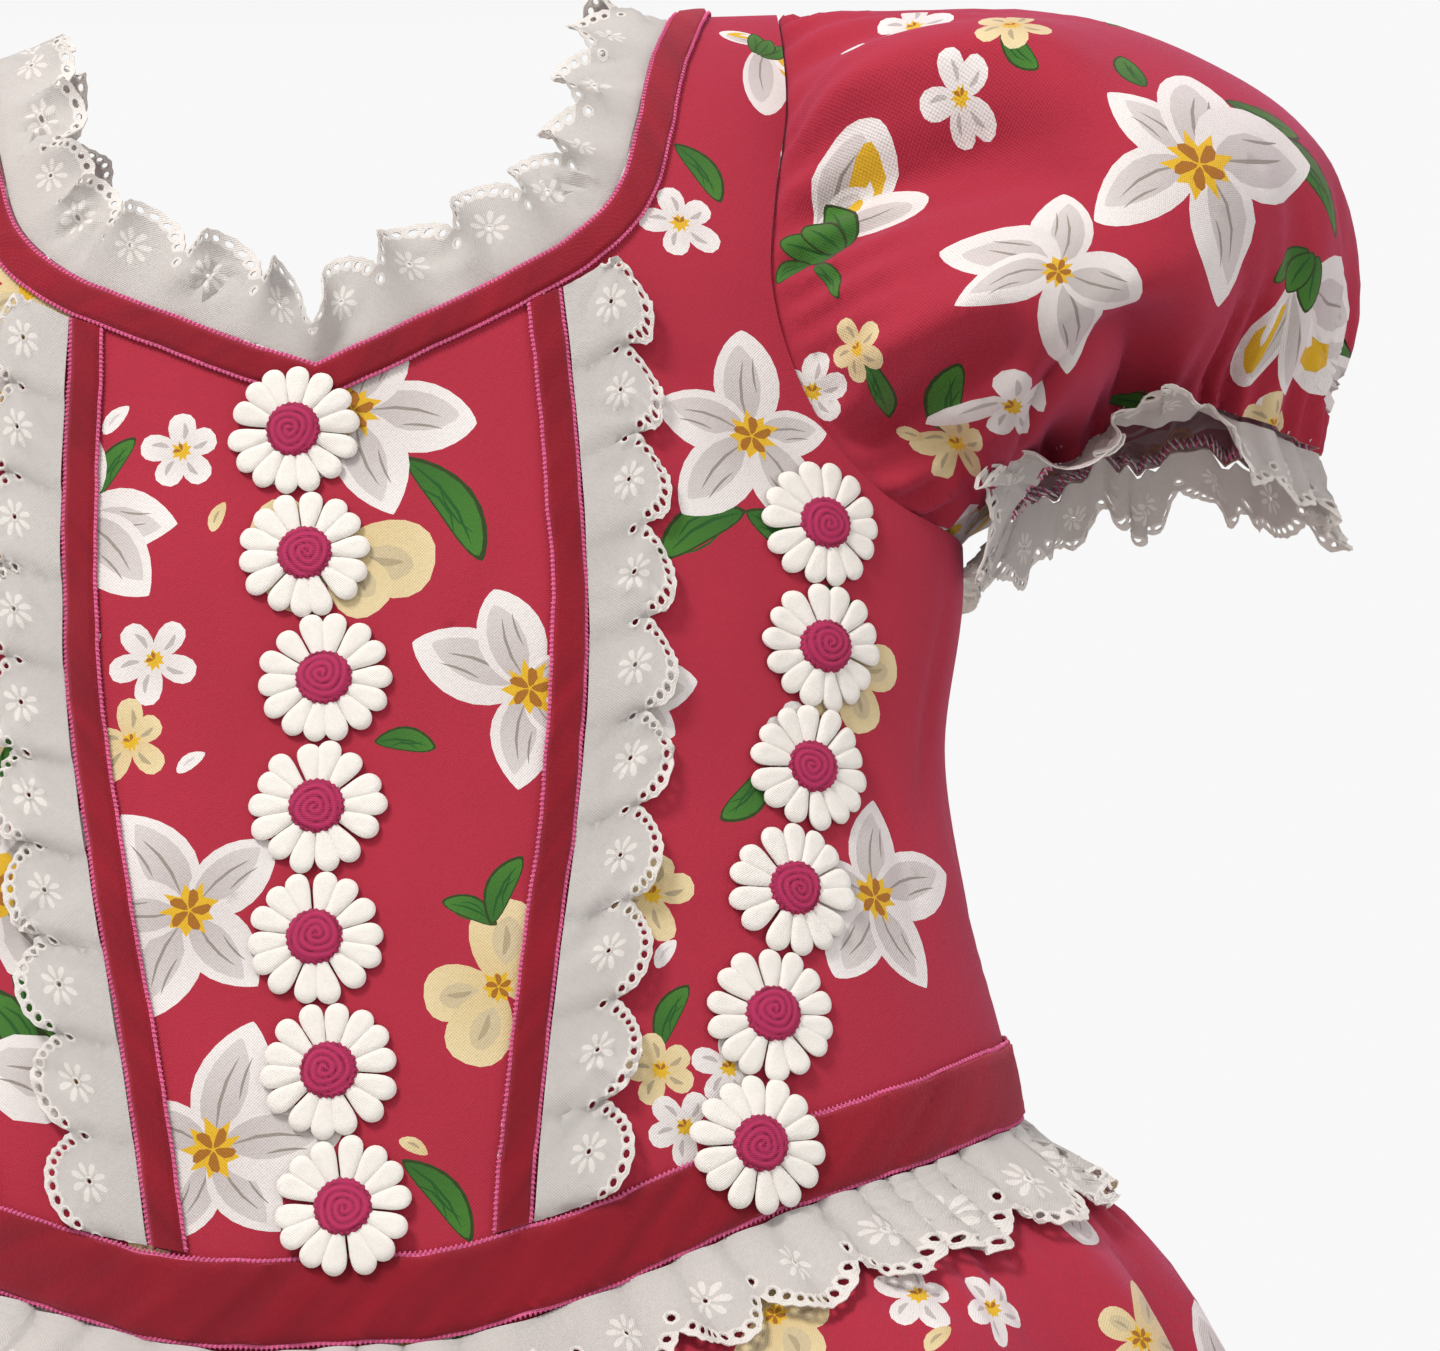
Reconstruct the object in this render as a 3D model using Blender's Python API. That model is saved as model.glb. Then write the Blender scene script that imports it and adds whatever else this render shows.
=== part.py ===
"""A girl's huasa dress, filled out as it is worn, with the shoulder line at z = 0.

Metres, +Z up, the front of the dress towards -Y and the wearer's left towards +X.
The bodice has a centre front, two side fronts and two backs. Velvet ribbon edges the
neckline, covers the princess seams and makes the waistband, broderie lace is gathered
along the ribbons, and guipure daisies run down the front. Puff sleeves end in lace.
The skirt is a front and two backs. A zip closes the centre back.
"""
import math

import bmesh
import bpy
import numpy as np
from mathutils import Matrix, Vector
from mathutils.geometry import delaunay_2d_cdt

# Thicknesses of the cloth, and the gaps that part neighbouring pieces
PANEL_THICK = 0.0012
RIBBON_THICK = 0.0012
LACE_THICK = 0.0010
SEAM_GAP = 0.0003
LAYER_GAP = 0.0005
RIBBON_FOOT = PANEL_THICK + LAYER_GAP
RIBBON_TOP = RIBBON_FOOT + RIBBON_THICK

# Trims, in their standard widths
NECK_RIBBON_WIDE = 0.0075
NECK_MITRE = math.radians(23)
PRINCESS_RIBBON_WIDE = 0.0070
WAIST_RIBBON_WIDE = 0.0160
LACE_WIDE = 0.0190
SCALLOP = 0.0185
SCALLOP_DEEP = 0.0030
PRINCESS_LACE_WIDE = 0.0175
DAISY_WIDE = 0.0246
DAISY_PETALS = 16
# Where a trim starts to step up onto a ribbon it crosses, and how long the step is
STEP_START = 0.0015
STEP_RUN = 0.0120
# A short level line on the cloth, as girth angles and lengths
LEVEL_STEP = np.array([[-1e-4, 0.0], [1e-4, 0.0]])

# How far the edges of the laces stand off the cloth, and how far they swing about that
NECK_STAND = 0.0030
NECK_SWING = 0.0032
PRINCESS_STAND = 0.0024
PRINCESS_SWING = 0.0012
WAIST_STAND = 0.0032
WAIST_SWING = 0.0018
WAIST_LACE_GAP = 0.0008
# The neck lace's notch at the centre front, and the way over which the lace turns there
NECK_NOTCH = 0.45
NECK_NOTCH_WIDE = 0.006
NECK_TURN = 0.018

# The filled bodice, a row for each level: height under the shoulder line, half width
# at the side seam, front depth and back depth
LEVELS = np.array([
    (0.000, 0.1180, 0.0500, 0.0470),
    (0.028, 0.1220, 0.0500, 0.0470),
    (0.060, 0.1255, 0.0500, 0.0470),
    (0.090, 0.1270, 0.0500, 0.0465),
    (0.130, 0.1270, 0.0520, 0.0470),
    (0.165, 0.1205, 0.0535, 0.0470),
    (0.200, 0.1235, 0.0560, 0.0480),
    (0.232, 0.1290, 0.0580, 0.0500),
    (0.275, 0.1300, 0.0600, 0.0520),
    (0.300, 0.1300, 0.0600, 0.0520),
])
# Over this height the shoulders round off as a quarter of an ellipse
SHOULDER_DROP = 0.090
SHOULDER_DEEP = 0.050

# The cut's lines, rows of distance from the middle and height under the shoulder line
FRONT_NECK = np.array([
    (0.000, 0.088), (0.021, 0.079), (0.037, 0.071), (0.050, 0.0635),
    (0.060, 0.053), (0.0655, 0.036), (0.070, 0.016), (0.0755, 0.000),
])
BACK_NECK = np.array([
    (0.000, 0.067), (0.025, 0.066), (0.046, 0.061), (0.061, 0.051),
    (0.069, 0.036), (0.073, 0.017), (0.0755, 0.000),
])
PRINCESS = np.array([
    (0.0450, 0.0665), (0.0470, 0.107), (0.0475, 0.130), (0.0460, 0.158),
    (0.0430, 0.182), (0.0385, 0.209), (0.0345, 0.235), (0.0305, 0.2675),
])
FRONT_ARMHOLE = np.array([
    (0.0970, 0.000), (0.0965, 0.031), (0.0930, 0.051), (0.0910, 0.072),
    (0.0945, 0.090), (0.1020, 0.1055), (0.1135, 0.1165), (0.1270, 0.1210),
])
BACK_ARMHOLE = np.array([
    (0.0970, 0.000), (0.0960, 0.031), (0.0945, 0.055), (0.0940, 0.080),
    (0.0985, 0.097), (0.1065, 0.1110), (0.1160, 0.1178), (0.1270, 0.1210),
])
# The waist seam, rows of girth angle from the centre front and height
WAIST = np.array([
    (0.0, 0.2700), (8.0, 0.2698), (13.0, 0.2680), (22.0, 0.2625), (31.0, 0.2555),
    (44.0, 0.2475), (56.0, 0.2425), (67.0, 0.2380), (90.0, 0.2325), (130.0, 0.2330),
    (180.0, 0.2360),
])

# The skirt: rows of drop under the waist seam, flare of the ring and depth of its folds
SKIRT_DROP = 0.600
SKIRT = np.array([
    (0.000, 0.000, 0.0000), (0.010, 0.000, 0.0000), (0.020, 0.009, 0.0015),
    (0.034, 0.021, 0.0038), (0.055, 0.031, 0.0060), (0.095, 0.041, 0.0085),
    (0.160, 0.060, 0.0115), (0.250, 0.086, 0.0150), (0.370, 0.120, 0.0190),
])
SKIRT_FOLDS = 16
FOLD_COLUMNS = 5
SKIRT_ROWS = (0.0005, 0.0290, 0.0600, 0.1000, 0.1650, 0.2900, 0.4800, 0.7300, 1.0)

# A sleeve: rows of share from armhole to cuff, its outer and its inner profile, the
# depth to the front and to the back, and how far front and back arch over the ends
SLEEVE = np.array([
    (0.00, 0.0970, 0.000, 0.1270, 0.1210, 0.0360, 0.0340, 0.000),
    (0.14, 0.1240, 0.001, 0.1288, 0.1190, 0.0500, 0.0480, 0.000),
    (0.25, 0.1450, 0.004, 0.1300, 0.1176, 0.0550, 0.0530, 0.000),
    (0.36, 0.1665, 0.010, 0.1311, 0.1163, 0.0600, 0.0570, 0.000),
    (0.48, 0.1880, 0.021, 0.1322, 0.1151, 0.0620, 0.0590, 0.000),
    (0.60, 0.2065, 0.036, 0.1333, 0.1140, 0.0610, 0.0570, 0.001),
    (0.69, 0.2150, 0.050, 0.1341, 0.1131, 0.0560, 0.0520, 0.002),
    (0.77, 0.2170, 0.065, 0.1349, 0.1123, 0.0480, 0.0440, 0.004),
    (0.85, 0.2150, 0.080, 0.1357, 0.1117, 0.0380, 0.0340, 0.007),
    (0.93, 0.2070, 0.097, 0.1364, 0.1120, 0.0250, 0.0200, 0.009),
    (1.00, 0.2040, 0.106, 0.1372, 0.1145, 0.0210, 0.0150, 0.010),
])
SLEEVE_JOIN = 0.34
# The sleeve's first share, the gap at its foot, and the share over which that gap fades
SLEEVE_FOOT = 0.02
SLEEVE_GAP = 0.0005
SLEEVE_CLEAR = 0.20
ARMHOLE_MIDDLE = np.array([0.1180, 0.0, -0.0700])
SLEEVE_GATHERS = 10
GATHER_COLUMNS = 4
SLEEVE_ROWS = (0.0, 0.04, 0.12, 0.22, 0.36, 0.52, 0.68, 0.82, 0.93, 1.0)
# Its main creases: share round the sleeve, start and end along it, half width, depth
CREASES = np.array([
    (0.135, 0.04, 0.42, 0.050, 0.0060),
    (0.300, 0.03, 0.62, 0.045, 0.0055),
    (0.420, 0.25, 0.95, 0.040, 0.0040),
    (0.700, 0.05, 0.45, 0.050, 0.0055),
    (0.860, 0.03, 0.50, 0.050, 0.0045),
])
# Its gathers: their depth, and the shares over which they rise and fade
GATHER_DEEP = 0.0022
CUFF_GATHERS = (0.70, 0.24)
HEAD_GATHERS = (0.03, 0.09, 0.42, 0.30)
# How the creases lean, rise and fade, and how the cloth calms down under the arm
CREASE_LEAN = 0.12
CREASE_START = 0.12
CREASE_END = 0.16
UNDER_ARM = (0.3, 0.6, 0.85)
CUFF_LACE_WAVES = 14
CUFF_START = 0.95
CUFF_LACE_AWAY = 0.0012
# How far the cuff lace flares to the front and the back, and the angle of its deep curl
CUFF_FLARE_FRONT = 0.95
CUFF_FLARE_BACK = 0.75
CUFF_CURL = 2.2
CUFF_CURL_WIDE = 0.30
CUFF_CALM = 0.60
# The way the cuff lace falls: aside, more so at the outer or the inner end, and down
CUFF_ASIDE = 0.08
CUFF_ASIDE_OUTER = 0.15
CUFF_ASIDE_INNER = 0.06
CUFF_DOWN = 0.55
CUFF_DOWN_SIDE = 0.35
CUFF_SWING = 0.0032
CUFF_CURL_SWING = 0.0026

# The daisies, rows of distance from the middle and height under the shoulder line
CENTRE_DAISIES = (
    (-0.0045, 0.1020), (-0.0030, 0.1272), (0.0000, 0.1524), (-0.0020, 0.1776),
    (-0.0030, 0.2028), (-0.0010, 0.2280), (0.0010, 0.2533),
)
SIDE_DAISIES = (
    (0.0980, 0.1225), (0.0965, 0.1475), (0.0920, 0.1722), (0.0870, 0.1968),
    (0.0815, 0.2212), (0.0770, 0.2458),
)

# The zip: a tape behind the centre back, a slider at its top and a pull tab on it
ZIP_HALF_WIDE = 0.007
ZIP_TAPE_THICK = 0.0010
ZIP_TAPE_GAP = 0.0005
SLIDER_LONG = 0.0100
SLIDER_WIDE = 0.0070
SLIDER_THICK = 0.0022
BRIDGE_WIDE = 0.0024
BRIDGE_LONG = 0.0056
BRIDGE_WINDOW = 0.0036
BRIDGE_HIGH = 0.0030
BRIDGE_BAR = 0.0009
TAB_LONG = 0.0180
TAB_WIDE = 0.0060
TAB_THICK = 0.0011
TAB_WINDOW_WIDE = 0.0034
TAB_WINDOW_LONG = 0.0040

COLOURS = {
    "print_cotton": ((0.55, 0.035, 0.06), 0.85, 0.0),
    "velvet": ((0.33, 0.012, 0.03), 0.95, 0.0),
    "broderie": ((0.86, 0.85, 0.84), 0.9, 0.0),
    "guipure": ((0.92, 0.91, 0.86), 0.85, 0.0),
    "zip_tape": ((0.50, 0.03, 0.06), 0.9, 0.0),
    "nickel": ((0.75, 0.74, 0.72), 0.3, 1.0),
}


def smooth(rows, column, at):
    """The given column of a table at these values of its first column, as one curve."""
    xs, ys = rows[:, 0], rows[:, column]
    at = np.clip(at, xs[0], xs[-1])
    slopes = np.gradient(ys, xs)
    i = np.clip(np.searchsorted(xs, at) - 1, 0, len(xs) - 2)
    step = xs[i + 1] - xs[i]
    t = (at - xs[i]) / step
    return (
        (2 * t**3 - 3 * t**2 + 1) * ys[i] + (t**3 - 2 * t**2 + t) * step * slopes[i]
        + (3 * t**2 - 2 * t**3) * ys[i + 1] + (t**3 - t**2) * step * slopes[i + 1]
    )


def ease(t):
    """0 to 1, level at both ends."""
    t = np.clip(t, 0.0, 1.0)
    return t * t * (3 - 2 * t)


def shoulder_profile(count=400):
    """Rows of length down the cloth, height and share of depth over the shoulder."""
    turn = np.linspace(0.0, math.pi / 2, count)
    high, deep = SHOULDER_DROP * (1 - np.cos(turn)), np.sin(turn)
    steps = np.hypot(np.diff(high), SHOULDER_DEEP * np.diff(deep))
    return np.column_stack([np.concatenate([[0], np.cumsum(steps)]), high, deep])


PROFILE = shoulder_profile()
ROUND_LENGTH = PROFILE[-1, 0]


def height_at(length):
    """Height under the shoulder line after this length down the cloth."""
    over = np.interp(length, PROFILE[:, 0], PROFILE[:, 1])
    return np.where(length > ROUND_LENGTH, SHOULDER_DROP + length - ROUND_LENGTH, over)


def length_at(height):
    """Length down the cloth at this height under the shoulder line."""
    over = np.interp(height, PROFILE[:, 1], PROFILE[:, 0])
    return np.where(height > SHOULDER_DROP, ROUND_LENGTH + height - SHOULDER_DROP, over)


def bodice(girth, length):
    """Point of the bodice's inner face, by girth angle from the centre front."""
    girth, length = np.broadcast_arrays(np.asarray(girth, float), length)
    down = np.abs(length)
    height = height_at(down)
    share = np.sign(length) * np.interp(down, PROFILE[:, 0], PROFILE[:, 2])
    depth = np.where(
        np.cos(girth) >= 0, smooth(LEVELS, 2, height), smooth(LEVELS, 3, height)
    )
    wide = smooth(LEVELS, 1, height)
    return np.stack(
        [wide * np.sin(girth), -depth * share * np.cos(girth), -height], axis=-1
    )


def outward(surface, u, v, reach=2e-5):
    """Unit normals of a surface, pointing away from the wearer."""
    across = surface(u + reach, v) - surface(u - reach, v)
    along = surface(u, v + reach) - surface(u, v - reach)
    normal = np.cross(across, along)
    normal /= np.linalg.norm(normal, axis=-1, keepdims=True)
    point = surface(u, v)
    away = point * (0.3, 1.0, 0.0) + (0.0, 0.0, 0.03)
    facing = np.sign((normal * away).sum(axis=-1, keepdims=True))
    return normal * facing


def waist_height(girth):
    """Height of the waist seam at this girth angle."""
    around = np.degrees(np.abs((np.asarray(girth) + math.pi) % (2 * math.pi) - math.pi))
    return smooth(WAIST, 1, around)


def girth_of(x, height, back=False):
    """Girth angle of a point at this distance from the middle."""
    angle = np.arcsin(np.clip(x / smooth(LEVELS, 1, height), -1, 1))
    return math.pi - angle if back else angle


def curve_through(points, count=200):
    """A smooth line through points, evenly divided."""
    points = np.asarray(points, float)
    steps = np.linalg.norm(np.diff(points, axis=0), axis=1)
    rows = np.column_stack([np.concatenate([[0], np.cumsum(steps)]), points])
    at = np.linspace(0, rows[-1, 0], count)
    return np.column_stack([smooth(rows, i + 1, at) for i in range(points.shape[1])])


def cut_line(rows, back=False):
    """A cut's line as girth angles and lengths down the cloth."""
    line = curve_through(rows)
    height = np.clip(line[:, 1], 0, None)
    return np.column_stack([girth_of(line[:, 0], height, back), length_at(height)])


def divided(line, count):
    """A line of girth angles and lengths, divided evenly by its length on the cloth."""
    points = bodice(line[:, 0], line[:, 1])
    steps = np.linalg.norm(np.diff(points, axis=0), axis=1)
    run = np.concatenate([[0], np.cumsum(steps)])
    at = np.linspace(0, run[-1], count)
    return np.column_stack([np.interp(at, run, line[:, i]) for i in (0, 1)])


def paint(name):
    """The material of this name, made once."""
    found = bpy.data.materials.get(name)
    if found:
        return found
    colour, roughness, metallic = COLOURS[name]
    material = bpy.data.materials.new(name)
    material.use_nodes = True
    shader = material.node_tree.nodes["Principled BSDF"]
    shader.inputs["Base Color"].default_value = (*colour, 1.0)
    shader.inputs["Roughness"].default_value = roughness
    shader.inputs["Metallic"].default_value = metallic
    material.diffuse_color = (*colour, 1.0)
    return material


def finish(name, mesh, material):
    """Link a mesh to the dress under this name, with its faces pointing out."""
    shape = bmesh.new()
    shape.from_mesh(mesh)
    bmesh.ops.recalc_face_normals(shape, faces=shape.faces)
    shape.to_mesh(mesh)
    shape.free()
    mesh.materials.append(paint(material))
    mesh.shade_smooth()
    mesh.set_sharp_from_angle(angle=math.radians(40))
    thing = bpy.data.objects.new(name, mesh)
    bpy.data.collections["huasa_dress"].objects.link(thing)
    return thing


def wall(name, inner, outer, material, closed=False):
    """A cloth wall between two grids of points, rows by columns."""
    rows, columns = inner.shape[:2]
    points = np.concatenate([inner.reshape(-1, 3), outer.reshape(-1, 3)])
    other = rows * columns
    last = columns if closed else columns - 1
    faces = []
    for r in range(rows - 1):
        for c in range(last):
            a, b = r * columns + c, r * columns + (c + 1) % columns
            for half in ((a, b, b + columns), (a, b + columns, a + columns)):
                faces.append(half)
                faces.append(tuple(i + other for i in reversed(half)))
    for r in (0, rows - 1):
        for c in range(last):
            a, b = r * columns + c, r * columns + (c + 1) % columns
            faces.append((a, b, b + other, a + other))
    if not closed:
        for c in (0, columns - 1):
            for r in range(rows - 1):
                a, b = r * columns + c, (r + 1) * columns + c
                faces.append((a, b, b + other, a + other))
    mesh = bpy.data.meshes.new(name)
    mesh.from_pydata(points.tolist(), [], faces)
    mesh.update()
    return finish(name, mesh, material)


def lace_wall(name, sheet, closed=False):
    """A wall of lace whose middle is this grid of points."""
    wrapped = np.concatenate([sheet[:, -1:], sheet, sheet[:, :1]], axis=1)
    along = np.gradient(wrapped if closed else sheet, axis=1)
    if closed:
        along = along[:, 1:-1]
    side = np.cross(np.gradient(sheet, axis=0), along)
    side *= LACE_THICK / 2 / np.linalg.norm(side, axis=-1, keepdims=True)
    return wall(name, sheet - side, sheet + side, "broderie", closed)


def laid(name, girth, length, low, high, material):
    """A wall that follows the bodice, between two heights over its inner face."""
    point, normal = bodice(girth, length), outward(bodice, girth, length)
    return wall(name, point + normal * low, point + normal * high, material)


def mirrored(thing, name):
    """The same piece on the other side of the dress."""
    mesh = thing.data.copy()
    mesh.name = name
    mesh.transform(Matrix.Diagonal((-1, 1, 1, 1)))
    material = mesh.materials[0].name
    mesh.materials.clear()
    return finish(name, mesh, material)


def inside(outline, points):
    """Which points of the plane lie inside a closed outline."""
    ends = np.roll(outline, -1, axis=0)
    x, y = points[:, :1], points[:, 1:]
    spans = (outline[:, 1] > y) != (ends[:, 1] > y)
    rise = np.where(ends[:, 1] == outline[:, 1], 1.0, ends[:, 1] - outline[:, 1])
    crossing = outline[:, 0] + (y - outline[:, 1]) / rise * (ends[:, 0] - outline[:, 0])
    return (spans & (x < crossing)).sum(axis=1) % 2 == 1


def from_outline(outline, points):
    """Distance of points of the plane from the nearest side of a closed outline."""
    sides = np.roll(outline, -1, axis=0) - outline
    reach = points[:, None, :] - outline
    share = np.clip((reach * sides).sum(-1) / (sides**2).sum(-1), 0, 1)
    return np.linalg.norm(reach - share[..., None] * sides, axis=-1).min(axis=1)


def panel(name, outline):
    """A panel of the bodice inside an outline of girth angles and lengths."""
    scale = np.array([PLANE_WIDE, 1.0])
    flat = outline * scale
    low, high = flat.min(axis=0), flat.max(axis=0)
    steps = [np.arange(low[i], high[i], PANEL_STEP) + PANEL_STEP / 2 for i in (0, 1)]
    fill = np.stack(np.meshgrid(*steps), axis=-1).reshape(-1, 2)
    fill = fill[inside(flat, fill) & (from_outline(flat, fill) > PANEL_STEP * 0.42)]
    flat = np.concatenate([flat, fill])
    ring = list(range(len(outline)))
    kept, _, faces, found, _, _ = delaunay_2d_cdt(
        [Vector(p) for p in flat.tolist()], [], [ring], 1, 1e-9
    )
    place = {start: i for i, starts in enumerate(found) for start in starts}
    flat = np.array([(p.x, p.y) for p in kept]) / scale
    point = bodice(flat[:, 0], flat[:, 1])
    normal = outward(bodice, flat[:, 0], flat[:, 1])
    count = len(flat)
    walls = [tuple(face) for face in faces]
    walls += [tuple(i + count for i in reversed(face)) for face in faces]
    for i in ring:
        a, b = place[i], place[(i + 1) % len(ring)]
        walls.append((a, b, b + count, a + count))
    mesh = bpy.data.meshes.new(name)
    points = np.concatenate([point, point + normal * PANEL_THICK])
    mesh.from_pydata(points.tolist(), [], walls)
    return finish(name, mesh, "print_cotton")


NECK_FRONT = cut_line(FRONT_NECK)
NECK_BACK = cut_line(BACK_NECK, back=True)
SEAM = cut_line(PRINCESS)
ARM_FRONT = cut_line(FRONT_ARMHOLE)
ARM_BACK = cut_line(BACK_ARMHOLE, back=True)
ARM_FRONT[-1, 0] = ARM_BACK[-1, 0] = math.pi / 2
HALF_GAP = SEAM_GAP / 2
# The same half gap as a girth angle, at the front and at the tighter side seam
GIRTH_GAP = 0.0015
SIDE_GIRTH_GAP = 0.0032
# Spacing of a panel's points, and the width of a girth angle of one in its flat plane
PANEL_STEP = 0.0155
PLANE_WIDE = 0.1050


def neck_length(girth):
    """Length down the cloth to the front neckline at this girth angle."""
    return np.interp(np.abs(girth), NECK_FRONT[:, 0], NECK_FRONT[:, 1])


def seam_girth(length):
    """Girth angle of the princess seam at this length down the cloth."""
    return np.interp(length, SEAM[:, 1], SEAM[:, 0])


def waist_length(girth):
    """Length down the cloth to the waist seam at this girth angle."""
    return length_at(waist_height(girth))


def where_lines_meet(edge_length):
    """Girth angle at which the princess seam reaches an edge of the bodice."""
    girth = float(seam_girth(0.15))
    for _ in range(20):
        girth = float(seam_girth(edge_length(girth)))
    return girth


SEAM_TOP = where_lines_meet(neck_length)
SEAM_FOOT = where_lines_meet(waist_length)

# The edges as the panels' points divide them, which the trims and the sleeves follow
CENTRE_COLUMNS = 11
NECK_SIDE_POINTS = 8
NECK_BACK_POINTS = 11
ARM_POINTS = 21
NECK_CENTRE_EDGE = np.column_stack([
    np.linspace(0, SEAM_TOP, CENTRE_COLUMNS // 2 + 1),
    neck_length(np.linspace(0, SEAM_TOP, CENTRE_COLUMNS // 2 + 1)),
])
NECK_SIDE_EDGE = divided(
    np.concatenate([NECK_CENTRE_EDGE[-1:], NECK_FRONT[NECK_FRONT[:, 0] > SEAM_TOP]]),
    NECK_SIDE_POINTS,
)
NECK_FRONT_EDGE = np.concatenate([NECK_CENTRE_EDGE[:-1], NECK_SIDE_EDGE])
NECK_BACK_EDGE = divided(NECK_BACK, NECK_BACK_POINTS)
ARM_FRONT_EDGE = divided(ARM_FRONT, ARM_POINTS)
ARM_BACK_EDGE = divided(ARM_BACK, ARM_POINTS)


def front_centre(rows=13, columns=CENTRE_COLUMNS):
    """Centre front, between the princess seams, from the waist to the neckline."""
    rise = np.linspace(0, 1, rows)[:, None]
    across = np.linspace(-1, 1, columns)[None, :]
    foot = waist_length(across * SEAM_FOOT) - HALF_GAP
    top = neck_length(across * SEAM_TOP)
    length = foot + (top - foot) * rise
    edge = waist_length(SEAM_FOOT) + (neck_length(SEAM_TOP) - waist_length(SEAM_FOOT)) * rise
    girth = across * (seam_girth(edge) - GIRTH_GAP)
    return laid("front_centre", girth, length, 0, PANEL_THICK, "print_cotton")


def line_between(start, end, count):
    """A straight line of girth angles and lengths, without its last point."""
    return np.linspace(start, end, count, endpoint=False)


def outer_edge(arm, back, count=9):
    """A panel's outer edge: down the armhole from the shoulder, then the side seam."""
    gap = SIDE_GIRTH_GAP if back else -SIDE_GIRTH_GAP
    curve = arm.copy()
    curve[-1, 0] += gap
    curve[0, 1] = HALF_GAP
    foot = (math.pi / 2 + gap, float(waist_length(math.pi / 2)) - HALF_GAP)
    return np.concatenate([curve[:-1], line_between(curve[-1], foot, count), [foot]])


def waist_edge(start, end, count):
    """The waist seam between two girth angles, without its first and last points."""
    girth = np.linspace(start, end, count + 1)[1:-1]
    return np.column_stack([girth, waist_length(girth) - HALF_GAP])


def front_side(seam_points=13, shoulder_points=2, waist_points=9):
    """Side front, from the princess seam to the side seam and up to the shoulder."""
    length = np.linspace(waist_length(SEAM_FOOT) - HALF_GAP, neck_length(SEAM_TOP), seam_points)
    seam = np.column_stack([seam_girth(length) + GIRTH_GAP, length])
    neck = NECK_SIDE_EDGE.copy()
    neck[-1, 1] = HALF_GAP
    outer = outer_edge(ARM_FRONT_EDGE, False)
    shoulder = line_between(neck[-1], outer[0], shoulder_points)
    waist = waist_edge(outer[-1, 0], seam[0, 0], waist_points)
    return panel("front_side_left", np.concatenate([seam, neck[1:-1], shoulder, outer, waist]))


def back_panel(zip_points=10, shoulder_points=2, waist_points=9):
    """Back, from the zip to the side seam and up to the shoulder."""
    middle = math.pi - GIRTH_GAP
    neck = NECK_BACK_EDGE.copy()
    neck[0, 0] = middle
    neck[-1, 1] = HALF_GAP
    foot = (middle, float(waist_length(middle)) - HALF_GAP)
    outer = outer_edge(ARM_BACK_EDGE, True)
    zip_edge = line_between(foot, neck[0], zip_points)
    shoulder = line_between(neck[-1], outer[0], shoulder_points)
    waist = waist_edge(outer[-1, 0], middle, waist_points)
    return panel("back_left", np.concatenate([zip_edge, neck[:-1], shoulder, outer, waist]))


def across_cloth(line):
    """For a line on the cloth: its points, normals, and the way up from it."""
    point = bodice(line[:, 0], line[:, 1])
    normal = outward(bodice, line[:, 0], line[:, 1])
    run = np.gradient(point, axis=0)
    run /= np.linalg.norm(run, axis=1, keepdims=True)
    up = np.cross(normal, run)
    return point, normal, up / np.linalg.norm(up, axis=1, keepdims=True)


def slide(line, move):
    """The line moved over the cloth by vectors, as girth angles and lengths."""
    reach = 1e-5
    girth, length = line[:, 0], line[:, 1]
    by_girth = (bodice(girth + reach, length) - bodice(girth - reach, length)) / (2 * reach)
    by_length = (bodice(girth, length + reach) - bodice(girth, length - reach)) / (2 * reach)
    gg, ll = (by_girth**2).sum(1), (by_length**2).sum(1)
    gl = (by_girth * by_length).sum(1)
    mg, ml = (move * by_girth).sum(1), (move * by_length).sum(1)
    det = gg * ll - gl**2
    return line + np.column_stack([(mg * ll - ml * gl) / det, (ml * gg - mg * gl) / det])


def neck_half(front_count, back_count):
    """The left half of the neckline, from the centre front over the shoulder to the zip.

    A row is a girth angle and a length; past the shoulder the girth angle is the back's.
    """
    front = divided(NECK_FRONT_EDGE, front_count)
    back = divided(NECK_BACK_EDGE, back_count)
    back[0, 0] = math.pi - GIRTH_GAP * 2
    front[-1, 1] = 0.0
    return front, back[::-1][1:]


def neck_frame(front_count, back_count):
    """Points, normals and upward directions along the left half of the neckline."""
    front, back = neck_half(front_count, back_count)
    parts = [across_cloth(front), across_cloth(back)]
    point, normal, up = (np.concatenate(pair) for pair in zip(*parts))
    up[0] = up[0] * (0, 1, 1)
    up[0] /= np.linalg.norm(up[0])
    facing = np.sign((up * (point * (-1.0, 0, 0) + (0, 0, 0.02))).sum(1, keepdims=True))
    return np.concatenate([front, back]), point, normal, up * facing


def both_halves(half):
    """Grid columns of the left half, with the right half's before them."""
    right = half[:, :0:-1] * (-1, 1, 1)
    return np.concatenate([right, half], axis=1)


def neck_ribbon(front_count=23, back_count=23):
    """Velvet round the neckline, mitred at the centre front."""
    line, _, _, up = neck_frame(front_count, back_count)
    width = np.full(len(line), NECK_RIBBON_WIDE)
    width[0] /= math.cos(NECK_MITRE)
    lower = slide(line, -up * width[:, None])
    lower[0, 0] = 0.0
    grids = []
    for low in (RIBBON_FOOT, RIBBON_TOP):
        rows = []
        for edge in (line, lower):
            normal = outward(bodice, edge[:, 0], edge[:, 1])
            rows.append(bodice(edge[:, 0], edge[:, 1]) + normal * low)
        grids.append(both_halves(np.stack(rows)))
    return wall("neck_ribbon", grids[0], grids[1], "velvet")


def scalloped(wide, turn):
    """Width of a lace at this angle of its scallops."""
    return wide - SCALLOP_DEEP * (0.5 + 0.5 * np.cos(turn))


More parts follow.
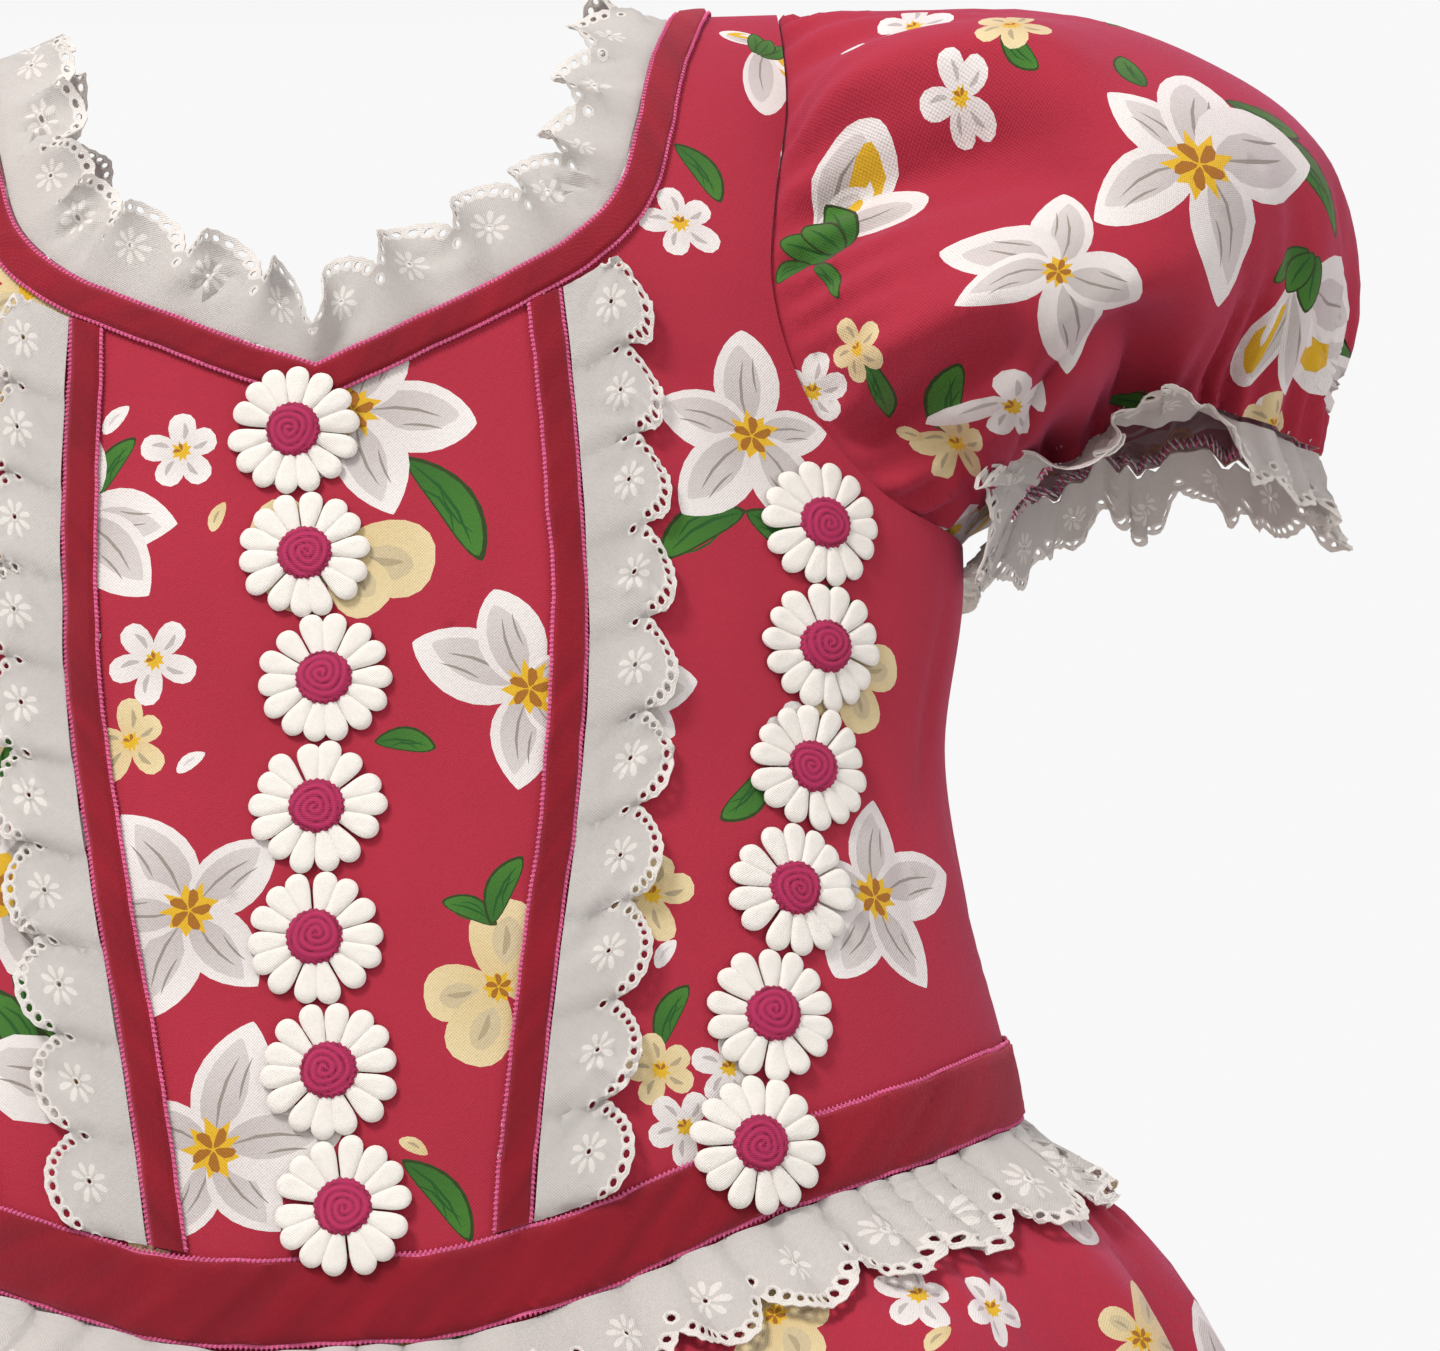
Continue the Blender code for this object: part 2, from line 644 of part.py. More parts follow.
def neck_lace(front_waves=8, back_waves=6, wave_columns=4):
    """Broderie lace standing up from the neckline, one wave for each scallop."""
    line, point, normal, up = neck_frame(
        front_waves * wave_columns + 1, back_waves * wave_columns + 1
    )
    point[-1, 0] += LACE_THICK
    step = np.arange(len(line))
    turn = 2 * math.pi * step / wave_columns
    from_front = np.concatenate(
        [[0], np.cumsum(np.linalg.norm(np.diff(point, axis=0), axis=1))]
    )
    lean = ease(from_front / NECK_TURN)[:, None]
    upright = up[0] * (1 - lean) + up * lean
    upright /= np.linalg.norm(upright, axis=1, keepdims=True)
    notch = 1 - NECK_NOTCH * np.exp(-((from_front / NECK_NOTCH_WIDE) ** 2))
    width = scalloped(LACE_WIDE, turn) * notch
    away = PANEL_THICK / 2 + NECK_STAND + NECK_SWING * np.sin(turn)
    foot = point + upright * SEAM_GAP * 2 + normal * PANEL_THICK / 2
    edge = point + upright * width[:, None] + normal * away[:, None]
    return lace_wall("neck_lace", both_halves(np.stack([foot, edge])))


def under_neck_ribbon(girth):
    """Length down the cloth at which a trim starts below the neck ribbon."""
    reach = 1e-3
    rise = (neck_length(girth + reach) - neck_length(girth - reach)) / (2 * reach)
    run = smooth(LEVELS, 1, height_at(neck_length(girth))) * np.cos(girth)
    return neck_length(girth) + NECK_RIBBON_WIDE * np.hypot(1, rise / run) + SEAM_GAP


def over_waistband(girth):
    """Length down the cloth at which a trim ends above the waistband."""
    return waist_length(girth) - WAIST_RIBBON_WIDE / 2 - SEAM_GAP * 2


def beside_seam(reach, share):
    """Girths and lengths at these distances outwards of the princess seam.

    The share runs from the neck ribbon to the waistband.
    """
    girth = np.broadcast_to([[SEAM_TOP, SEAM_FOOT]], (len(reach), 2))
    for _ in range(6):
        top, foot = under_neck_ribbon(girth[:, :1]), over_waistband(girth[:, -1:])
        length = top * (1 - share) + foot * share
        seam = seam_girth(length)
        girth = seam + reach / (smooth(LEVELS, 1, height_at(length)) * np.cos(seam))
    return girth, length


def princess_ribbon(count=16):
    """Velvet over the princess seam."""
    reach = np.array([-0.5, 0.5])[:, None] * PRINCESS_RIBBON_WIDE
    girth, length = beside_seam(reach, np.linspace(0, 1, count)[None, :])
    return laid("princess_ribbon_left", girth, length, RIBBON_FOOT, RIBBON_TOP, "velvet")


def princess_lace(waves=10, wave_columns=4):
    """Lace gathered along the outer edge of the princess ribbon, lying on the side."""
    share = np.linspace(0, 1, waves * wave_columns + 1)
    turn = 2 * math.pi * share * waves
    near = PRINCESS_RIBBON_WIDE / 2 + SEAM_GAP
    width = scalloped(PRINCESS_LACE_WIDE, turn)
    reach = np.stack([np.full(len(share), near), near + width])
    girth, length = beside_seam(reach, share[None, :])
    rise = np.stack([0 * turn, PRINCESS_STAND + PRINCESS_SWING * np.sin(turn)])
    point, normal = bodice(girth, length), outward(bodice, girth, length)
    low = (RIBBON_FOOT + rise)[..., None]
    high = low + LACE_THICK
    return wall(
        "princess_lace_left", point + normal * low, point + normal * high, "broderie"
    )


def waistband(half_count=31):
    """Velvet waistband over the waist seam, open at the zip."""
    girth = np.linspace(-math.pi + GIRTH_GAP * 2, math.pi - GIRTH_GAP * 2, 2 * half_count + 1)
    girth = np.stack([girth, girth])
    half = np.array([-0.5, 0.5])[:, None] * WAIST_RIBBON_WIDE
    length = waist_length(girth) + half
    return laid("waistband", girth, length, RIBBON_FOOT, RIBBON_TOP, "velvet")


def ripple(girth):
    """The uneven folds of the skirt, from -1 in a valley to 1 on a crest."""
    phase = SKIRT_FOLDS * girth + 0.8 * np.sin(2 * girth + 0.7) + 0.4 * np.sin(5 * girth)
    return np.cos(phase) * (0.78 + 0.22 * np.cos(3 * girth + 1.1))


def skirt(girth, share):
    """Point of the skirt's inner face, by girth angle and share of the way to the hem."""
    girth, share = np.broadcast_arrays(np.asarray(girth, float), share)
    seam = waist_height(girth)
    drop = share * (SKIRT_DROP - seam)
    height = seam + drop
    wide = smooth(LEVELS, 1, height) + smooth(SKIRT, 1, drop)
    depth = np.where(np.cos(girth) >= 0, smooth(LEVELS, 2, height), smooth(LEVELS, 3, height))
    deep = depth + smooth(SKIRT, 1, drop)
    out = np.stack([np.sin(girth) / wide, -np.cos(girth) / deep], axis=-1)
    out /= np.linalg.norm(out, axis=-1, keepdims=True)
    fold = (smooth(SKIRT, 2, drop) * ripple(girth))[..., None]
    flat = np.stack([wide * np.sin(girth), -deep * np.cos(girth)], axis=-1) + out * fold
    return np.concatenate([flat, -height[..., None]], axis=-1)


def skirt_panel(name, start, end, folds):
    """One panel of the skirt between two girth angles."""
    girth = np.linspace(start, end, int(folds * FOLD_COLUMNS) + 1)[None, :]
    share = np.array(SKIRT_ROWS)[:, None]
    girth, share = np.broadcast_arrays(girth, share)
    point, normal = skirt(girth, share), outward(skirt, girth, share)
    return wall(name, point, point + normal * PANEL_THICK, "print_cotton")


def skirt_panels():
    """The skirt's front and its two backs."""
    side, middle = math.pi / 2, math.pi
    gap = SIDE_GIRTH_GAP
    quarter = SKIRT_FOLDS / 4
    skirt_panel("skirt_front", -side + gap, side - gap, 2 * quarter)
    skirt_panel("skirt_back_left", side + gap, middle - GIRTH_GAP, quarter)
    skirt_panel("skirt_back_right", -middle + GIRTH_GAP, -side - gap, quarter)


def waist_lace(waves=28, wave_columns=4):
    """Lace gathered under the waistband, over the top of the skirt."""
    step = np.arange(waves * wave_columns + 1)
    girth = -math.pi + GIRTH_GAP * 2 + (2 * math.pi - GIRTH_GAP * 4) * step / step[-1]
    turn = 2 * math.pi * step / wave_columns
    whole = SKIRT_DROP - waist_height(girth)
    start = (WAIST_RIBBON_WIDE / 2 + SEAM_GAP * 4) / whole
    share = np.stack([start, start + scalloped(LACE_WIDE, turn) / whole])
    girth = np.stack([girth, girth])
    rise = np.stack([0 * turn, WAIST_STAND + WAIST_SWING * np.sin(turn)])
    low = (PANEL_THICK + WAIST_LACE_GAP + rise)[..., None]
    point, normal = skirt(girth, share), outward(skirt, girth, share)
    high = low + LACE_THICK
    return wall("waist_lace", point + normal * low, point + normal * high, "broderie")


def armhole_frame(psi):
    """Points and normals of the armhole's edge, round the left sleeve.

    The angle psi is 0 at the shoulder, a quarter turn at the front and a half under the arm.
    """
    share = (psi % (2 * math.pi)) / math.pi
    at = np.where(share <= 1, share, 2 - share) * (ARM_POINTS - 1)
    steps = np.arange(ARM_POINTS)
    girth, length = (
        np.where(
            share <= 1,
            np.interp(at, steps, ARM_FRONT_EDGE[:, i]),
            np.interp(at, steps, ARM_BACK_EDGE[:, i]),
        )
        for i in (0, 1)
    )
    return bodice(girth, length), outward(bodice, girth, length)


def sleeve_body(psi, share):
    """Point of the left sleeve's inner face, without its gathers."""
    outer = np.stack([smooth(SLEEVE, 1, share), 0 * share, -smooth(SLEEVE, 2, share)], -1)
    inner = np.stack([smooth(SLEEVE, 3, share), 0 * share, -smooth(SLEEVE, 4, share)], -1)
    front, back = smooth(SLEEVE, 5, share), smooth(SLEEVE, 6, share)
    cos, sin = np.cos(psi)[..., None], np.sin(psi)
    depth = np.where(sin >= 0, front, back) * sin
    ring = (outer + inner) / 2 + (outer - inner) / 2 * cos
    ring = ring + np.stack([0 * depth, -depth, smooth(SLEEVE, 7, share) * sin**2], -1)
    hole, _ = armhole_frame(psi)
    weight = np.sin(math.pi / 2 * np.clip(share / SLEEVE_JOIN, 0, 1))[..., None]
    return hole * (1 - weight) + ring * weight


def sleeve_relief(psi, share):
    """How far gathers and creases move the sleeve's cloth outwards."""
    turn = (psi / (2 * math.pi)) % 1.0
    gathers = GATHER_DEEP * np.cos(SLEEVE_GATHERS * psi)
    cuff = ease((share - CUFF_GATHERS[0]) / CUFF_GATHERS[1])
    head = ease((share - HEAD_GATHERS[0]) / HEAD_GATHERS[1])
    head = head * ease((HEAD_GATHERS[2] - share) / HEAD_GATHERS[3])
    relief = gathers * (cuff + head * (0.5 + 0.5 * np.cos(psi)))
    for middle, start, end, half, deep in CREASES:
        away = (turn - middle - CREASE_LEAN * (share - start) + 0.5) % 1.0 - 0.5
        along = ease((share - start) / CREASE_START) * ease((end - share) / CREASE_END)
        relief = relief - deep * np.exp(-((away / half) ** 2)) * along
    under = ease((-np.cos(psi) - UNDER_ARM[0]) / UNDER_ARM[1])
    return relief * (1 - UNDER_ARM[2] * under)


def sleeve_cloth(psi, share):
    """Points and outward normals of the left sleeve's inner face."""
    psi, share = np.broadcast_arrays(np.asarray(psi, float), share)

    def plain_normal(a, b, reach=1e-4):
        across = sleeve_body(a + reach, b) - sleeve_body(a - reach, b)
        low, high = np.clip(b - reach, 0, 1), np.clip(b + reach, 0, 1)
        along = sleeve_body(a, high) - sleeve_body(a, low)
        normal = np.cross(along, across)
        return normal / np.linalg.norm(normal, axis=-1, keepdims=True)

    normal = plain_normal(psi, np.clip(share, SLEEVE_FOOT, 1))
    return sleeve_body(psi, share) + normal * sleeve_relief(psi, share)[..., None], normal


def into_hole(psi, reach=0.05):
    """Directions along the bodice's cloth, from the armhole's edge into the hole."""
    hole, hole_normal = armhole_frame(psi)
    along = armhole_frame(psi + reach)[0] - armhole_frame(psi - reach)[0]
    out = np.cross(hole_normal, along)
    out /= np.linalg.norm(out, axis=-1, keepdims=True)
    return out * np.sign((out * (ARMHOLE_MIDDLE - hole)).sum(-1, keepdims=True))


def sleeve():
    """Puff sleeve, set into the armhole and drawn in at the cuff."""
    psi = np.linspace(0, 2 * math.pi, SLEEVE_GATHERS * GATHER_COLUMNS, endpoint=False)
    share = np.array(SLEEVE_ROWS)[:, None]
    psi, share = np.broadcast_arrays(psi[None, :], share)
    point, normal = sleeve_cloth(psi, share)
    out = into_hole(psi)
    back = np.clip(-(normal * out).sum(axis=-1, keepdims=True), 0, None)
    clear = (SLEEVE_GAP + PANEL_THICK * back) * (1 - ease(share / SLEEVE_CLEAR))[..., None]
    point = point + out * clear
    return wall(
        "sleeve_left", point, point + normal * PANEL_THICK, "print_cotton", closed=True
    )


def cuff_lace(wave_columns=4):
    """Lace gathered on the cuff's elastic, flaring out below it."""
    columns = SLEEVE_GATHERS * GATHER_COLUMNS
    cut = np.linspace(0, 2 * math.pi, columns + 1)
    hem, out = sleeve_cloth(cut, np.ones(cut.shape))
    onward = hem - sleeve_body(cut, np.full(cut.shape, CUFF_START))
    onward /= np.linalg.norm(onward, axis=1, keepdims=True)
    hem = hem + out * PANEL_THICK / 2 + onward * CUFF_LACE_AWAY
    psi = np.linspace(0, 2 * math.pi, CUFF_LACE_WAVES * wave_columns, endpoint=False)
    turn = CUFF_LACE_WAVES * psi
    ring = np.column_stack([np.interp(psi, cut, hem[:, i]) for i in range(3)])
    cos, sin = np.cos(psi), np.sin(psi)
    forward = np.where(sin >= 0, CUFF_FLARE_FRONT, CUFF_FLARE_BACK) * sin
    aside = CUFF_ASIDE + np.where(cos >= 0, CUFF_ASIDE_OUTER, CUFF_ASIDE_INNER) * cos
    down = CUFF_DOWN + CUFF_DOWN_SIDE * np.abs(cos)
    way = np.column_stack([aside, -forward, -down])
    way /= np.linalg.norm(way, axis=1, keepdims=True)
    along = np.gradient(np.concatenate([ring[-1:], ring, ring[:1]]), axis=0)[1:-1]
    side = np.cross(way, along)
    side /= np.linalg.norm(side, axis=1, keepdims=True)
    curl = np.exp(-(((psi - CUFF_CURL) / CUFF_CURL_WIDE) ** 2))
    calm = 1 - CUFF_CALM * np.clip(-cos, 0, 1)
    swing = (CUFF_SWING + CUFF_CURL_SWING * curl) * calm * np.sin(turn)
    edge = ring + way * scalloped(LACE_WIDE, turn)[:, None] + side * swing[:, None]
    return lace_wall("cuff_lace_left", np.stack([ring, edge]), closed=True)


def top_layer(girth, length):
    """Height over the bodice's inner face of the ribbon or cloth that a trim lies on."""
    below_neck = length - neck_length(girth)
    over_neck = 1 - ease((below_neck - NECK_RIBBON_WIDE - STEP_START) / STEP_RUN)
    from_waist = np.abs(length - waist_length(girth))
    over_waist = 1 - ease((from_waist - WAIST_RIBBON_WIDE / 2 - STEP_START) / STEP_RUN)
    return PANEL_THICK + (RIBBON_TOP - PANEL_THICK) * np.maximum(over_neck, over_waist)


def daisy(x, height, lean):
    """Points of one guipure daisy: its top, its rims, its back and its back rim.

    The lean turns it, so that its bars point along the row.
    """
    radius = DAISY_WIDE / 2
    spokes = 2 * DAISY_PETALS
    turn = 2 * math.pi * (np.arange(spokes) + 0.5) / spokes + lean
    tips = np.where(np.arange(spokes) % 2 == 0, radius, radius * 0.80)
    rings = [
        (np.zeros(1), np.zeros(1), 0.0026),
        (np.full(8, radius * 0.40), turn[::4], 0.0024),
        (tips, turn, 0.0012),
    ]
    centre = np.array([[float(girth_of(x, height)), float(length_at(height))]])
    _, normal, up = across_cloth(centre + LEVEL_STEP)
    right = np.cross(up[0], normal[0])
    tops, backs = [], []
    for reach, angle, high in rings:
        move = reach[:, None] * (
            np.cos(angle)[:, None] * right + np.sin(angle)[:, None] * up[0]
        )
        line = slide(np.repeat(centre, len(reach), axis=0), move)
        base = top_layer(line[:, 0], line[:, 1]) + LAYER_GAP
        point = bodice(line[:, 0], line[:, 1])
        face = outward(bodice, line[:, 0], line[:, 1])
        tops.append(point + face * (base + high)[:, None])
        backs.append(point + face * base[:, None])
    return np.concatenate([*tops, backs[0], backs[2]])


def daisy_faces(first, joined_above, joined_below):
    """Faces of a daisy whose points start at this number, open where it joins the next."""
    spokes = 2 * DAISY_PETALS
    eyes, rim, back, back_rim = 1, 9, 41, 42
    faces = []
    for i in range(8):
        j = (i + 1) % 8
        faces.append((0, eyes + i, eyes + j))
        for k in range(4):
            a, b = rim + 4 * i + k, rim + (4 * i + k + 1) % spokes
            faces.append((eyes + (i if k < 2 else j), a, b))
        faces.append((eyes + i, rim + 4 * i + 2, eyes + j))
    for i in range(spokes):
        j = (i + 1) % spokes
        faces.append((back, back_rim + j, back_rim + i))
        if (i == 7 and joined_above) or (i == 23 and joined_below):
            continue
        faces.append((rim + i, back_rim + i, back_rim + j, rim + j))
    return [tuple(first + i for i in face) for face in faces]


def row_leans(places):
    """How far each daisy of a row turns from upright to follow the row."""
    places = np.array(places)
    line = np.column_stack([girth_of(places[:, 0], places[:, 1]), length_at(places[:, 1])])
    run = -np.gradient(bodice(line[:, 0], line[:, 1]), axis=0)
    leans = []
    for place, way in zip(line, run):
        _, normal, up = across_cloth(place + LEVEL_STEP)
        right = np.cross(up[0], normal[0])
        leans.append(-math.atan2(way @ right, way @ up[0]))
    return leans


def daisy_trim(name, places):
    """A strip of daisies, each joined to the next by a short bar."""
    points = np.concatenate([
        daisy(x, height, lean) for (x, height), lean in zip(places, row_leans(places))
    ])
    each, rim, back_rim = 74, 9, 42
    faces = []
    for i in range(len(places)):
        faces += daisy_faces(each * i, i > 0, i < len(places) - 1)
    for i in range(len(places) - 1):
        above, below = each * i, each * (i + 1)
        ring = [above + rim + 23, above + rim + 24, above + back_rim + 24, above + back_rim + 23]
        next_ring = [below + rim + 8, below + rim + 7, below + back_rim + 7, below + back_rim + 8]
        for k in range(4):
            m = (k + 1) % 4
            faces.append((ring[k], ring[m], next_ring[m], next_ring[k]))
    mesh = bpy.data.meshes.new(name)
    mesh.from_pydata(points.tolist(), [], faces)
    return finish(name, mesh, "guipure")


def daisies():
    """The three strips of daisies down the front."""
    daisy_trim("daisy_trim_centre", CENTRE_DAISIES)
    left = daisy_trim("daisy_trim_left", SIDE_DAISIES)
    mirrored(left, "daisy_trim_right")


def zip_tape(count=12):
    """Zip tape behind the centre back, from the neckline to just under the waist seam."""
    top = float(NECK_BACK[0, 1]) + 0.001
    foot = float(waist_length(math.pi)) + 0.009
    length = np.linspace(top, foot, count)[:, None]
    side = np.linspace(-1, 1, 3)[None, :] * ZIP_HALF_WIDE
    girth = math.pi + side / smooth(LEVELS, 1, height_at(length))
    girth, length = np.broadcast_arrays(girth, length)
    low = -ZIP_TAPE_GAP - ZIP_TAPE_THICK
    return laid("zip_tape", girth, length, low, -ZIP_TAPE_GAP, "zip_tape")


def plate(name, outline, holes, thick):
    """A flat plate from a 2D outline with holes, lying in its own XY plane."""
    curve = bpy.data.curves.new(name, "CURVE")
    curve.dimensions = "2D"
    curve.fill_mode = "BOTH"
    curve.extrude = thick / 2
    for ring in (outline, *holes):
        spline = curve.splines.new("POLY")
        spline.points.add(len(ring) - 1)
        for point, (x, y) in zip(spline.points, ring):
            point.co = (x, y, 0, 1)
        spline.use_cyclic_u = True
    flat = bpy.data.objects.new(name, curve)
    bpy.context.scene.collection.objects.link(flat)
    bpy.context.view_layer.update()
    graph = bpy.context.evaluated_depsgraph_get()
    mesh = bpy.data.meshes.new_from_object(flat.evaluated_get(graph))
    bpy.data.objects.remove(flat)
    shape = bmesh.new()
    shape.from_mesh(mesh)
    bmesh.ops.remove_doubles(shape, verts=shape.verts, dist=1e-6)
    shape.to_mesh(mesh)
    shape.free()
    return mesh


def box_ring(x0, y0, x1, y1):
    return [(x0, y0), (x1, y0), (x1, y1), (x0, y1)]


def hinge_place():
    """The pull tab's hinge point, and the tilt of the cloth under the slider."""
    length = np.array([float(NECK_BACK[0, 1]) + SLIDER_LONG * 0.62])
    girth = np.array([math.pi])
    point, normal = bodice(girth, length)[0], outward(bodice, girth, length)[0]
    tilt = math.atan2(normal[2], normal[1])
    seat = point + normal * (RIBBON_TOP + 0.0006)
    lift = SLIDER_THICK + BRIDGE_BAR + (BRIDGE_HIGH - 2 * BRIDGE_BAR) / 2
    return seat, seat + normal * (lift + 0.0004), tilt


def slider():
    """The zip's slider: a body with a bridge that the pull tab hangs from."""
    seat, _, tilt = hinge_place()
    side = BRIDGE_LONG / 2
    foot, top = SLIDER_THICK - 0.0004, SLIDER_THICK + BRIDGE_HIGH + BRIDGE_BAR
    window = box_ring(
        -BRIDGE_WINDOW / 2, SLIDER_THICK + 0.0003, BRIDGE_WINDOW / 2, top - BRIDGE_BAR
    )
    bridge = plate("slider_bridge", box_ring(-side, foot, side, top), [window], BRIDGE_WIDE)
    bridge.transform(Matrix(((0, 0, 1, 0), (0, 1, 0, 0), (1, 0, 0, 0), (0, 0, 0, 1))))
    shape = bmesh.new()
    shape.from_mesh(bridge)
    bmesh.ops.recalc_face_normals(shape, faces=shape.faces)
    shape.to_mesh(bridge)
    shape.free()
    arch = bpy.data.objects.new("slider_bridge", bridge)
    bpy.data.collections["cutters"].objects.link(arch)
    arch.hide_render = True
    arch.display_type = "WIRE"
    half, end = SLIDER_WIDE / 2, SLIDER_LONG / 2
    corner = 0.0015
    outline = [
        (-half, end - corner), (-half * 0.55, end), (half * 0.55, end),
        (half, end - corner), (half * 0.7, -end), (-half * 0.7, -end),
    ]
    body = plate("zip_slider", outline, [], SLIDER_THICK)
    upright = ((1, 0, 0, 0), (0, 0, 1, SLIDER_THICK / 2), (0, 1, 0, 0), (0, 0, 0, 1))
    body.transform(Matrix(upright))
    thing = finish("zip_slider", body, "nickel")
    join = thing.modifiers.new("bridge", "BOOLEAN")
    join.operation = "UNION"
    join.object = arch
    for piece in (thing, arch):
        piece.location = seat
        piece.rotation_euler = (tilt, 0, 0)
    return thing


def pull_tab():
    """The pull tab, hanging straight down from the slider's bridge."""
    _, hinge, _ = hinge_place()
    half, bar = TAB_WINDOW_WIDE / 2, TAB_THICK / 2
    shoulder = half + 0.0010
    arc = [math.radians(a) for a in range(200, 341, 20)]
    round_end = [
        (TAB_WIDE / 2 * math.cos(a), -TAB_LONG + TAB_WIDE / 2 + TAB_WIDE / 2 * math.sin(a))
        for a in arc
    ]
    outline = [(shoulder, bar), (-shoulder, bar), (-shoulder * 0.8, -0.0080)]
    outline += round_end + [(shoulder * 0.8, -0.0080)]
    window = box_ring(-half, -bar - TAB_WINDOW_LONG, half, -bar)
    mesh = plate("pull_tab", outline, [window], TAB_THICK)
    mesh.transform(Matrix(((1, 0, 0, 0), (0, 0, -1, 0), (0, 1, 0, 0), (0, 0, 0, 1))))
    thing = finish("pull_tab", mesh, "nickel")
    thing.location = hinge
    return thing


def clear_scene():
    """Start from an empty scene, with a collection for the dress and one for cutters."""
    for thing in list(bpy.data.objects):
        bpy.data.objects.remove(thing)
    for name in ("huasa_dress", "cutters"):
        folder = bpy.data.collections.new(name)
        bpy.context.scene.collection.children.link(folder)


def build():
    """Make every piece of the dress."""
    clear_scene()
    front_centre()
    mirrored(front_side(), "front_side_right")
    mirrored(back_panel(), "back_right")
    skirt_panels()
    mirrored(sleeve(), "sleeve_right")
    mirrored(cuff_lace(), "cuff_lace_right")
    neck_ribbon()
    neck_lace()
    mirrored(princess_ribbon(), "princess_ribbon_right")
    mirrored(princess_lace(), "princess_lace_right")
    waistband()
    waist_lace()
    daisies()
    zip_tape()
    slider()
    pull_tab()


build()
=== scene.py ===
# %% [markdown]
# # A girl's huasa dress
#
# A huasa dress is the country dress that girls wear to dance the cueca. This one is
# raspberry cotton with a print of white and cream blooms. Velvet ribbon covers its
# seams, eyelet lace is gathered along the ribbons, and padded lace daisies run down the
# front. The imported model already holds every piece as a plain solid, in metres, with the
# shoulder line at z = 0. This script gives each piece its cloth, its print and its
# stitches, and never moves a solid.

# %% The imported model
import math

import bpy
import numpy as np
from mathutils import Matrix, Vector
from mathutils.geometry import delaunay_2d_cdt


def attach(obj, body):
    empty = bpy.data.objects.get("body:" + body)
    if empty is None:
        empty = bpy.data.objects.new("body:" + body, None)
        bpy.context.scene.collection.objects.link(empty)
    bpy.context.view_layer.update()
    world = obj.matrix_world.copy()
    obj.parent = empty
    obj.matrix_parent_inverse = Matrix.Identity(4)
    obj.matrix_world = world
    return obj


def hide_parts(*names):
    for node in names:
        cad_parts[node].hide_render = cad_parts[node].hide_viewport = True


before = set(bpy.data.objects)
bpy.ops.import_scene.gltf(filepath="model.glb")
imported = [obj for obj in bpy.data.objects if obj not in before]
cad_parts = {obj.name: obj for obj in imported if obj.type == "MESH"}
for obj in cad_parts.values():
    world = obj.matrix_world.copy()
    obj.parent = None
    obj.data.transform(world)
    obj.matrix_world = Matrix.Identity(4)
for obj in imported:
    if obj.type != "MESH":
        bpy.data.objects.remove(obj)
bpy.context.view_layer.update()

# %% [markdown]
# ## The camera
#
# The dress is seen from a little below, from the front, with its left side tipped up by a
# few degrees. A camera object holds a matrix whose columns are its right, up and backward
# directions, so the view is built from those three and no angle has to be guessed.

# %% Camera
CAMERA_LOW = math.radians(12.0)
CAMERA_ROLL = math.radians(3.5)
CAMERA_AWAY = 0.620
CAMERA_LENS = 79.8
CAMERA_TARGET = Vector((0.076, -0.048, -0.155))


def make_camera():
    """A camera under the middle of the photo's view, looking up at the bodice."""
    data = bpy.data.cameras.new("camera")
    data.sensor_width = 36.0
    data.lens = CAMERA_LENS
    data.clip_start = 0.01
    camera = bpy.data.objects.new("camera", data)
    bpy.context.scene.collection.objects.link(camera)
    look = Vector((0.0, math.cos(CAMERA_LOW), math.sin(CAMERA_LOW)))
    level, upright = Vector((1.0, 0.0, 0.0)), Vector((0.0, -math.sin(CAMERA_LOW), math.cos(CAMERA_LOW)))
    right = level * math.cos(CAMERA_ROLL) - upright * math.sin(CAMERA_ROLL)
    up = upright * math.cos(CAMERA_ROLL) + level * math.sin(CAMERA_ROLL)
    turn = Matrix((right, up, -look)).transposed().to_4x4()
    turn.translation = CAMERA_TARGET - look * CAMERA_AWAY
    camera.matrix_world = turn
    bpy.context.scene.camera = camera


make_camera()
print("camera", [round(v, 3) for v in bpy.context.scene.camera.matrix_world.translation])

# %% [markdown]
# ## The shape of the dress, as functions
#
# Cloth has no sharp form of its own, so each surface is a function: it takes a place on
# the cloth and returns a point. The bodice is a stack of half ellipses, a place on it is
# an angle round the body and a length down from the shoulder. These are the same tables
# as the solids are made from, so whatever is drawn on the functions fits the solids.

# %% Tables of the cut
PANEL_THICK = 0.0012
RIBBON_FOOT = 0.0017
RIBBON_TOP = 0.0029
SEAM_GAP = 0.0003
NECK_RIBBON_WIDE = 0.0075
PRINCESS_RIBBON_WIDE = 0.0070
WAIST_RIBBON_WIDE = 0.0160
LACE_WIDE = 0.0190
SCALLOP = 0.0185
SCALLOP_DEEP = 0.0060
LAYER_GAP = 0.0005
STEP_START = 0.0015
STEP_RUN = 0.0120

# Rows of height under the shoulder line, half width, front depth and back depth
LEVELS = np.array([
    (0.000, 0.1180, 0.0500, 0.0470),
    (0.028, 0.1220, 0.0500, 0.0470),
    (0.060, 0.1255, 0.0500, 0.0470),
    (0.090, 0.1270, 0.0500, 0.0465),
    (0.130, 0.1270, 0.0520, 0.0470),
    (0.165, 0.1205, 0.0535, 0.0470),
    (0.200, 0.1235, 0.0560, 0.0480),
    (0.232, 0.1290, 0.0580, 0.0500),
    (0.275, 0.1300, 0.0600, 0.0520),
    (0.300, 0.1300, 0.0600, 0.0520),
])
SHOULDER_DROP = 0.090
SHOULDER_DEEP = 0.050
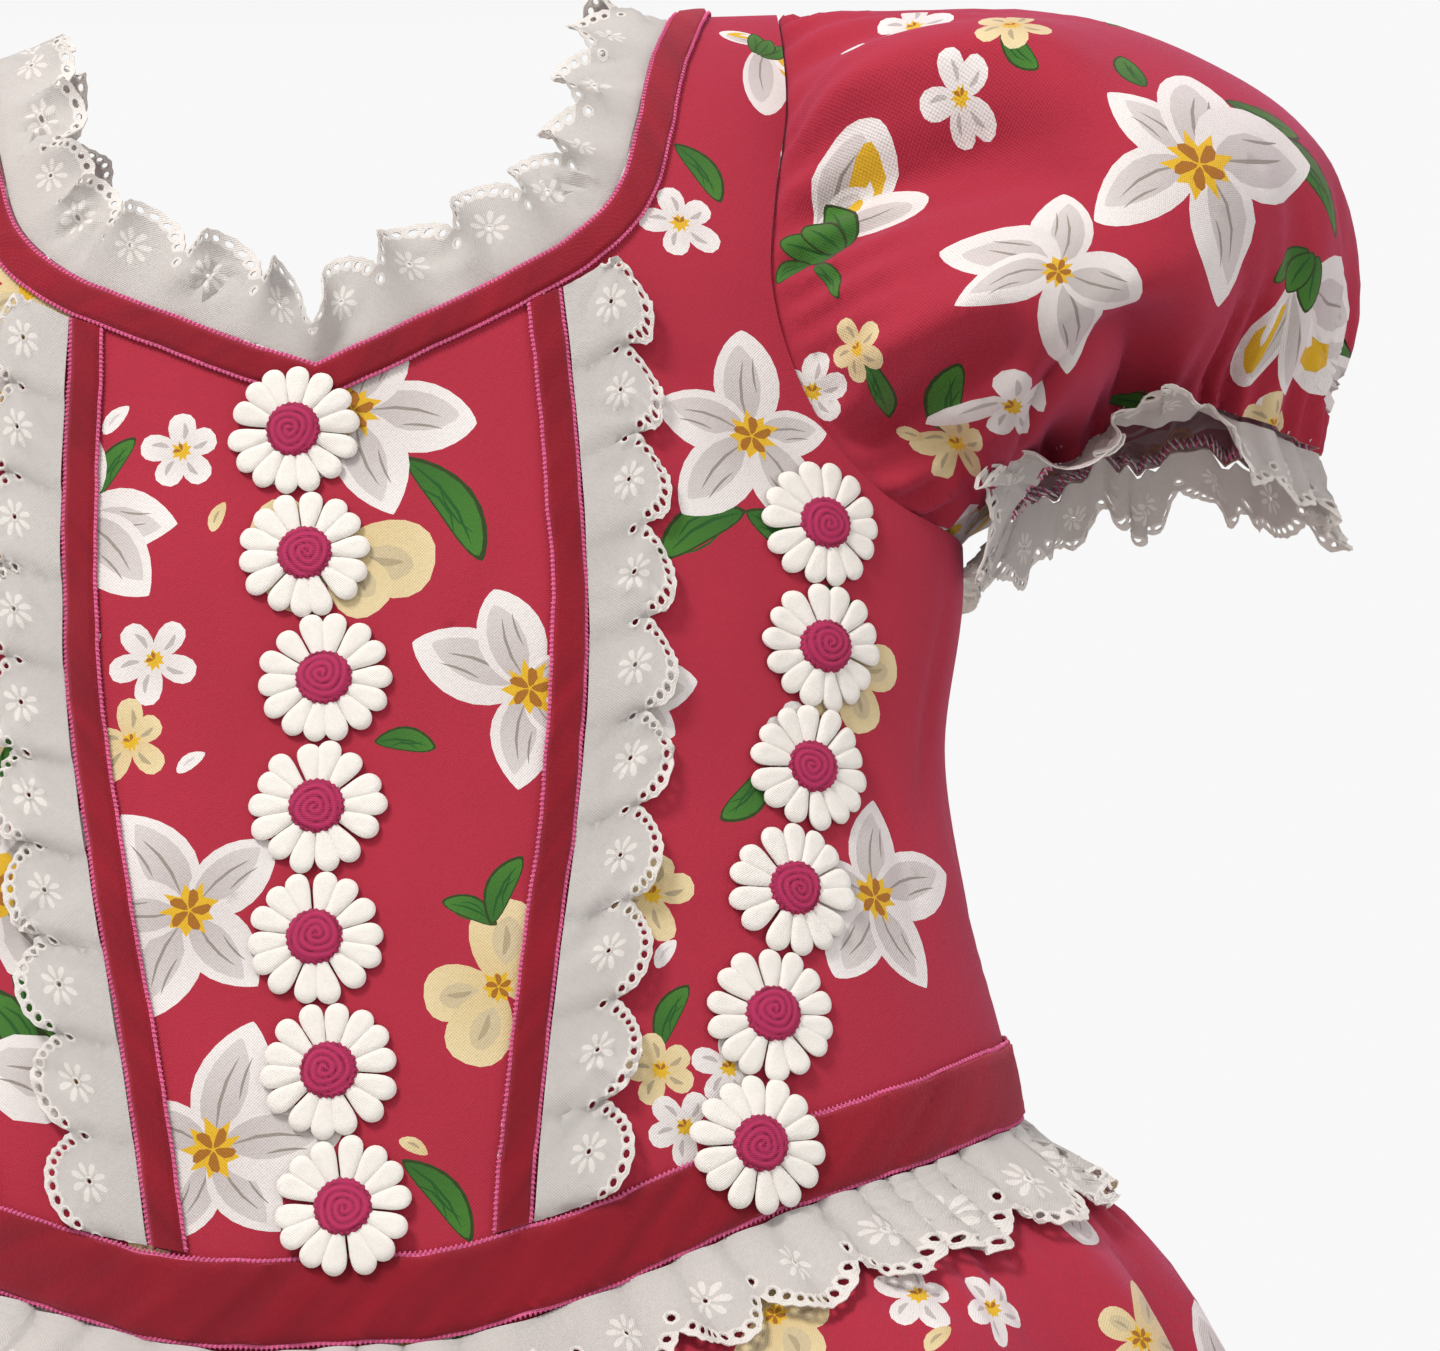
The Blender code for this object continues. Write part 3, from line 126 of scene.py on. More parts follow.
# Rows of distance from the middle and height under the shoulder line
FRONT_NECK = np.array([
    (0.000, 0.088), (0.021, 0.079), (0.037, 0.071), (0.050, 0.0635),
    (0.060, 0.053), (0.0655, 0.036), (0.070, 0.016), (0.0755, 0.000),
])
BACK_NECK = np.array([
    (0.000, 0.067), (0.025, 0.066), (0.046, 0.061), (0.061, 0.051),
    (0.069, 0.036), (0.073, 0.017), (0.0755, 0.000),
])
PRINCESS = np.array([
    (0.0450, 0.0665), (0.0470, 0.107), (0.0475, 0.130), (0.0460, 0.158),
    (0.0430, 0.182), (0.0385, 0.209), (0.0345, 0.235), (0.0305, 0.2675),
])
FRONT_ARMHOLE = np.array([
    (0.0970, 0.000), (0.0965, 0.031), (0.0930, 0.051), (0.0910, 0.072),
    (0.0945, 0.090), (0.1020, 0.1055), (0.1135, 0.1165), (0.1270, 0.1210),
])
BACK_ARMHOLE = np.array([
    (0.0970, 0.000), (0.0960, 0.031), (0.0945, 0.055), (0.0940, 0.080),
    (0.0985, 0.097), (0.1065, 0.1110), (0.1160, 0.1178), (0.1270, 0.1210),
])
# Rows of girth angle from the centre front, and height of the waist seam
WAIST = np.array([
    (0.0, 0.2700), (8.0, 0.2698), (13.0, 0.2680), (22.0, 0.2625), (31.0, 0.2555),
    (44.0, 0.2475), (56.0, 0.2425), (67.0, 0.2380), (90.0, 0.2325), (130.0, 0.2330),
    (180.0, 0.2360),
])
print("cut lines", len(FRONT_NECK), len(PRINCESS), len(FRONT_ARMHOLE), len(WAIST))

# %% Curves through tables
def smooth(rows, column, at):
    """The given column of a table at these values of its first column, as one curve."""
    xs, ys = rows[:, 0], rows[:, column]
    at = np.clip(at, xs[0], xs[-1])
    slopes = np.gradient(ys, xs)
    i = np.clip(np.searchsorted(xs, at) - 1, 0, len(xs) - 2)
    step = xs[i + 1] - xs[i]
    t = (at - xs[i]) / step
    return (
        (2 * t**3 - 3 * t**2 + 1) * ys[i] + (t**3 - 2 * t**2 + t) * step * slopes[i]
        + (3 * t**2 - 2 * t**3) * ys[i + 1] + (t**3 - t**2) * step * slopes[i + 1]
    )


def ease(t):
    """0 to 1, level at both ends."""
    t = np.clip(t, 0.0, 1.0)
    return t * t * (3 - 2 * t)


def shoulder_profile(count=400):
    """Rows of length down the cloth, height and share of depth over the shoulder."""
    turn = np.linspace(0.0, math.pi / 2, count)
    high, deep = SHOULDER_DROP * (1 - np.cos(turn)), np.sin(turn)
    steps = np.hypot(np.diff(high), SHOULDER_DEEP * np.diff(deep))
    return np.column_stack([np.concatenate([[0], np.cumsum(steps)]), high, deep])


PROFILE = shoulder_profile()
ROUND_LENGTH = PROFILE[-1, 0]
print("shoulder rounds off over", round(float(ROUND_LENGTH) * 1000), "mm of cloth")

# %% The bodice
def height_at(length):
    """Height under the shoulder line after this length down the cloth."""
    over = np.interp(length, PROFILE[:, 0], PROFILE[:, 1])
    return np.where(length > ROUND_LENGTH, SHOULDER_DROP + length - ROUND_LENGTH, over)


def length_at(height):
    """Length down the cloth at this height under the shoulder line."""
    over = np.interp(height, PROFILE[:, 1], PROFILE[:, 0])
    return np.where(height > SHOULDER_DROP, ROUND_LENGTH + height - SHOULDER_DROP, over)


# Soft troughs and ridges of the worn cloth: rows of girth angle in degrees, length down
# the cloth, half width and half length, lean from upright in degrees, and depth
BODICE_CREASES = np.array([
    (9.0, 0.200, 0.0060, 0.0300, 12.0, 0.0007), (13.0, 0.150, 0.0050, 0.0240, -15.0, -0.0005),
    (24.0, 0.160, 0.0050, 0.0220, 20.0, 0.0007), (31.0, 0.225, 0.0055, 0.0260, 35.0, 0.0010),
    (38.0, 0.120, 0.0060, 0.0260, 48.0, 0.0012), (45.0, 0.165, 0.0060, 0.0280, 24.0, 0.0010),
    (52.0, 0.225, 0.0050, 0.0200, 40.0, -0.0010), (62.0, 0.205, 0.0055, 0.0240, 22.0, 0.0013),
    (75.0, 0.180, 0.0055, 0.0260, -12.0, 0.0012), (88.0, 0.225, 0.0050, 0.0220, 15.0, 0.0012),
    (105.0, 0.190, 0.0060, 0.0280, -18.0, 0.0012), (124.0, 0.215, 0.0060, 0.0240, 20.0, 0.0011),
    (140.0, 0.160, 0.0070, 0.0300, -26.0, 0.0010), (155.0, 0.215, 0.0060, 0.0220, 12.0, 0.0009),
])
BODY_WIDE = 0.126
CREASE_ROWS = BODICE_CREASES * (math.radians(1) * BODY_WIDE, 1, 1, 1, 1, 1)


def crease_depth(rows, x, y):
    """How far soft creases move the cloth outwards at these places of the pattern."""
    moved = 0.0 * x
    for middle_x, middle_y, half_x, half_y, lean, deep in rows:
        cos, sin = math.cos(math.radians(lean)), math.sin(math.radians(lean))
        dx, dy = x - middle_x, y - middle_y
        across, along = dx * cos - dy * sin, dx * sin + dy * cos
        bent = across + along**2 / (6 * half_y)
        moved = moved - deep * np.exp(-((bent / half_x) ** 2) - (along / half_y) ** 2)
    return moved


def bodice(girth, length):
    """Point of the bodice's inner face, by girth angle from the centre front."""
    girth, length = np.broadcast_arrays(np.asarray(girth, float), length)
    down = np.abs(length)
    height = height_at(down)
    share = np.sign(length) * np.interp(down, PROFILE[:, 0], PROFILE[:, 2])
    front = np.cos(girth) >= 0
    depth = np.where(front, smooth(LEVELS, 2, height), smooth(LEVELS, 3, height))
    wide = smooth(LEVELS, 1, height)
    out = np.stack([np.sin(girth) / wide, -np.cos(girth) / depth], axis=-1)
    out /= np.linalg.norm(out, axis=-1, keepdims=True)
    creased = crease_depth(CREASE_ROWS, np.abs(girth) * BODY_WIDE, down)
    level = np.stack([wide * np.sin(girth), -depth * share * np.cos(girth)], axis=-1)
    level = level + out * (creased * np.clip(np.abs(share), 0, 1))[..., None]
    return np.concatenate([level, -height[..., None]], axis=-1)


def outward(surface, u, v, reach=2e-5):
    """Unit normals of a surface, pointing away from the wearer."""
    across = surface(u + reach, v) - surface(u - reach, v)
    along = surface(u, v + reach) - surface(u, v - reach)
    normal = np.cross(across, along)
    normal /= np.linalg.norm(normal, axis=-1, keepdims=True)
    point = surface(u, v)
    away = point * (0.3, 1.0, 0.0) + (0.0, 0.0, 0.03)
    facing = np.sign((normal * away).sum(axis=-1, keepdims=True))
    return normal * facing


print("soft creases on the bodice", len(BODICE_CREASES))

# %% From the front view to the cloth
def waist_height(girth):
    """Height of the waist seam at this girth angle."""
    around = np.degrees(np.abs((np.asarray(girth) + math.pi) % (2 * math.pi) - math.pi))
    return smooth(WAIST, 1, around)


def girth_of(x, height, back=False):
    """Girth angle of a point at this distance from the middle."""
    angle = np.arcsin(np.clip(x / smooth(LEVELS, 1, height), -1, 1))
    return math.pi - angle if back else angle


def curve_through(points, count=200):
    """A smooth line through points, evenly divided."""
    points = np.asarray(points, float)
    steps = np.linalg.norm(np.diff(points, axis=0), axis=1)
    rows = np.column_stack([np.concatenate([[0], np.cumsum(steps)]), points])
    at = np.linspace(0, rows[-1, 0], count)
    return np.column_stack([smooth(rows, i + 1, at) for i in range(points.shape[1])])


def cut_line(rows, back=False):
    """A cut's line as girth angles and lengths down the cloth."""
    line = curve_through(rows)
    height = np.clip(line[:, 1], 0, None)
    return np.column_stack([girth_of(line[:, 0], height, back), length_at(height)])


def divided(line, count):
    """A line of girth angles and lengths, divided evenly by its length on the cloth."""
    points = bodice(line[:, 0], line[:, 1])
    steps = np.linalg.norm(np.diff(points, axis=0), axis=1)
    run = np.concatenate([[0], np.cumsum(steps)])
    at = np.linspace(0, run[-1], count)
    return np.column_stack([np.interp(at, run, line[:, i]) for i in (0, 1)])


print("bodice at the bust", np.round(bodice(np.array([0.0, math.pi / 2]), 0.16), 3).tolist())

# %% Lines on the bodice
NECK_FRONT = cut_line(FRONT_NECK)
NECK_BACK = cut_line(BACK_NECK, back=True)
SEAM = cut_line(PRINCESS)
ARM_FRONT = cut_line(FRONT_ARMHOLE)
ARM_BACK = cut_line(BACK_ARMHOLE, back=True)
SIDE = math.pi / 2
ARM_FRONT[-1, 0] = ARM_BACK[-1, 0] = SIDE
HALF_GAP = SEAM_GAP / 2
# The same half gap as a girth angle, at the front and at the tighter side seam
GIRTH_GAP = 0.0015
SIDE_GIRTH_GAP = 0.0032
ARM_POINTS = 81
ARM_FRONT_EDGE = divided(ARM_FRONT, ARM_POINTS)
ARM_BACK_EDGE = divided(ARM_BACK, ARM_POINTS)


def neck_length(girth):
    """Length down the cloth to the front neckline at this girth angle."""
    return np.interp(np.abs(girth), NECK_FRONT[:, 0], NECK_FRONT[:, 1])


def seam_girth(length):
    """Girth angle of the princess seam at this length down the cloth."""
    return np.interp(length, SEAM[:, 1], SEAM[:, 0])


def waist_length(girth):
    """Length down the cloth to the waist seam at this girth angle."""
    return length_at(waist_height(girth))


def where_lines_meet(edge_length):
    """Girth angle at which the princess seam reaches an edge of the bodice."""
    girth = float(seam_girth(0.15))
    for _ in range(20):
        girth = float(seam_girth(edge_length(girth)))
    return girth


SEAM_TOP = where_lines_meet(neck_length)
SEAM_FOOT = where_lines_meet(waist_length)


print("armhole edges have", ARM_POINTS, "points each")

# %% Steps across the cloth
def across_cloth(line):
    """For a line on the cloth: its points, normals, and the way up from it."""
    point = bodice(line[:, 0], line[:, 1])
    normal = outward(bodice, line[:, 0], line[:, 1])
    run = np.gradient(point, axis=0)
    run /= np.linalg.norm(run, axis=1, keepdims=True)
    up = np.cross(normal, run)
    return point, normal, up / np.linalg.norm(up, axis=1, keepdims=True)


def slide(line, move):
    """The line moved over the cloth by vectors, as girth angles and lengths."""
    reach = 1e-5
    girth, length = line[:, 0], line[:, 1]
    by_girth = (bodice(girth + reach, length) - bodice(girth - reach, length)) / (2 * reach)
    by_length = (bodice(girth, length + reach) - bodice(girth, length - reach)) / (2 * reach)
    gg, ll = (by_girth**2).sum(1), (by_length**2).sum(1)
    gl = (by_girth * by_length).sum(1)
    mg, ml = (move * by_girth).sum(1), (move * by_length).sum(1)
    det = gg * ll - gl**2
    return line + np.column_stack([(mg * ll - ml * gl) / det, (ml * gg - mg * gl) / det])


def under_neck_ribbon(girth):
    """Length down the cloth at which a trim starts below the neck ribbon."""
    reach = 1e-3
    rise = (neck_length(girth + reach) - neck_length(girth - reach)) / (2 * reach)
    run = smooth(LEVELS, 1, height_at(neck_length(girth))) * np.cos(girth)
    return neck_length(girth) + NECK_RIBBON_WIDE * np.hypot(1, rise / run) + SEAM_GAP


def over_waistband(girth):
    """Length down the cloth at which a trim ends above the waistband."""
    return waist_length(girth) - WAIST_RIBBON_WIDE / 2 - SEAM_GAP * 2


def beside_seam(reach, share):
    """Girths and lengths at these distances outwards of the princess seam.

    The share runs from the neck ribbon to the waistband.
    """
    girth = np.broadcast_to([[SEAM_TOP, SEAM_FOOT]], (len(reach), 2))
    for _ in range(6):
        top, foot = under_neck_ribbon(girth[:, :1]), over_waistband(girth[:, -1:])
        length = top * (1 - share) + foot * share
        seam = seam_girth(length)
        girth = seam + reach / (smooth(LEVELS, 1, height_at(length)) * np.cos(seam))
    return girth, length


def top_layer(girth, length):
    """Height over the bodice's inner face of the ribbon or cloth that a trim lies on."""
    below_neck = length - neck_length(girth)
    over_neck = 1 - ease((below_neck - NECK_RIBBON_WIDE - STEP_START) / STEP_RUN)
    from_waist = np.abs(length - waist_length(girth))
    over_waist = 1 - ease((from_waist - WAIST_RIBBON_WIDE / 2 - STEP_START) / STEP_RUN)
    return PANEL_THICK + (RIBBON_TOP - PANEL_THICK) * np.maximum(over_neck, over_waist)


print("princess seam from", round(math.degrees(SEAM_TOP)), "to", round(math.degrees(SEAM_FOOT)), "degrees")

# %% [markdown]
# ## Printed cotton as a flat pattern
#
# A real dress is cut from flat cloth, and its print is on the cloth before it is cut. So
# each panel here starts as a flat outline in metres, with a function that says where each
# place of the pattern ends up on the worn dress. The print is drawn into that flat outline
# as closed rings: petals, leaves and stamens. A constrained triangulation then makes every
# ring's edge an edge of the mesh, and each triangle takes the colour of the topmost ring
# that covers it. That keeps the print sharp however near the camera comes, with no image.

# %% Pattern to cloth
TURNS = np.linspace(-math.pi, math.pi, 1441)


def arc_round(wide, deep):
    """Distance round an ellipse from the centre front, for each of the turns."""
    middle = (TURNS[1:] + TURNS[:-1]) / 2
    steps = np.hypot(wide * np.cos(middle), deep * np.sin(middle)) * np.diff(TURNS)
    arc = np.concatenate([[0], np.cumsum(steps)])
    return arc - arc[len(arc) // 2]


BODY_ARC = arc_round(0.126, 0.053)
COTTON_LOW = 0.0007


def bodice_pattern(line):
    """Girth angles and lengths as places of the flat pattern."""
    return np.column_stack([np.interp(line[:, 0], TURNS, BODY_ARC), -line[:, 1]])


def bodice_at(flat):
    """Points and normals on the bodice of places of its pattern."""
    girth, length = np.interp(flat[:, 0], BODY_ARC, TURNS), -flat[:, 1]
    return bodice(girth, length), outward(bodice, girth, length)


def divided_ring(outline, step):
    """A closed outline divided anew, at most this far apart, with its corners kept."""
    points = []
    for start, end in zip(outline, np.roll(outline, -1, axis=0)):
        count = max(1, int(np.ceil(np.linalg.norm(end - start) / step)))
        points.append(np.linspace(start, end, count, endpoint=False))
    return np.concatenate(points)


def inside(outline, points):
    """Which points of the plane lie inside a closed outline."""
    ends = np.roll(outline, -1, axis=0)
    x, y = points[:, :1], points[:, 1:]
    spans = (outline[:, 1] > y) != (ends[:, 1] > y)
    rise = np.where(ends[:, 1] == outline[:, 1], 1.0, ends[:, 1] - outline[:, 1])
    crossing = outline[:, 0] + (y - outline[:, 1]) / rise * (ends[:, 0] - outline[:, 0])
    return (spans & (x < crossing)).sum(axis=1) % 2 == 1


def inside_many(outline, points, block=4000):
    """The same for many points, a block at a time."""
    parts = [inside(outline, points[i : i + block]) for i in range(0, len(points), block)]
    return np.concatenate(parts)


def staggered(low, high, step):
    """Evenly staggered points over a box."""
    rows = []
    for i, y in enumerate(np.arange(low[1], high[1], step * 0.87)):
        x = np.arange(low[0] + (i % 2) * step / 2, high[0], step)
        rows.append(np.column_stack([x, np.full(len(x), y)]))
    return np.concatenate(rows)


def triangulated(outline, rings, step, holes=(), extra=None):
    """Points and triangles of a flat outline, with every ring's sides as mesh edges."""
    fill = staggered(outline.min(axis=0), outline.max(axis=0), step)
    fill = fill if extra is None else np.concatenate([fill, extra])
    fill = fill[inside_many(outline, fill)]
    points = [outline, *holes, *rings]
    edges, first = [], 0
    for ring in points:
        count = len(ring)
        edges += [(first + i, first + (i + 1) % count) for i in range(count)]
        first += count
    flat = np.concatenate([*points, fill])
    kept, _, faces, *_ = delaunay_2d_cdt(
        [Vector(p) for p in flat.tolist()], edges, [], 0, 1e-7
    )
    kept = np.array([(p.x, p.y) for p in kept])
    faces = np.array([face for face in faces if len(face) == 3])
    middle = kept[faces].mean(axis=1)
    shown = inside_many(outline, middle)
    for hole in holes:
        shown &= ~inside_many(hole, middle)
    sides = kept[faces[:, 1:]] - kept[faces[:, :1]]
    area = sides[:, 0, 0] * sides[:, 1, 1] - sides[:, 0, 1] * sides[:, 1, 0]
    shown &= np.abs(area) > 1e-12
    faces = np.where((area < 0)[:, None], faces[:, ::-1], faces)[shown]
    used, faces = np.unique(faces, return_inverse=True)
    return kept[used], faces.reshape(-1, 3)


print("round the chest", round(float(BODY_ARC[-1] * 2) * 1000), "mm")

# %% [markdown]
# ## The print
#
# The print has white blooms about 50 mm across with five pointed petals and a ragged
# yellow middle, cream blooms with round petals, small blossoms, loose petals, and green
# leaves with a dark outline. Each is drawn from the same petal outline, in its own size,
# from where its middle and its petal tips lie. A stamp is one ring with a colour at its
# root and one at its tip. Stamps later in the list lie on top.

# %% Colours of the print
GROUND = (158, 37, 55)
WHITE, WHITE_ROOT = (216, 210, 207), (200, 192, 189)
SHADE, SHADE_ROOT = (194, 186, 183), (172, 163, 160)
STREAK = (136, 128, 120)
CREAM, CREAM_ROOT = (207, 189, 148), (195, 172, 125)
CREAM_SHADE, CREAM_STREAK = (186, 170, 136), (160, 145, 115)
LEAF, LEAF_ROOT = (62, 112, 40), (46, 92, 34)
LEAF_EDGE, LEAF_VEIN = (44, 60, 24), (30, 80, 30)
YELLOW, OCHRE = (202, 160, 36), (150, 96, 30)
print("cotton ground", GROUND)

# %% Petals and leaves
MM = 0.001


def petal_ring(root, tip, wide, point=0.62, bend=0.0, count=9):
    """Outline of a petal from its root round its tip, in the units of its ends."""
    root, tip = np.asarray(root, float), np.asarray(tip, float)
    share = (1 - np.cos(math.pi * np.arange(count + 1) / count)) / 2
    half = share**0.72 * (1 - share) ** point
    half *= wide / 2 / half.max()
    way = tip - root
    long = np.linalg.norm(way)
    way = way / long
    side = np.array([-way[1], way[0]])
    middle = root + np.outer(share * long, way) + np.outer(bend * long * np.sin(math.pi * share), side)
    left, right = middle + np.outer(half, side), middle - np.outer(half, side)
    return np.concatenate([left, right[-2:0:-1]])


def between(root, tip, start, end, aside, wide, point=0.6, bend=0.0, count=5):
    """A smaller petal shape on a petal, from one share of it to another, a little aside."""
    root, tip = np.asarray(root, float), np.asarray(tip, float)
    way = tip - root
    side = np.array([-way[1], way[0]]) * aside
    return petal_ring(root + way * start + side, root + way * end + side, wide, point, bend, count)


def stamp(ring, near, far=None, root=None, tip=None):
    """One ring of the print, with its colour near the root and its colour far from it."""
    root = ring[0] if root is None else root
    tip = ring[len(ring) // 2] if tip is None else tip
    return [np.asarray(ring), near, near if far is None else far, np.asarray(root), np.asarray(tip)]


def white_petal(root, tip, wide, point=0.62, side=1, bend=0.0):
    """A white petal: its outline, a soft grey oval and dark streaks."""
    return [
        stamp(petal_ring(root, tip, wide, point, bend, 12), WHITE_ROOT, WHITE),
        stamp(between(root, tip, 0.08, 0.86, 0.05 * side, wide * 0.56, point, bend, 8), SHADE_ROOT, SHADE),
        stamp(between(root, tip, 0.14, 0.72, 0.02 * side, wide * 0.045, 0.8, 0.08 * side), STREAK),
        stamp(between(root, tip, 0.40, 0.74, -0.08 * side, wide * 0.035, 0.8, 0.05 * side), STREAK),
    ]


def cream_petal(root, tip, wide, side=1):
    """A round cream petal with a greyish middle."""
    return [
        stamp(petal_ring(root, tip, wide, 0.42, 0, 10), CREAM_ROOT, CREAM),
        stamp(between(root, tip, 0.25, 0.80, 0.05 * side, wide * 0.45, 0.6, 0, 6), CREAM_SHADE),
        stamp(between(root, tip, 0.35, 0.70, 0.02 * side, wide * 0.10, 0.8, 0.08 * side), CREAM_STREAK),
    ]


def leaf(root, tip, wide, bend=0.08):
    """A green leaf with a dark outline and veins."""
    inner = between(root, tip, 0.04, 0.955, 0.0, wide * 0.84, 0.66, bend, 9)
    return [
        stamp(petal_ring(root, tip, wide, 0.66, bend, 10), LEAF_EDGE),
        stamp(inner, LEAF_ROOT, LEAF),
        stamp(between(root, tip, 0.06, 0.86, 0.00, wide * 0.09, 0.8, bend), LEAF_VEIN),
        stamp(between(root, tip, 0.24, 0.74, 0.07, wide * 0.07, 0.8, bend * 2), LEAF_VEIN),
        stamp(between(root, tip, 0.34, 0.80, -0.07, wide * 0.06, 0.8, -bend), LEAF_VEIN),
    ]


print("stamps in a petal", len(white_petal((0, 0), (0, 20), 10)))

# %% Blooms
def ragged(middle, reach, points, seed, near, far):
    """A ragged star, such as the stamens of a bloom."""
    draw = np.random.default_rng(seed)
    turn = 2 * math.pi * (np.arange(2 * points) + draw.uniform(-0.3, 0.3, 2 * points)) / (2 * points)
    far_out = np.where(np.arange(2 * points) % 2 == 0, 1.0, 0.60) * draw.uniform(0.84, 1.1, 2 * points)
    ring = middle + reach * far_out[:, None] * np.column_stack([np.cos(turn), np.sin(turn)])
    return stamp(ring, near, far, middle, ring[0])


# About a fifth of a turn, in radians
FIFTH = 1.257


def stamens(middle, reach, seed):
    """The yellow middle of a bloom, with ochre marks."""
    draw = np.random.default_rng(seed)
    marks = [ragged(middle, reach, 9, seed, YELLOW, YELLOW)]
    for turn in np.arange(5) * FIFTH + draw.uniform(0, 1):
        way = np.array([math.cos(turn), math.sin(turn)]) * reach
        mark = petal_ring(middle + way * 0.05, middle + way * 0.74, reach * 0.34, 0.5, 0.1, 4)
        marks.append(stamp(mark, OCHRE))
    return marks


def bloom(tips, wide=0.62, seed=1, middle=(0.0, 0.0), reach=0.24, cream=False):
    """A bloom round a middle: petals to these tips, each as wide as this share of its length."""
    middle = np.asarray(middle, float)
    stamps = []
    longest = max(np.linalg.norm(np.asarray(tip) - middle) for tip in tips)
    for i, tip in enumerate(tips):
        long = np.linalg.norm(np.asarray(tip) - middle)
        side = 1 if (i + seed) % 2 else -1
        if cream:
            stamps += cream_petal(middle, tip, long * (wide + 0.16), side)
        else:
            stamps += white_petal(middle, tip, long * wide, 0.72 + 0.06 * ((i * 3 + seed) % 4), side)
    return stamps + stamens(middle, longest * reach, seed)


def blossom(long, turn, petals=5, seed=1, cream=False):
    """A small blossom with a petal length, turned by an angle in degrees."""
    draw = np.random.default_rng(seed)
    stamps = []
    for i in range(petals):
        angle = math.radians(turn) + 2 * math.pi * (i + draw.uniform(-0.12, 0.12)) / petals
        tip = np.array([math.cos(angle), math.sin(angle)]) * long * draw.uniform(0.86, 1.1)
        near, far, mark = (CREAM_ROOT, CREAM, CREAM_STREAK) if cream else (WHITE_ROOT, WHITE, SHADE_ROOT)
        stamps.append(stamp(petal_ring((0, 0), tip, long * 0.66, 0.42, 0, 7), near, far))
        stamps.append(stamp(between((0, 0), tip, 0.3, 0.75, 0.05, long * 0.13, 0.8, 0.1, 4), mark))
    marks = stamens(np.zeros(2), long * 0.27, seed)
    return stamps + marks[:3]


def loose_petal(long, turn, cream=False):
    """A single fallen petal."""
    way = np.array([math.cos(math.radians(turn)), math.sin(math.radians(turn))]) * long / 2
    near, far, mark = (CREAM_ROOT, CREAM, CREAM_STREAK) if cream else (WHITE, WHITE, SHADE)
    return [
        stamp(petal_ring(-way, way, long * 0.46, 0.6, 0.06, 7), near, far),
        stamp(between(-way, way, 0.3, 0.75, 0.04, long * 0.10, 0.8, 0.1, 4), mark),
    ]


def bell(tips, calyx, wide=0.46):
    """A bloom from the side: petals fall from a green calyx, with yellow inside two."""
    stamps = []
    for i, tip in enumerate(tips):
        tip = np.asarray(tip, float)
        broad = np.linalg.norm(tip) * wide
        stamps += white_petal((0, 0), tip, broad, 0.60, 1 if i % 2 else -1)[:3]
        if i % 2 == 0:
            inside_it = between((0, 0), tip, 0.22, 0.84, 0.02, broad * 0.42, 0.6, 0.1, 6)
            middle_rib = between((0, 0), tip, 0.22, 0.60, 0.08, broad * 0.16, 0.6, 0.1, 4)
            stamps += [stamp(inside_it, YELLOW), stamp(middle_rib, WHITE)]
    calyx = np.asarray(calyx, float)
    side = np.array([-calyx[1], calyx[0]])
    for lean in (-0.75, 0.8, 0.0):
        root, tip = calyx * 0.95 + side * lean * 0.2, -calyx * 0.35 + side * lean
        stamps += leaf(root, tip, np.linalg.norm(calyx) * 0.8)[:3]
    return stamps


print("stamps in a bloom", len(bloom([(0, 20), (20, 0), (0, -20), (-20, 0)])))

# %% [markdown]
# ## Stamps on a pattern
#
# A bloom is drawn in millimetres of real cloth, right and up as it is worn. The pattern's
# own unit can be stretched against that, as a panel isn't an exact unrolling, so each bloom
# is turned into the pattern by the local frame of the place where it lies. Places on the
# panels that the view shows are given as they are seen from the front, by their distance
# from the middle and their height, and looked up on the cloth.

# %% Placing stamps
SEEN_REACH = 0.0025
SAME_FOLD = 0.010
# How far the yellow middle of a bloom reaches, as a share of its longest petal
BLOOM_REACH = {"bloom": 0.24, "cream": 0.2, "half": 0.14}


def local_frame(at, centre, reach=1e-4):
    """Matrix from metres on the worn cloth, right and up, to the pattern near a place."""
    point, normal = at(np.array([centre, centre + (reach, 0), centre + (0, reach)]))
    by_x, by_y = (point[1] - point[0]) / reach, (point[2] - point[0]) / reach
    upright = np.array([0.0, 0.0, 1.0]) if abs(normal[0, 2]) < 0.8 else by_y
    up = upright - normal[0] * (upright @ normal[0])
    up /= np.linalg.norm(up)
    right = np.cross(up, normal[0]) * -1
    return np.linalg.inv(np.array([[right @ by_x, right @ by_y], [up @ by_x, up @ by_y]]))


def seen_places(at, outline, step=0.0015):
    """Places of a pattern that face the front, with where they are seen, for look up."""
    grid = staggered(outline.min(axis=0), outline.max(axis=0), step)
    point, normal = at(grid)
    front = normal[:, 1] < 0.25
    return grid[front], point[front]


def find(seen, x, z):
    """The foremost place of the pattern that is seen here, in millimetres."""
    grid, spots = seen
    away = np.hypot(spots[:, 0] - x * MM, spots[:, 2] - z * MM)
    near = np.flatnonzero(away < max(SEEN_REACH, away.min() * 1.3))
    foremost = near[np.argmin(spots[near, 1])]
    near = near[np.linalg.norm(grid[near] - grid[foremost], axis=1) < SAME_FOLD]
    nearest = near[np.argsort(away[near])[:6]]
    weight = 1 / (away[nearest] ** 2 + 1e-10)
    return (grid[nearest] * weight[:, None]).sum(axis=0) / weight.sum()


def moved_stamps(stamps, matrix, centre):
    """Stamps in millimetres, turned into a pattern round a centre."""
    def turn(points):
        return np.asarray(points) * MM @ matrix.T + centre
    return [[turn(ring), near, far, turn(root), turn(tip)] for ring, near, far, root, tip in stamps]


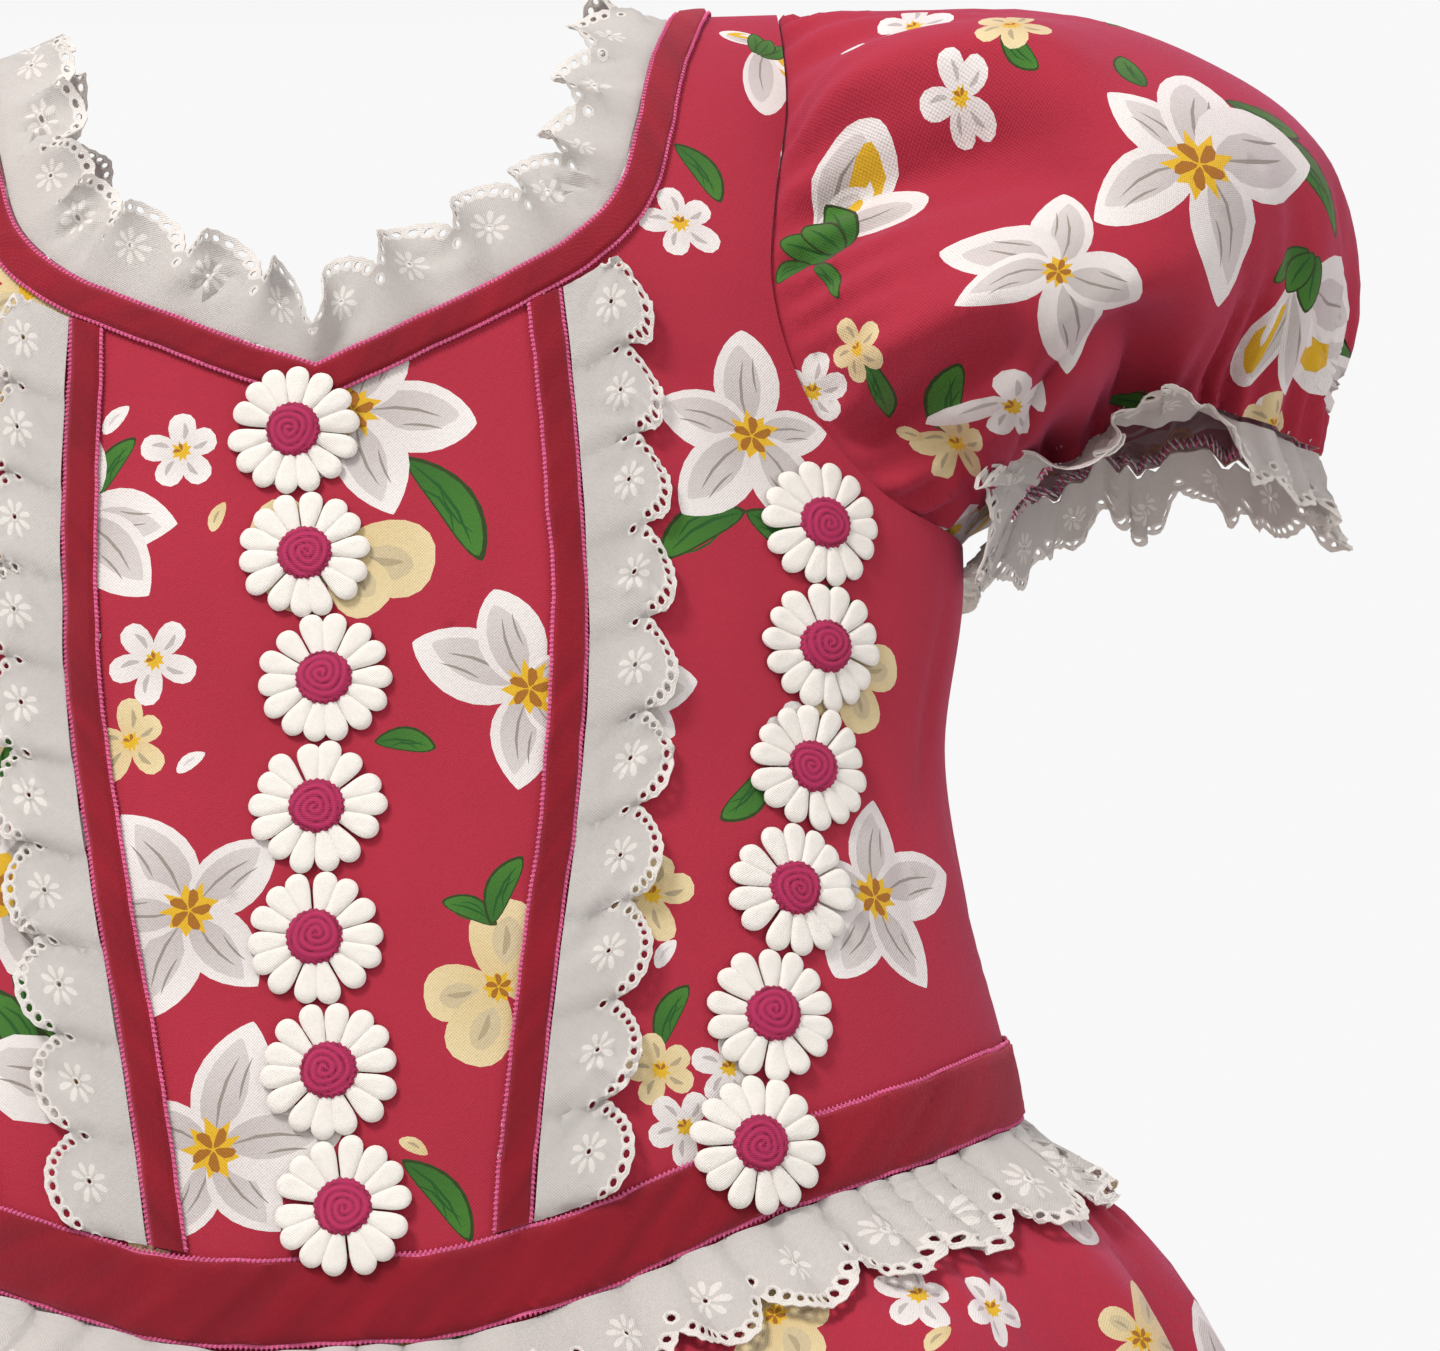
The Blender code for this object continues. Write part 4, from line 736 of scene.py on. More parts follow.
def placed(at, seen, motifs):
    """Stamps of motifs given as they are seen from the front.

    A motif is a kind, its middle and its own values. Tips are seen places too.
    """
    stamps = []
    for number, (kind, middle, *rest) in enumerate(motifs):
        centre = find(seen, *middle)
        matrix = local_frame(at, centre)
        back = np.linalg.inv(matrix) / MM

        def local(spot):
            return back @ (find(seen, *spot) - centre)

        seed = number + len(motifs)
        if kind in BLOOM_REACH:
            tips = [local(tip) for tip in rest[0]]
            drawn = bloom(tips, seed=seed, reach=BLOOM_REACH[kind], cream=kind == "cream")
        elif kind == "bell":
            drawn = bell([local(tip) for tip in rest[0]], rest[1])
        elif kind == "leaf":
            drawn = leaf((0, 0), local(rest[0]), rest[1], 0.10 if number % 2 else -0.10)
        elif kind == "petal":
            drawn = loose_petal(rest[0], rest[1], number % 3 == 1)
        else:
            drawn = blossom(rest[0], rest[1], 5, seed, kind == "cream blossom")
        stamps += moved_stamps(drawn, matrix, centre)
    return stamps


print("places seen are found within", SEEN_REACH * 1000, "mm")

# %% Scattered motifs
# What is scattered: kind, its room as a share of the spacing, and tries on 0.05 square metres
KINDS = (("bloom", 1.0, 260), ("cream", 0.55, 220), ("blossom", 0.40, 400), ("petal", 0.26, 300))


def area_of(ring):
    """The area inside a closed outline."""
    x, y = np.asarray(ring).T
    return abs(x @ np.roll(y, -1) - y @ np.roll(x, -1)) / 2


def thinned(stamps, smallest):
    """Stamps with half the points, without those smaller than this area in square mm."""
    kept = [part for part in stamps if area_of(part[0]) >= smallest]
    return [[part[0][::2] if len(part[0]) >= 12 else part[0], *part[1:]] for part in kept]


def scattered(at, outline, seed, apart=0.043, avoid=(), smallest=3.0):
    """Stamps of the same motifs, spaced evenly over a pattern by a seeded draw."""
    draw = np.random.default_rng(seed)
    low, high = outline.min(axis=0), outline.max(axis=0)
    taken = [np.array([*spot, apart * 0.6]) for spot in avoid]
    stamps = []
    for kind, share, tries in KINDS:
        room = apart * share
        tries = int(tries * (high - low).prod() / 0.05) + 60
        spots = draw.uniform(low, high, (tries, 2))
        spots = spots[inside_many(outline, spots)]
        for spot in spots:
            if any(np.hypot(*(spot - other[:2])) < room * 0.5 + other[2] for other in taken):
                continue
            taken.append(np.array([*spot, room * 0.5]))
            turn, size = draw.uniform(0, 360), draw.uniform(0.85, 1.12)
            angles = math.radians(turn) + np.arange(5) * FIFTH + draw.uniform(-0.15, 0.15, 5)
            way = [np.array([math.cos(a), math.sin(a)]) for a in angles]
            if kind == "bloom":
                tips = [w * 24 * size * draw.uniform(0.85, 1.12) for w in way[: draw.integers(4, 6)]]
                drawn = leaf(way[0] * 10, (way[0] + way[1] * 0.5) * 26 * size, 8)
                drawn += leaf(way[2] * 10, (way[2] + way[3] * 0.4) * 27 * size, 8)
                drawn += bloom(tips, seed=len(taken))
            elif kind == "cream":
                drawn = leaf(way[0] * 5, way[0] * 19 * size, 6)
                drawn += bloom([w * 12 * size for w in way], seed=len(taken), cream=True)
            elif kind == "blossom":
                drawn = leaf(way[0] * 3, way[0] * 13 * size, 4.5) if draw.random() < 0.5 else []
                drawn += blossom(8.5 * size, turn, 5, len(taken), draw.random() < 0.4)
            else:
                drawn = loose_petal(7.5 * size, turn, draw.random() < 0.4)
            stamps += moved_stamps(thinned(drawn, smallest), local_frame(at, spot), spot)
    return stamps


print("kinds of motif", [kind for kind, _, _ in KINDS])

# %% [markdown]
# ## From pattern to a shell of cloth
#
# Real cotton is about half a millimetre thick with a face and a back. The triangulated
# pattern is laid on its surface twice, as face and back, and walls close it along every
# free edge. The back shows the same print, paler, as it does on printed cotton. The colour
# is a corner attribute, so two triangles that meet can differ and the edge stays crisp.

# %% Shells
def linear(colour):
    """A colour of 0 to 255 as it is stored for rendering."""
    share = np.asarray(colour, float) / 255
    return np.where(share <= 0.04045, share / 12.92, ((share + 0.055) / 1.055) ** 2.4)


def topmost(stamps, flat, faces):
    """For each triangle, the number of the last stamp that covers it, or -1."""
    middle = flat[faces].mean(axis=1)
    top = np.full(len(faces), -1)
    order = np.argsort(middle[:, 0])
    across = middle[order, 0]
    for number, (ring, *_) in enumerate(stamps):
        (left, low), (right, high) = ring.min(axis=0), ring.max(axis=0)
        start, end = np.searchsorted(across, (left, right))
        near = order[start:end]
        near = near[(middle[near, 1] > low) & (middle[near, 1] < high)]
        if len(near):
            top[near[inside(ring, middle[near])]] = number
    return top


def corner_colours(stamps, flat, faces, ground=GROUND):
    """Colours of the corners of each triangle, as the stamps print them."""
    near = linear([ground] + [s[1] for s in stamps])
    far = linear([ground] + [s[2] for s in stamps])
    root = np.array([(0.0, 0.0)] + [s[3] for s in stamps])
    way = np.array([(1.0, 0.0)] + [s[4] - s[3] for s in stamps])
    top = topmost(stamps, flat, faces) + 1
    reach = ((flat[faces] - root[top][:, None]) * way[top][:, None]).sum(-1)
    share = np.clip(reach / (way[top] ** 2).sum(-1)[:, None], 0, 1)[..., None]
    return near[top][:, None] * (1 - share) + far[top][:, None] * share


def shell(name, flat, faces, at, low, high, material, colours=None, back=None, lift=0.0):
    """A closed shell of cloth: a triangulated pattern laid between two heights."""
    point, normal = at(flat)
    count = len(flat)
    turned = np.cross(point[faces[:, 1]] - point[faces[:, 0]], point[faces[:, 2]] - point[faces[:, 0]])
    if (turned * normal[faces[:, 0]]).sum() < 0:
        faces = faces[:, ::-1]
        colours = None if colours is None else colours[:, ::-1]
    high = np.broadcast_to(high + lift, count)[:, None]
    low = np.broadcast_to(low, count)[:, None]
    points = np.concatenate([point + normal * high, point + normal * low])
    sides = np.concatenate([faces[:, [0, 1]], faces[:, [1, 2]], faces[:, [2, 0]]])
    codes, other = sides[:, 0] * count + sides[:, 1], sides[:, 1] * count + sides[:, 0]
    free = sides[~np.isin(codes, other)]
    walls = np.concatenate([
        np.column_stack([free[:, 1], free[:, 0], free[:, 0] + count]),
        np.column_stack([free[:, 1], free[:, 0] + count, free[:, 1] + count]),
    ])
    every = np.concatenate([faces, faces[:, ::-1] + count, walls])
    mesh = bpy.data.meshes.new(name)
    mesh.from_pydata(points.tolist(), [], every.tolist())
    uv = mesh.uv_layers.new(name="Pattern")
    uv.data.foreach_set("uv", np.tile(flat, (2, 1))[every].ravel())
    if colours is not None:
        wall_colours = np.broadcast_to(colours.mean(axis=(0, 1)), (len(walls), 3, 3))
        under = colours[:, ::-1] if back is None else back(colours[:, ::-1])
        tint = np.concatenate([colours, under, wall_colours])
        layer = mesh.color_attributes.new("Print", "FLOAT_COLOR", "CORNER")
        rgba = np.concatenate([tint.reshape(-1, 3), np.ones((tint.size // 3, 1))], axis=1)
        layer.data.foreach_set("color", rgba.ravel())
    return finished(name, mesh, material)


def finished(name, mesh, material, smooth_angle=60):
    """A mesh as an object of the scene, shaded smooth."""
    mesh.materials.append(material)
    mesh.shade_smooth()
    mesh.set_sharp_from_angle(angle=math.radians(smooth_angle))
    mesh.validate()
    thing = bpy.data.objects.new(name, mesh)
    bpy.context.scene.collection.objects.link(thing)
    return thing


def paler(colours, share=0.42):
    """The back of printed cloth."""
    return colours * (1 - share) + share * np.array([0.80, 0.62, 0.68])


print("shell of cotton", round((PANEL_THICK - COTTON_LOW) * 1000, 2), "mm")

# %% [markdown]
# ## Materials
#
# Cotton scatters light evenly and lifts a little to magenta where it turns away, which a
# faint sheen gives. Its weave is a product of two sine waves across the pattern, and the
# colour is painted a little darker in the weave's dips, a painted shade over a fine grain.
# Velvet is dark face on and bright at its edges, since its pile stands up, and its slanting
# lighter and darker streaks and blotches are painted sheen. Lace cloth is thin, so some
# light comes through it, and its embroidery thread is whiter and smoother.

# %% Shader nodes
# Velvet's streaks of painted sheen, lighter and darker where its pile catches the light: how far they
# slant, how wide and how long they are, in metres
STREAK_SLANT, STREAK_FINE, STREAK_LONG = 0.8, 0.0075, 0.0300


def add(tree, kind, inputs=None, **settings):
    """A node with settings, and inputs that are values or other nodes' outputs."""
    made = tree.nodes.new(kind)
    for key, value in settings.items():
        setattr(made, key, value)
    for key, value in (inputs or {}).items():
        if isinstance(value, bpy.types.NodeSocket):
            tree.links.new(value, made.inputs[key])
        else:
            made.inputs[key].default_value = value
    return made


def sum_of(tree, operation, first, second):
    """A math node's output."""
    return add(tree, "ShaderNodeMath", {0: first, 1: second}, operation=operation).outputs[0]


def waves(tree, along, period):
    """A sine of one coordinate with this period in metres."""
    turned = sum_of(tree, "MULTIPLY", along, 2 * math.pi / period)
    return sum_of(tree, "SINE", turned, 0.0)


def pattern_uv(tree):
    """The pattern's two coordinates, in metres."""
    uv = add(tree, "ShaderNodeUVMap", uv_map="Pattern").outputs[0]
    parts = add(tree, "ShaderNodeSeparateXYZ", {0: uv})
    return parts.outputs[0], parts.outputs[1]


def cloud(tree, scale, low, high, detail=3.0):
    """Soft noise in the object's own space, between two values."""
    place = add(tree, "ShaderNodeTexCoord").outputs["Object"]
    noise = add(tree, "ShaderNodeTexNoise", {"Vector": place, "Scale": scale, "Detail": detail})
    mapped = {"Value": noise.outputs[0], "From Min": 0.25, "From Max": 0.75, "To Min": low, "To Max": high}
    return add(tree, "ShaderNodeMapRange", mapped).outputs[0]


def streaks(tree, across, along, size):
    """Slanting streaks of painted sheen on a pattern, between 1 less and 1 more this size."""
    slanted = sum_of(tree, "ADD", along, sum_of(tree, "MULTIPLY", across, STREAK_SLANT))
    fine = sum_of(tree, "MULTIPLY", slanted, 1 / STREAK_FINE)
    slow = sum_of(tree, "MULTIPLY", across, 1 / STREAK_LONG)
    place = add(tree, "ShaderNodeCombineXYZ", {0: slow, 1: fine}).outputs[0]
    noise = add(tree, "ShaderNodeTexNoise", {"Vector": place, "Scale": 1.0, "Detail": 2.0})
    mapped = {"Value": noise.outputs[0], "From Min": 0.3, "From Max": 0.7, "To Min": -size, "To Max": size}
    return add(tree, "ShaderNodeMapRange", mapped).outputs[0]


print("streaks of the velvet", STREAK_FINE * 1000, "mm wide")

# %% Cloth, thread and metal
def cloth_material(
    name, period, depth, value, sheen, tint, roughness, through=0.0, colour=None, painted_sheen=0.0
):
    """A woven cloth whose colour is its print, with painted shade in the dips of a weave of this period and
    depth, and painted sheen streaks if asked.
    """
    material = bpy.data.materials.new(name)
    material.use_nodes = True
    tree = material.node_tree
    shader = tree.nodes["Principled BSDF"]
    across, along = pattern_uv(tree)
    weave = sum_of(tree, "MULTIPLY", waves(tree, across, period), waves(tree, along, period))
    fuzz = cloud(tree, 1400.0, -0.6, 0.6, 2.0)
    height = sum_of(tree, "ADD", weave, fuzz)
    if colour is None:
        printed = add(tree, "ShaderNodeAttribute", attribute_name="Print").outputs["Color"]
    else:
        printed = add(tree, "ShaderNodeRGB").outputs[0]
        printed.default_value = (*linear(colour), 1.0)
    # Partly a fine random grain, partly painted shade: the colour is lighter where the weave stands up and
    # darker in its dips
    grain_and_weave_shade = sum_of(tree, "MULTIPLY", height, 0.06)
    shade = sum_of(tree, "ADD", cloud(tree, 38.0, 1 - value, 1 + value), grain_and_weave_shade)
    # Painted sheen: slanting lighter and darker streaks in the colour, where a velvet pile catches the
    # light
    if painted_sheen:
        shade = sum_of(tree, "ADD", shade, streaks(tree, across, along, painted_sheen))
    tinted = add(tree, "ShaderNodeHueSaturation", {"Value": shade, "Color": printed})
    bump = add(tree, "ShaderNodeBump", {"Height": height, "Strength": 0.8, "Distance": depth})
    tree.links.new(tinted.outputs[0], shader.inputs["Base Color"])
    tree.links.new(bump.outputs[0], shader.inputs["Normal"])
    shader.inputs["Roughness"].default_value = roughness
    shader.inputs["Specular IOR Level"].default_value = 0.25
    shader.inputs["Sheen Weight"].default_value = sheen
    shader.inputs["Sheen Roughness"].default_value = 0.45
    shader.inputs["Sheen Tint"].default_value = (*tint, 1.0)
    if through:
        glow = add(tree, "ShaderNodeBsdfTranslucent", {"Color": tinted.outputs[0]})
        mix = add(tree, "ShaderNodeMixShader", {0: through, 1: shader.outputs[0], 2: glow.outputs[0]})
        tree.links.new(mix.outputs[0], tree.nodes["Material Output"].inputs["Surface"])
    return material


def plain_thread(name, colour):
    """Spun thread of one colour."""
    return cloth_material(name, 0.00030, 0.00010, 0.06, 0.30, (1.0, 0.9, 0.95), 0.60, colour=colour)


def metal_of(name, colour):
    """Plated metal with fine scratches."""
    material = bpy.data.materials.new(name)
    material.use_nodes = True
    tree = material.node_tree
    shader = tree.nodes["Principled BSDF"]
    shader.inputs["Base Color"].default_value = (*colour, 1.0)
    shader.inputs["Metallic"].default_value = 1.0
    tree.links.new(cloud(tree, 900.0, 0.22, 0.42), shader.inputs["Roughness"])
    return material


COTTON = cloth_material("cotton", 0.00062, 0.00006, 0.050, 0.20, (0.90, 0.32, 0.70), 0.88)
# The velvet's soft blotches of tone (0.16) and its streaks (0.17) are painted sheen of its pile
VELVET = cloth_material(
    "velvet_pile", 0.00040, 0.00010, 0.16, 0.60, (1.0, 0.24, 0.34), 0.95, painted_sheen=0.17
)
BATISTE = cloth_material("batiste", 0.00050, 0.00008, 0.03, 0.10, (1.0, 1.0, 1.0), 0.85, through=0.30)
THREAD = cloth_material("thread", 0.00050, 0.00007, 0.02, 0.10, (1.0, 1.0, 1.0), 0.62)
TAPE = cloth_material("tape", 0.00060, 0.00010, 0.05, 0.10, (1.0, 0.5, 0.6), 0.80, colour=(150, 30, 52))
print("materials", [m.name for m in (COTTON, VELVET, BATISTE, THREAD, TAPE)])

# %% [markdown]
# ## Bodice panels
#
# The bodice is cut as a centre front, two side fronts and two backs. Each panel's outline
# runs along the same seams as its solid. The blooms on the two front panels that the view
# shows are listed one by one where they lie on the dress, and the others are a seeded draw.

# %% Cutting a panel
def panel_outline(*edges):
    """A closed flat outline from edges of girth angles and lengths."""
    return divided_ring(bodice_pattern(np.concatenate(edges)), EDGE_STEP)


def seam_edge(gap, count=60):
    """The princess seam, from the neckline down, moved aside by a girth angle."""
    length = np.linspace(neck_length(SEAM_TOP), waist_length(SEAM_FOOT) - HALF_GAP, count)
    return np.column_stack([seam_girth(length) + gap, length])


def outer_edge(arm, gap):
    """A panel's outer edge: down the armhole from the shoulder, then the side seam."""
    curve = arm.copy()
    curve[-1, 0] += gap
    curve[0, 1] = HALF_GAP
    foot = (SIDE + gap, float(waist_length(SIDE)) - HALF_GAP)
    return np.concatenate([curve, [foot]])


def waist_edge(start, end, count=40):
    """The waist seam between two girth angles, without its ends."""
    girth = np.linspace(start, end, count + 1)[1:-1]
    return np.column_stack([girth, waist_length(girth) - HALF_GAP])


EDGE_STEP = 0.0030
CLOTH_STEP = 0.0030
FRONT_STEP, SKIRT_STEP = 0.0026, 0.0060


def cotton_shell(
    name, node, outline, at, stamps, step=CLOTH_STEP, extra=None
):
    """A printed panel that stands for its solid."""
    rings = [entry[0] for entry in stamps]
    flat, faces = triangulated(outline, rings, step, extra=extra)
    colours = corner_colours(stamps, flat, faces)
    thing = shell(name, flat, faces, at, COTTON_LOW, PANEL_THICK, COTTON, colours, paler)
    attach(thing, "dress")
    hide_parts(node)
    print(name, "stamps", len(stamps), "triangles", len(thing.data.polygons))


def mirror_at(at):
    """The same surface on the other side of the dress."""
    def other(flat):
        point, normal = at(flat * (-1.0, 1.0))
        return point * (-1.0, 1.0, 1.0), normal * (-1.0, 1.0, 1.0)
    return other


print("panel outline every", EDGE_STEP * 1000, "mm")

# %% Centre front
girth = np.linspace(-SEAM_TOP, SEAM_TOP, 41)[:-1]
left_seam = seam_edge(-GIRTH_GAP)
foot = np.linspace(left_seam[-1, 0], -left_seam[-1, 0], 60)[1:-1]
CENTRE_OUTLINE = panel_outline(
    np.column_stack([girth, neck_length(girth)]),
    left_seam,
    np.column_stack([foot, waist_length(foot) - HALF_GAP]),
    left_seam[::-1] * (-1.0, 1.0),
)
CENTRE_MOTIFS = [
    ("leaf", (17, -108), (31, -130), 8.0),
    ("cream", (2, -127), [(22, -130), (11, -139), (-13, -119), (-10, -136)]),
    ("bloom", (7, -98), [(31, -102), (14, -120), (-10, -112), (-8, -90), (17, -82)]),
    ("petal", (-40, -96), 7.5, -45.0),
    ("petal", (-20, -118), 6.5, -65.0),
    ("petal", (-46, -142), 6.5, -45.0),
    ("petal", (-26, -167), 6.5, -32.0),
    ("blossom", (-27, -104), 8.5, 20.0),
    ("leaf", (-44, -112), (-36, -100), 5.0),
    ("half", (-49, -115), [(-28, -119), (-34, -133), (-54, -96)]),
    ("leaf", (9, -165), (21, -167), 5.0),
    ("bloom", (39, -156), [(17, -146), (33, -136), (36, -176), (55, -150), (56, -166)]),
    ("blossom", (-33, -146), 8.5, 60.0),
    ("cream blossom", (-38, -162), 8.0, 10.0),
    ("cream", (31, -214), [(17, -215), (33, -197), (24, -228), (44, -212)]),
    ("leaf", (31, -202), (21, -197), 4.5),
    ("leaf", (30, -202), (36, -189), 5.5),
    ("bloom", (-27, -196), [(-40, -176), (-10, -184), (-37, -216), (-50, -194), (-14, -211)]),
    ("leaf", (12, -245), (24, -261), 6.0),
    ("petal", (14, -243), 6.0, 30.0),
    ("bloom", (-23, -241), [(-15, -218), (-41, -234), (-31, -257), (-11, -257), (1, -240)]),
    ("blossom", (36, -243), 8.0, 40.0),
]
seen = seen_places(bodice_at, CENTRE_OUTLINE)
centre_stamps = placed(bodice_at, seen, CENTRE_MOTIFS)
cotton_shell(
    "front_centre_cloth", "front_centre", CENTRE_OUTLINE, bodice_at, centre_stamps, FRONT_STEP
)

# %% Side fronts
girth = NECK_FRONT[(NECK_FRONT[:, 0] > SEAM_TOP) & (NECK_FRONT[:, 1] > HALF_GAP)]
neck_side = girth[np.argsort(girth[:, 1])][::-1]
outer = outer_edge(ARM_FRONT_EDGE, -SIDE_GIRTH_GAP)
side_seam = seam_edge(GIRTH_GAP)
SIDE_OUTLINE = panel_outline(
    side_seam[::-1], neck_side, outer, waist_edge(outer[-1, 0], side_seam[-1, 0])
)
SIDE_MOTIFS = [
    ("leaf", (73, -40), (82, -54), 6.0),
    ("blossom", (73, -59), 8.5, 70.0),
    ("leaf", (83, -120), (93, -130), 6.5),
    ("leaf", (83, -120), (65, -130), 8.0),
    ("bloom", (85, -104), [(84, -82), (66, -98), (100, -103), (70, -121), (95, -123)]),
    ("half", (53, -157), [(71, -155), (66, -166), (58, -142)]),
    ("leaf", (84, -172), (74, -183), 6.0),
    ("blossom", (90, -166), 8.0, 15.0),
    ("cream blossom", (60, -197), 9.0, 35.0),
    ("petal", (62, -209), 7.0, -50.0),
    ("leaf", (60, -227), (66, -215), 5.0),
    ("cream blossom", (60, -231), 7.5, 0.0),
    ("blossom", (64, -242), 7.5, 50.0),
    ("blossom", (73, -231), 7.5, 20.0),
    ("leaf", (104, -17), (97, -27), 5.0),
    ("bell", (94, -12), [(84, -9), (92, -32), (103, -26)], (3, -4)),
    ("leaf", (96, -135), (103, -147), 6.0),
    ("cream", (101, -152), [(92, -146), (101, -140), (111, -150), (104, -164), (93, -160)]),
    ("bloom", (103, -198), [(104, -178), (88, -194), (94, -214), (112, -216), (118, -192)]),
    ("petal", (88, -226), 7.0, 30.0),
]
seen = seen_places(bodice_at, SIDE_OUTLINE)
side_stamps = placed(bodice_at, seen, SIDE_MOTIFS)
cotton_shell(
    "front_side_left_cloth", "front_side_left", SIDE_OUTLINE, bodice_at, side_stamps, FRONT_STEP
)
mirrored_at = mirror_at(bodice_at)
right_outline = SIDE_OUTLINE[::-1] * (-1.0, 1.0)
cotton_shell(
    "front_side_right_cloth", "front_side_right", right_outline, mirrored_at,
    scattered(mirrored_at, right_outline, 11),
)

# %% Backs
middle = math.pi - GIRTH_GAP
neck_back = NECK_BACK[NECK_BACK[:, 1] > HALF_GAP]
neck_back = neck_back[np.argsort(neck_back[:, 1])][::-1]
neck_back = neck_back[neck_back[:, 0] < middle]
outer = outer_edge(ARM_BACK_EDGE, SIDE_GIRTH_GAP)
BACK_OUTLINE = panel_outline(
    [(middle, float(waist_length(middle)) - HALF_GAP), (middle, float(NECK_BACK[0, 1]))],
    neck_back, outer, waist_edge(outer[-1, 0], middle),
)
cotton_shell(
    "back_left_cloth", "back_left", BACK_OUTLINE, bodice_at, scattered(bodice_at, BACK_OUTLINE, 21)
)
right_outline = BACK_OUTLINE[::-1] * (-1.0, 1.0)
cotton_shell(
    "back_right_cloth", "back_right", right_outline, mirrored_at,
    scattered(mirrored_at, right_outline, 22),
)

# %% [markdown]
# ## Skirt and sleeves
#
# The skirt is three flared panels gathered into the waist seam: deep uneven folds that
# start under the waistband, with fine gathers crowded at the seam. The sleeve is a short
# puff: one piece gathered into the armhole's top and drawn in by elastic at the cuff, with
# slanting creases where the arm's fullness folds. Their creases are listed one by one.

# %% Skirt surface
SKIRT_DROP = 0.600
SKIRT = np.array([
    (0.000, 0.000, 0.0000), (0.010, 0.000, 0.0000), (0.020, 0.009, 0.0015),
    (0.034, 0.021, 0.0038), (0.055, 0.031, 0.0060), (0.095, 0.041, 0.0085),
    (0.160, 0.060, 0.0115), (0.250, 0.086, 0.0150), (0.370, 0.120, 0.0190),
])
SKIRT_FOLDS = 16
SKIRT_ARC = arc_round(0.175, 0.115)
# The fine gathers under the waist seam: how many, their depth, and where they fade
FINE_GATHERS = 74
FINE_DEPTH = 0.0011
FINE_START = 0.012
FINE_END = 0.075


def ripple(girth):
    """The uneven folds of the skirt, from -1 in a valley to 1 on a crest."""
    phase = SKIRT_FOLDS * girth + 0.8 * np.sin(2 * girth + 0.7) + 0.4 * np.sin(5 * girth)
    return np.cos(phase) * (0.78 + 0.22 * np.cos(3 * girth + 1.1))


def fine_gathers(girth, drop):
    """The small crowded gathers just under the waist seam."""
    phase = FINE_GATHERS * girth + 2.3 * np.sin(7 * girth + 0.5) + 1.4 * np.sin(13 * girth)
    fade = ease(drop / FINE_START) * (1 - ease(drop / FINE_END))
    return FINE_DEPTH * fade * np.cos(phase) * (0.75 + 0.25 * np.sin(9 * girth))


def skirt(girth, share):
    """Point of the skirt's inner face, by girth angle and share of the way to the hem."""
    girth, share = np.broadcast_arrays(np.asarray(girth, float), share)
    seam = waist_height(girth)
    drop = share * (SKIRT_DROP - seam)
    height = seam + drop
    wide = smooth(LEVELS, 1, height) + smooth(SKIRT, 1, drop)
    depth = np.where(np.cos(girth) >= 0, smooth(LEVELS, 2, height), smooth(LEVELS, 3, height))
    deep = depth + smooth(SKIRT, 1, drop)
    out = np.stack([np.sin(girth) / wide, -np.cos(girth) / deep], axis=-1)
    out /= np.linalg.norm(out, axis=-1, keepdims=True)
    fold = (smooth(SKIRT, 2, drop) * ripple(girth) + fine_gathers(girth, drop))[..., None]
    flat = np.stack([wide * np.sin(girth), -deep * np.cos(girth)], axis=-1) + out * fold
    return np.concatenate([flat, -height[..., None]], axis=-1)


def skirt_at(flat):
    """Points and normals on the skirt of places of its pattern."""
    girth, share = np.interp(flat[:, 0], SKIRT_ARC, TURNS), -flat[:, 1] / SKIRT_LONG
    return skirt(girth, share), outward(skirt, girth, share)


SKIRT_LONG = 0.345
TOP_SHARE = 0.0005
print("skirt", round(SKIRT_LONG * 1000), "mm long,", SKIRT_FOLDS, "folds")

# %% Skirt panels
def skirt_outline(start, end):
    """The pattern of a skirt panel between two girth angles."""
    left, right = np.interp([start, end], TURNS, SKIRT_ARC)
    top, hem = -SKIRT_LONG * TOP_SHARE, -SKIRT_LONG
    corners = np.array([(left, hem), (right, hem), (right, top), (left, top)])
    return divided_ring(corners, EDGE_STEP)


def top_gathered(outline):
    """Extra points where the gathers crowd, as a ring each so that they are kept."""
    (left, _), (right, top) = outline.min(axis=0), outline.max(axis=0)
    lines = []
    for drop in np.arange(0.0015, 0.030, 0.0021):
        across = np.arange(left + 0.001 + (len(lines) % 2) * 0.0012, right - 0.001, 0.0024)
        lines.append(np.column_stack([across, np.full(len(across), top - drop)]))
    return np.concatenate(lines)


SKIRT_MOTIFS = [
    ("cream", (79, -278), [(70, -274), (80, -268), (89, -277), (84, -288), (73, -287)]),
    ("blossom", (105, -276), 8.0, 30.0),
    ("blossom", (119, -279), 8.0, 60.0),
    ("petal", (118, -267), 7.0, 20.0),
    ("petal", (108, -284), 7.0, -40.0),
    ("half", (136, -258), [(138, -268), (128, -262), (133, -250)]),
    ("cream", (147, -286), [(140, -281), (150, -277), (155, -288), (143, -293)]),
    ("bloom", (20, -318), [(20, -295), (-2, -312), (8, -338), (34, -338), (42, -310)]),
    ("leaf", (30, -322), (48, -340), 8.0),
    ("bloom", (95, -330), [(96, -306), (74, -326), (84, -350), (108, -350), (117, -324)]),
    ("leaf", (104, -334), (122, -352), 8.0),
    ("cream", (56, -300), [(47, -296), (57, -290), (66, -299), (60, -310), (50, -309)]),
    ("bloom", (-45, -322), [(-44, -299), (-67, -316), (-57, -343), (-32, -342), (-24, -316)]),
    ("blossom", (-12, -292), 8.0, 10.0),
    ("petal", (38, -288), 7.0, -20.0),
]
SKIRT_APART = 0.052
skirt_outlines = {
    "skirt_front": skirt_outline(-SIDE + SIDE_GIRTH_GAP, SIDE - SIDE_GIRTH_GAP),
    "skirt_back_left": skirt_outline(SIDE + SIDE_GIRTH_GAP, math.pi - GIRTH_GAP),
    "skirt_back_right": skirt_outline(-math.pi + GIRTH_GAP, -SIDE - SIDE_GIRTH_GAP),
}
seen = seen_places(skirt_at, skirt_outlines["skirt_front"], 0.0022)
front_stamps = placed(skirt_at, seen, SKIRT_MOTIFS)
laid_by_hand = [find(seen, *motif[1]) for motif in SKIRT_MOTIFS]
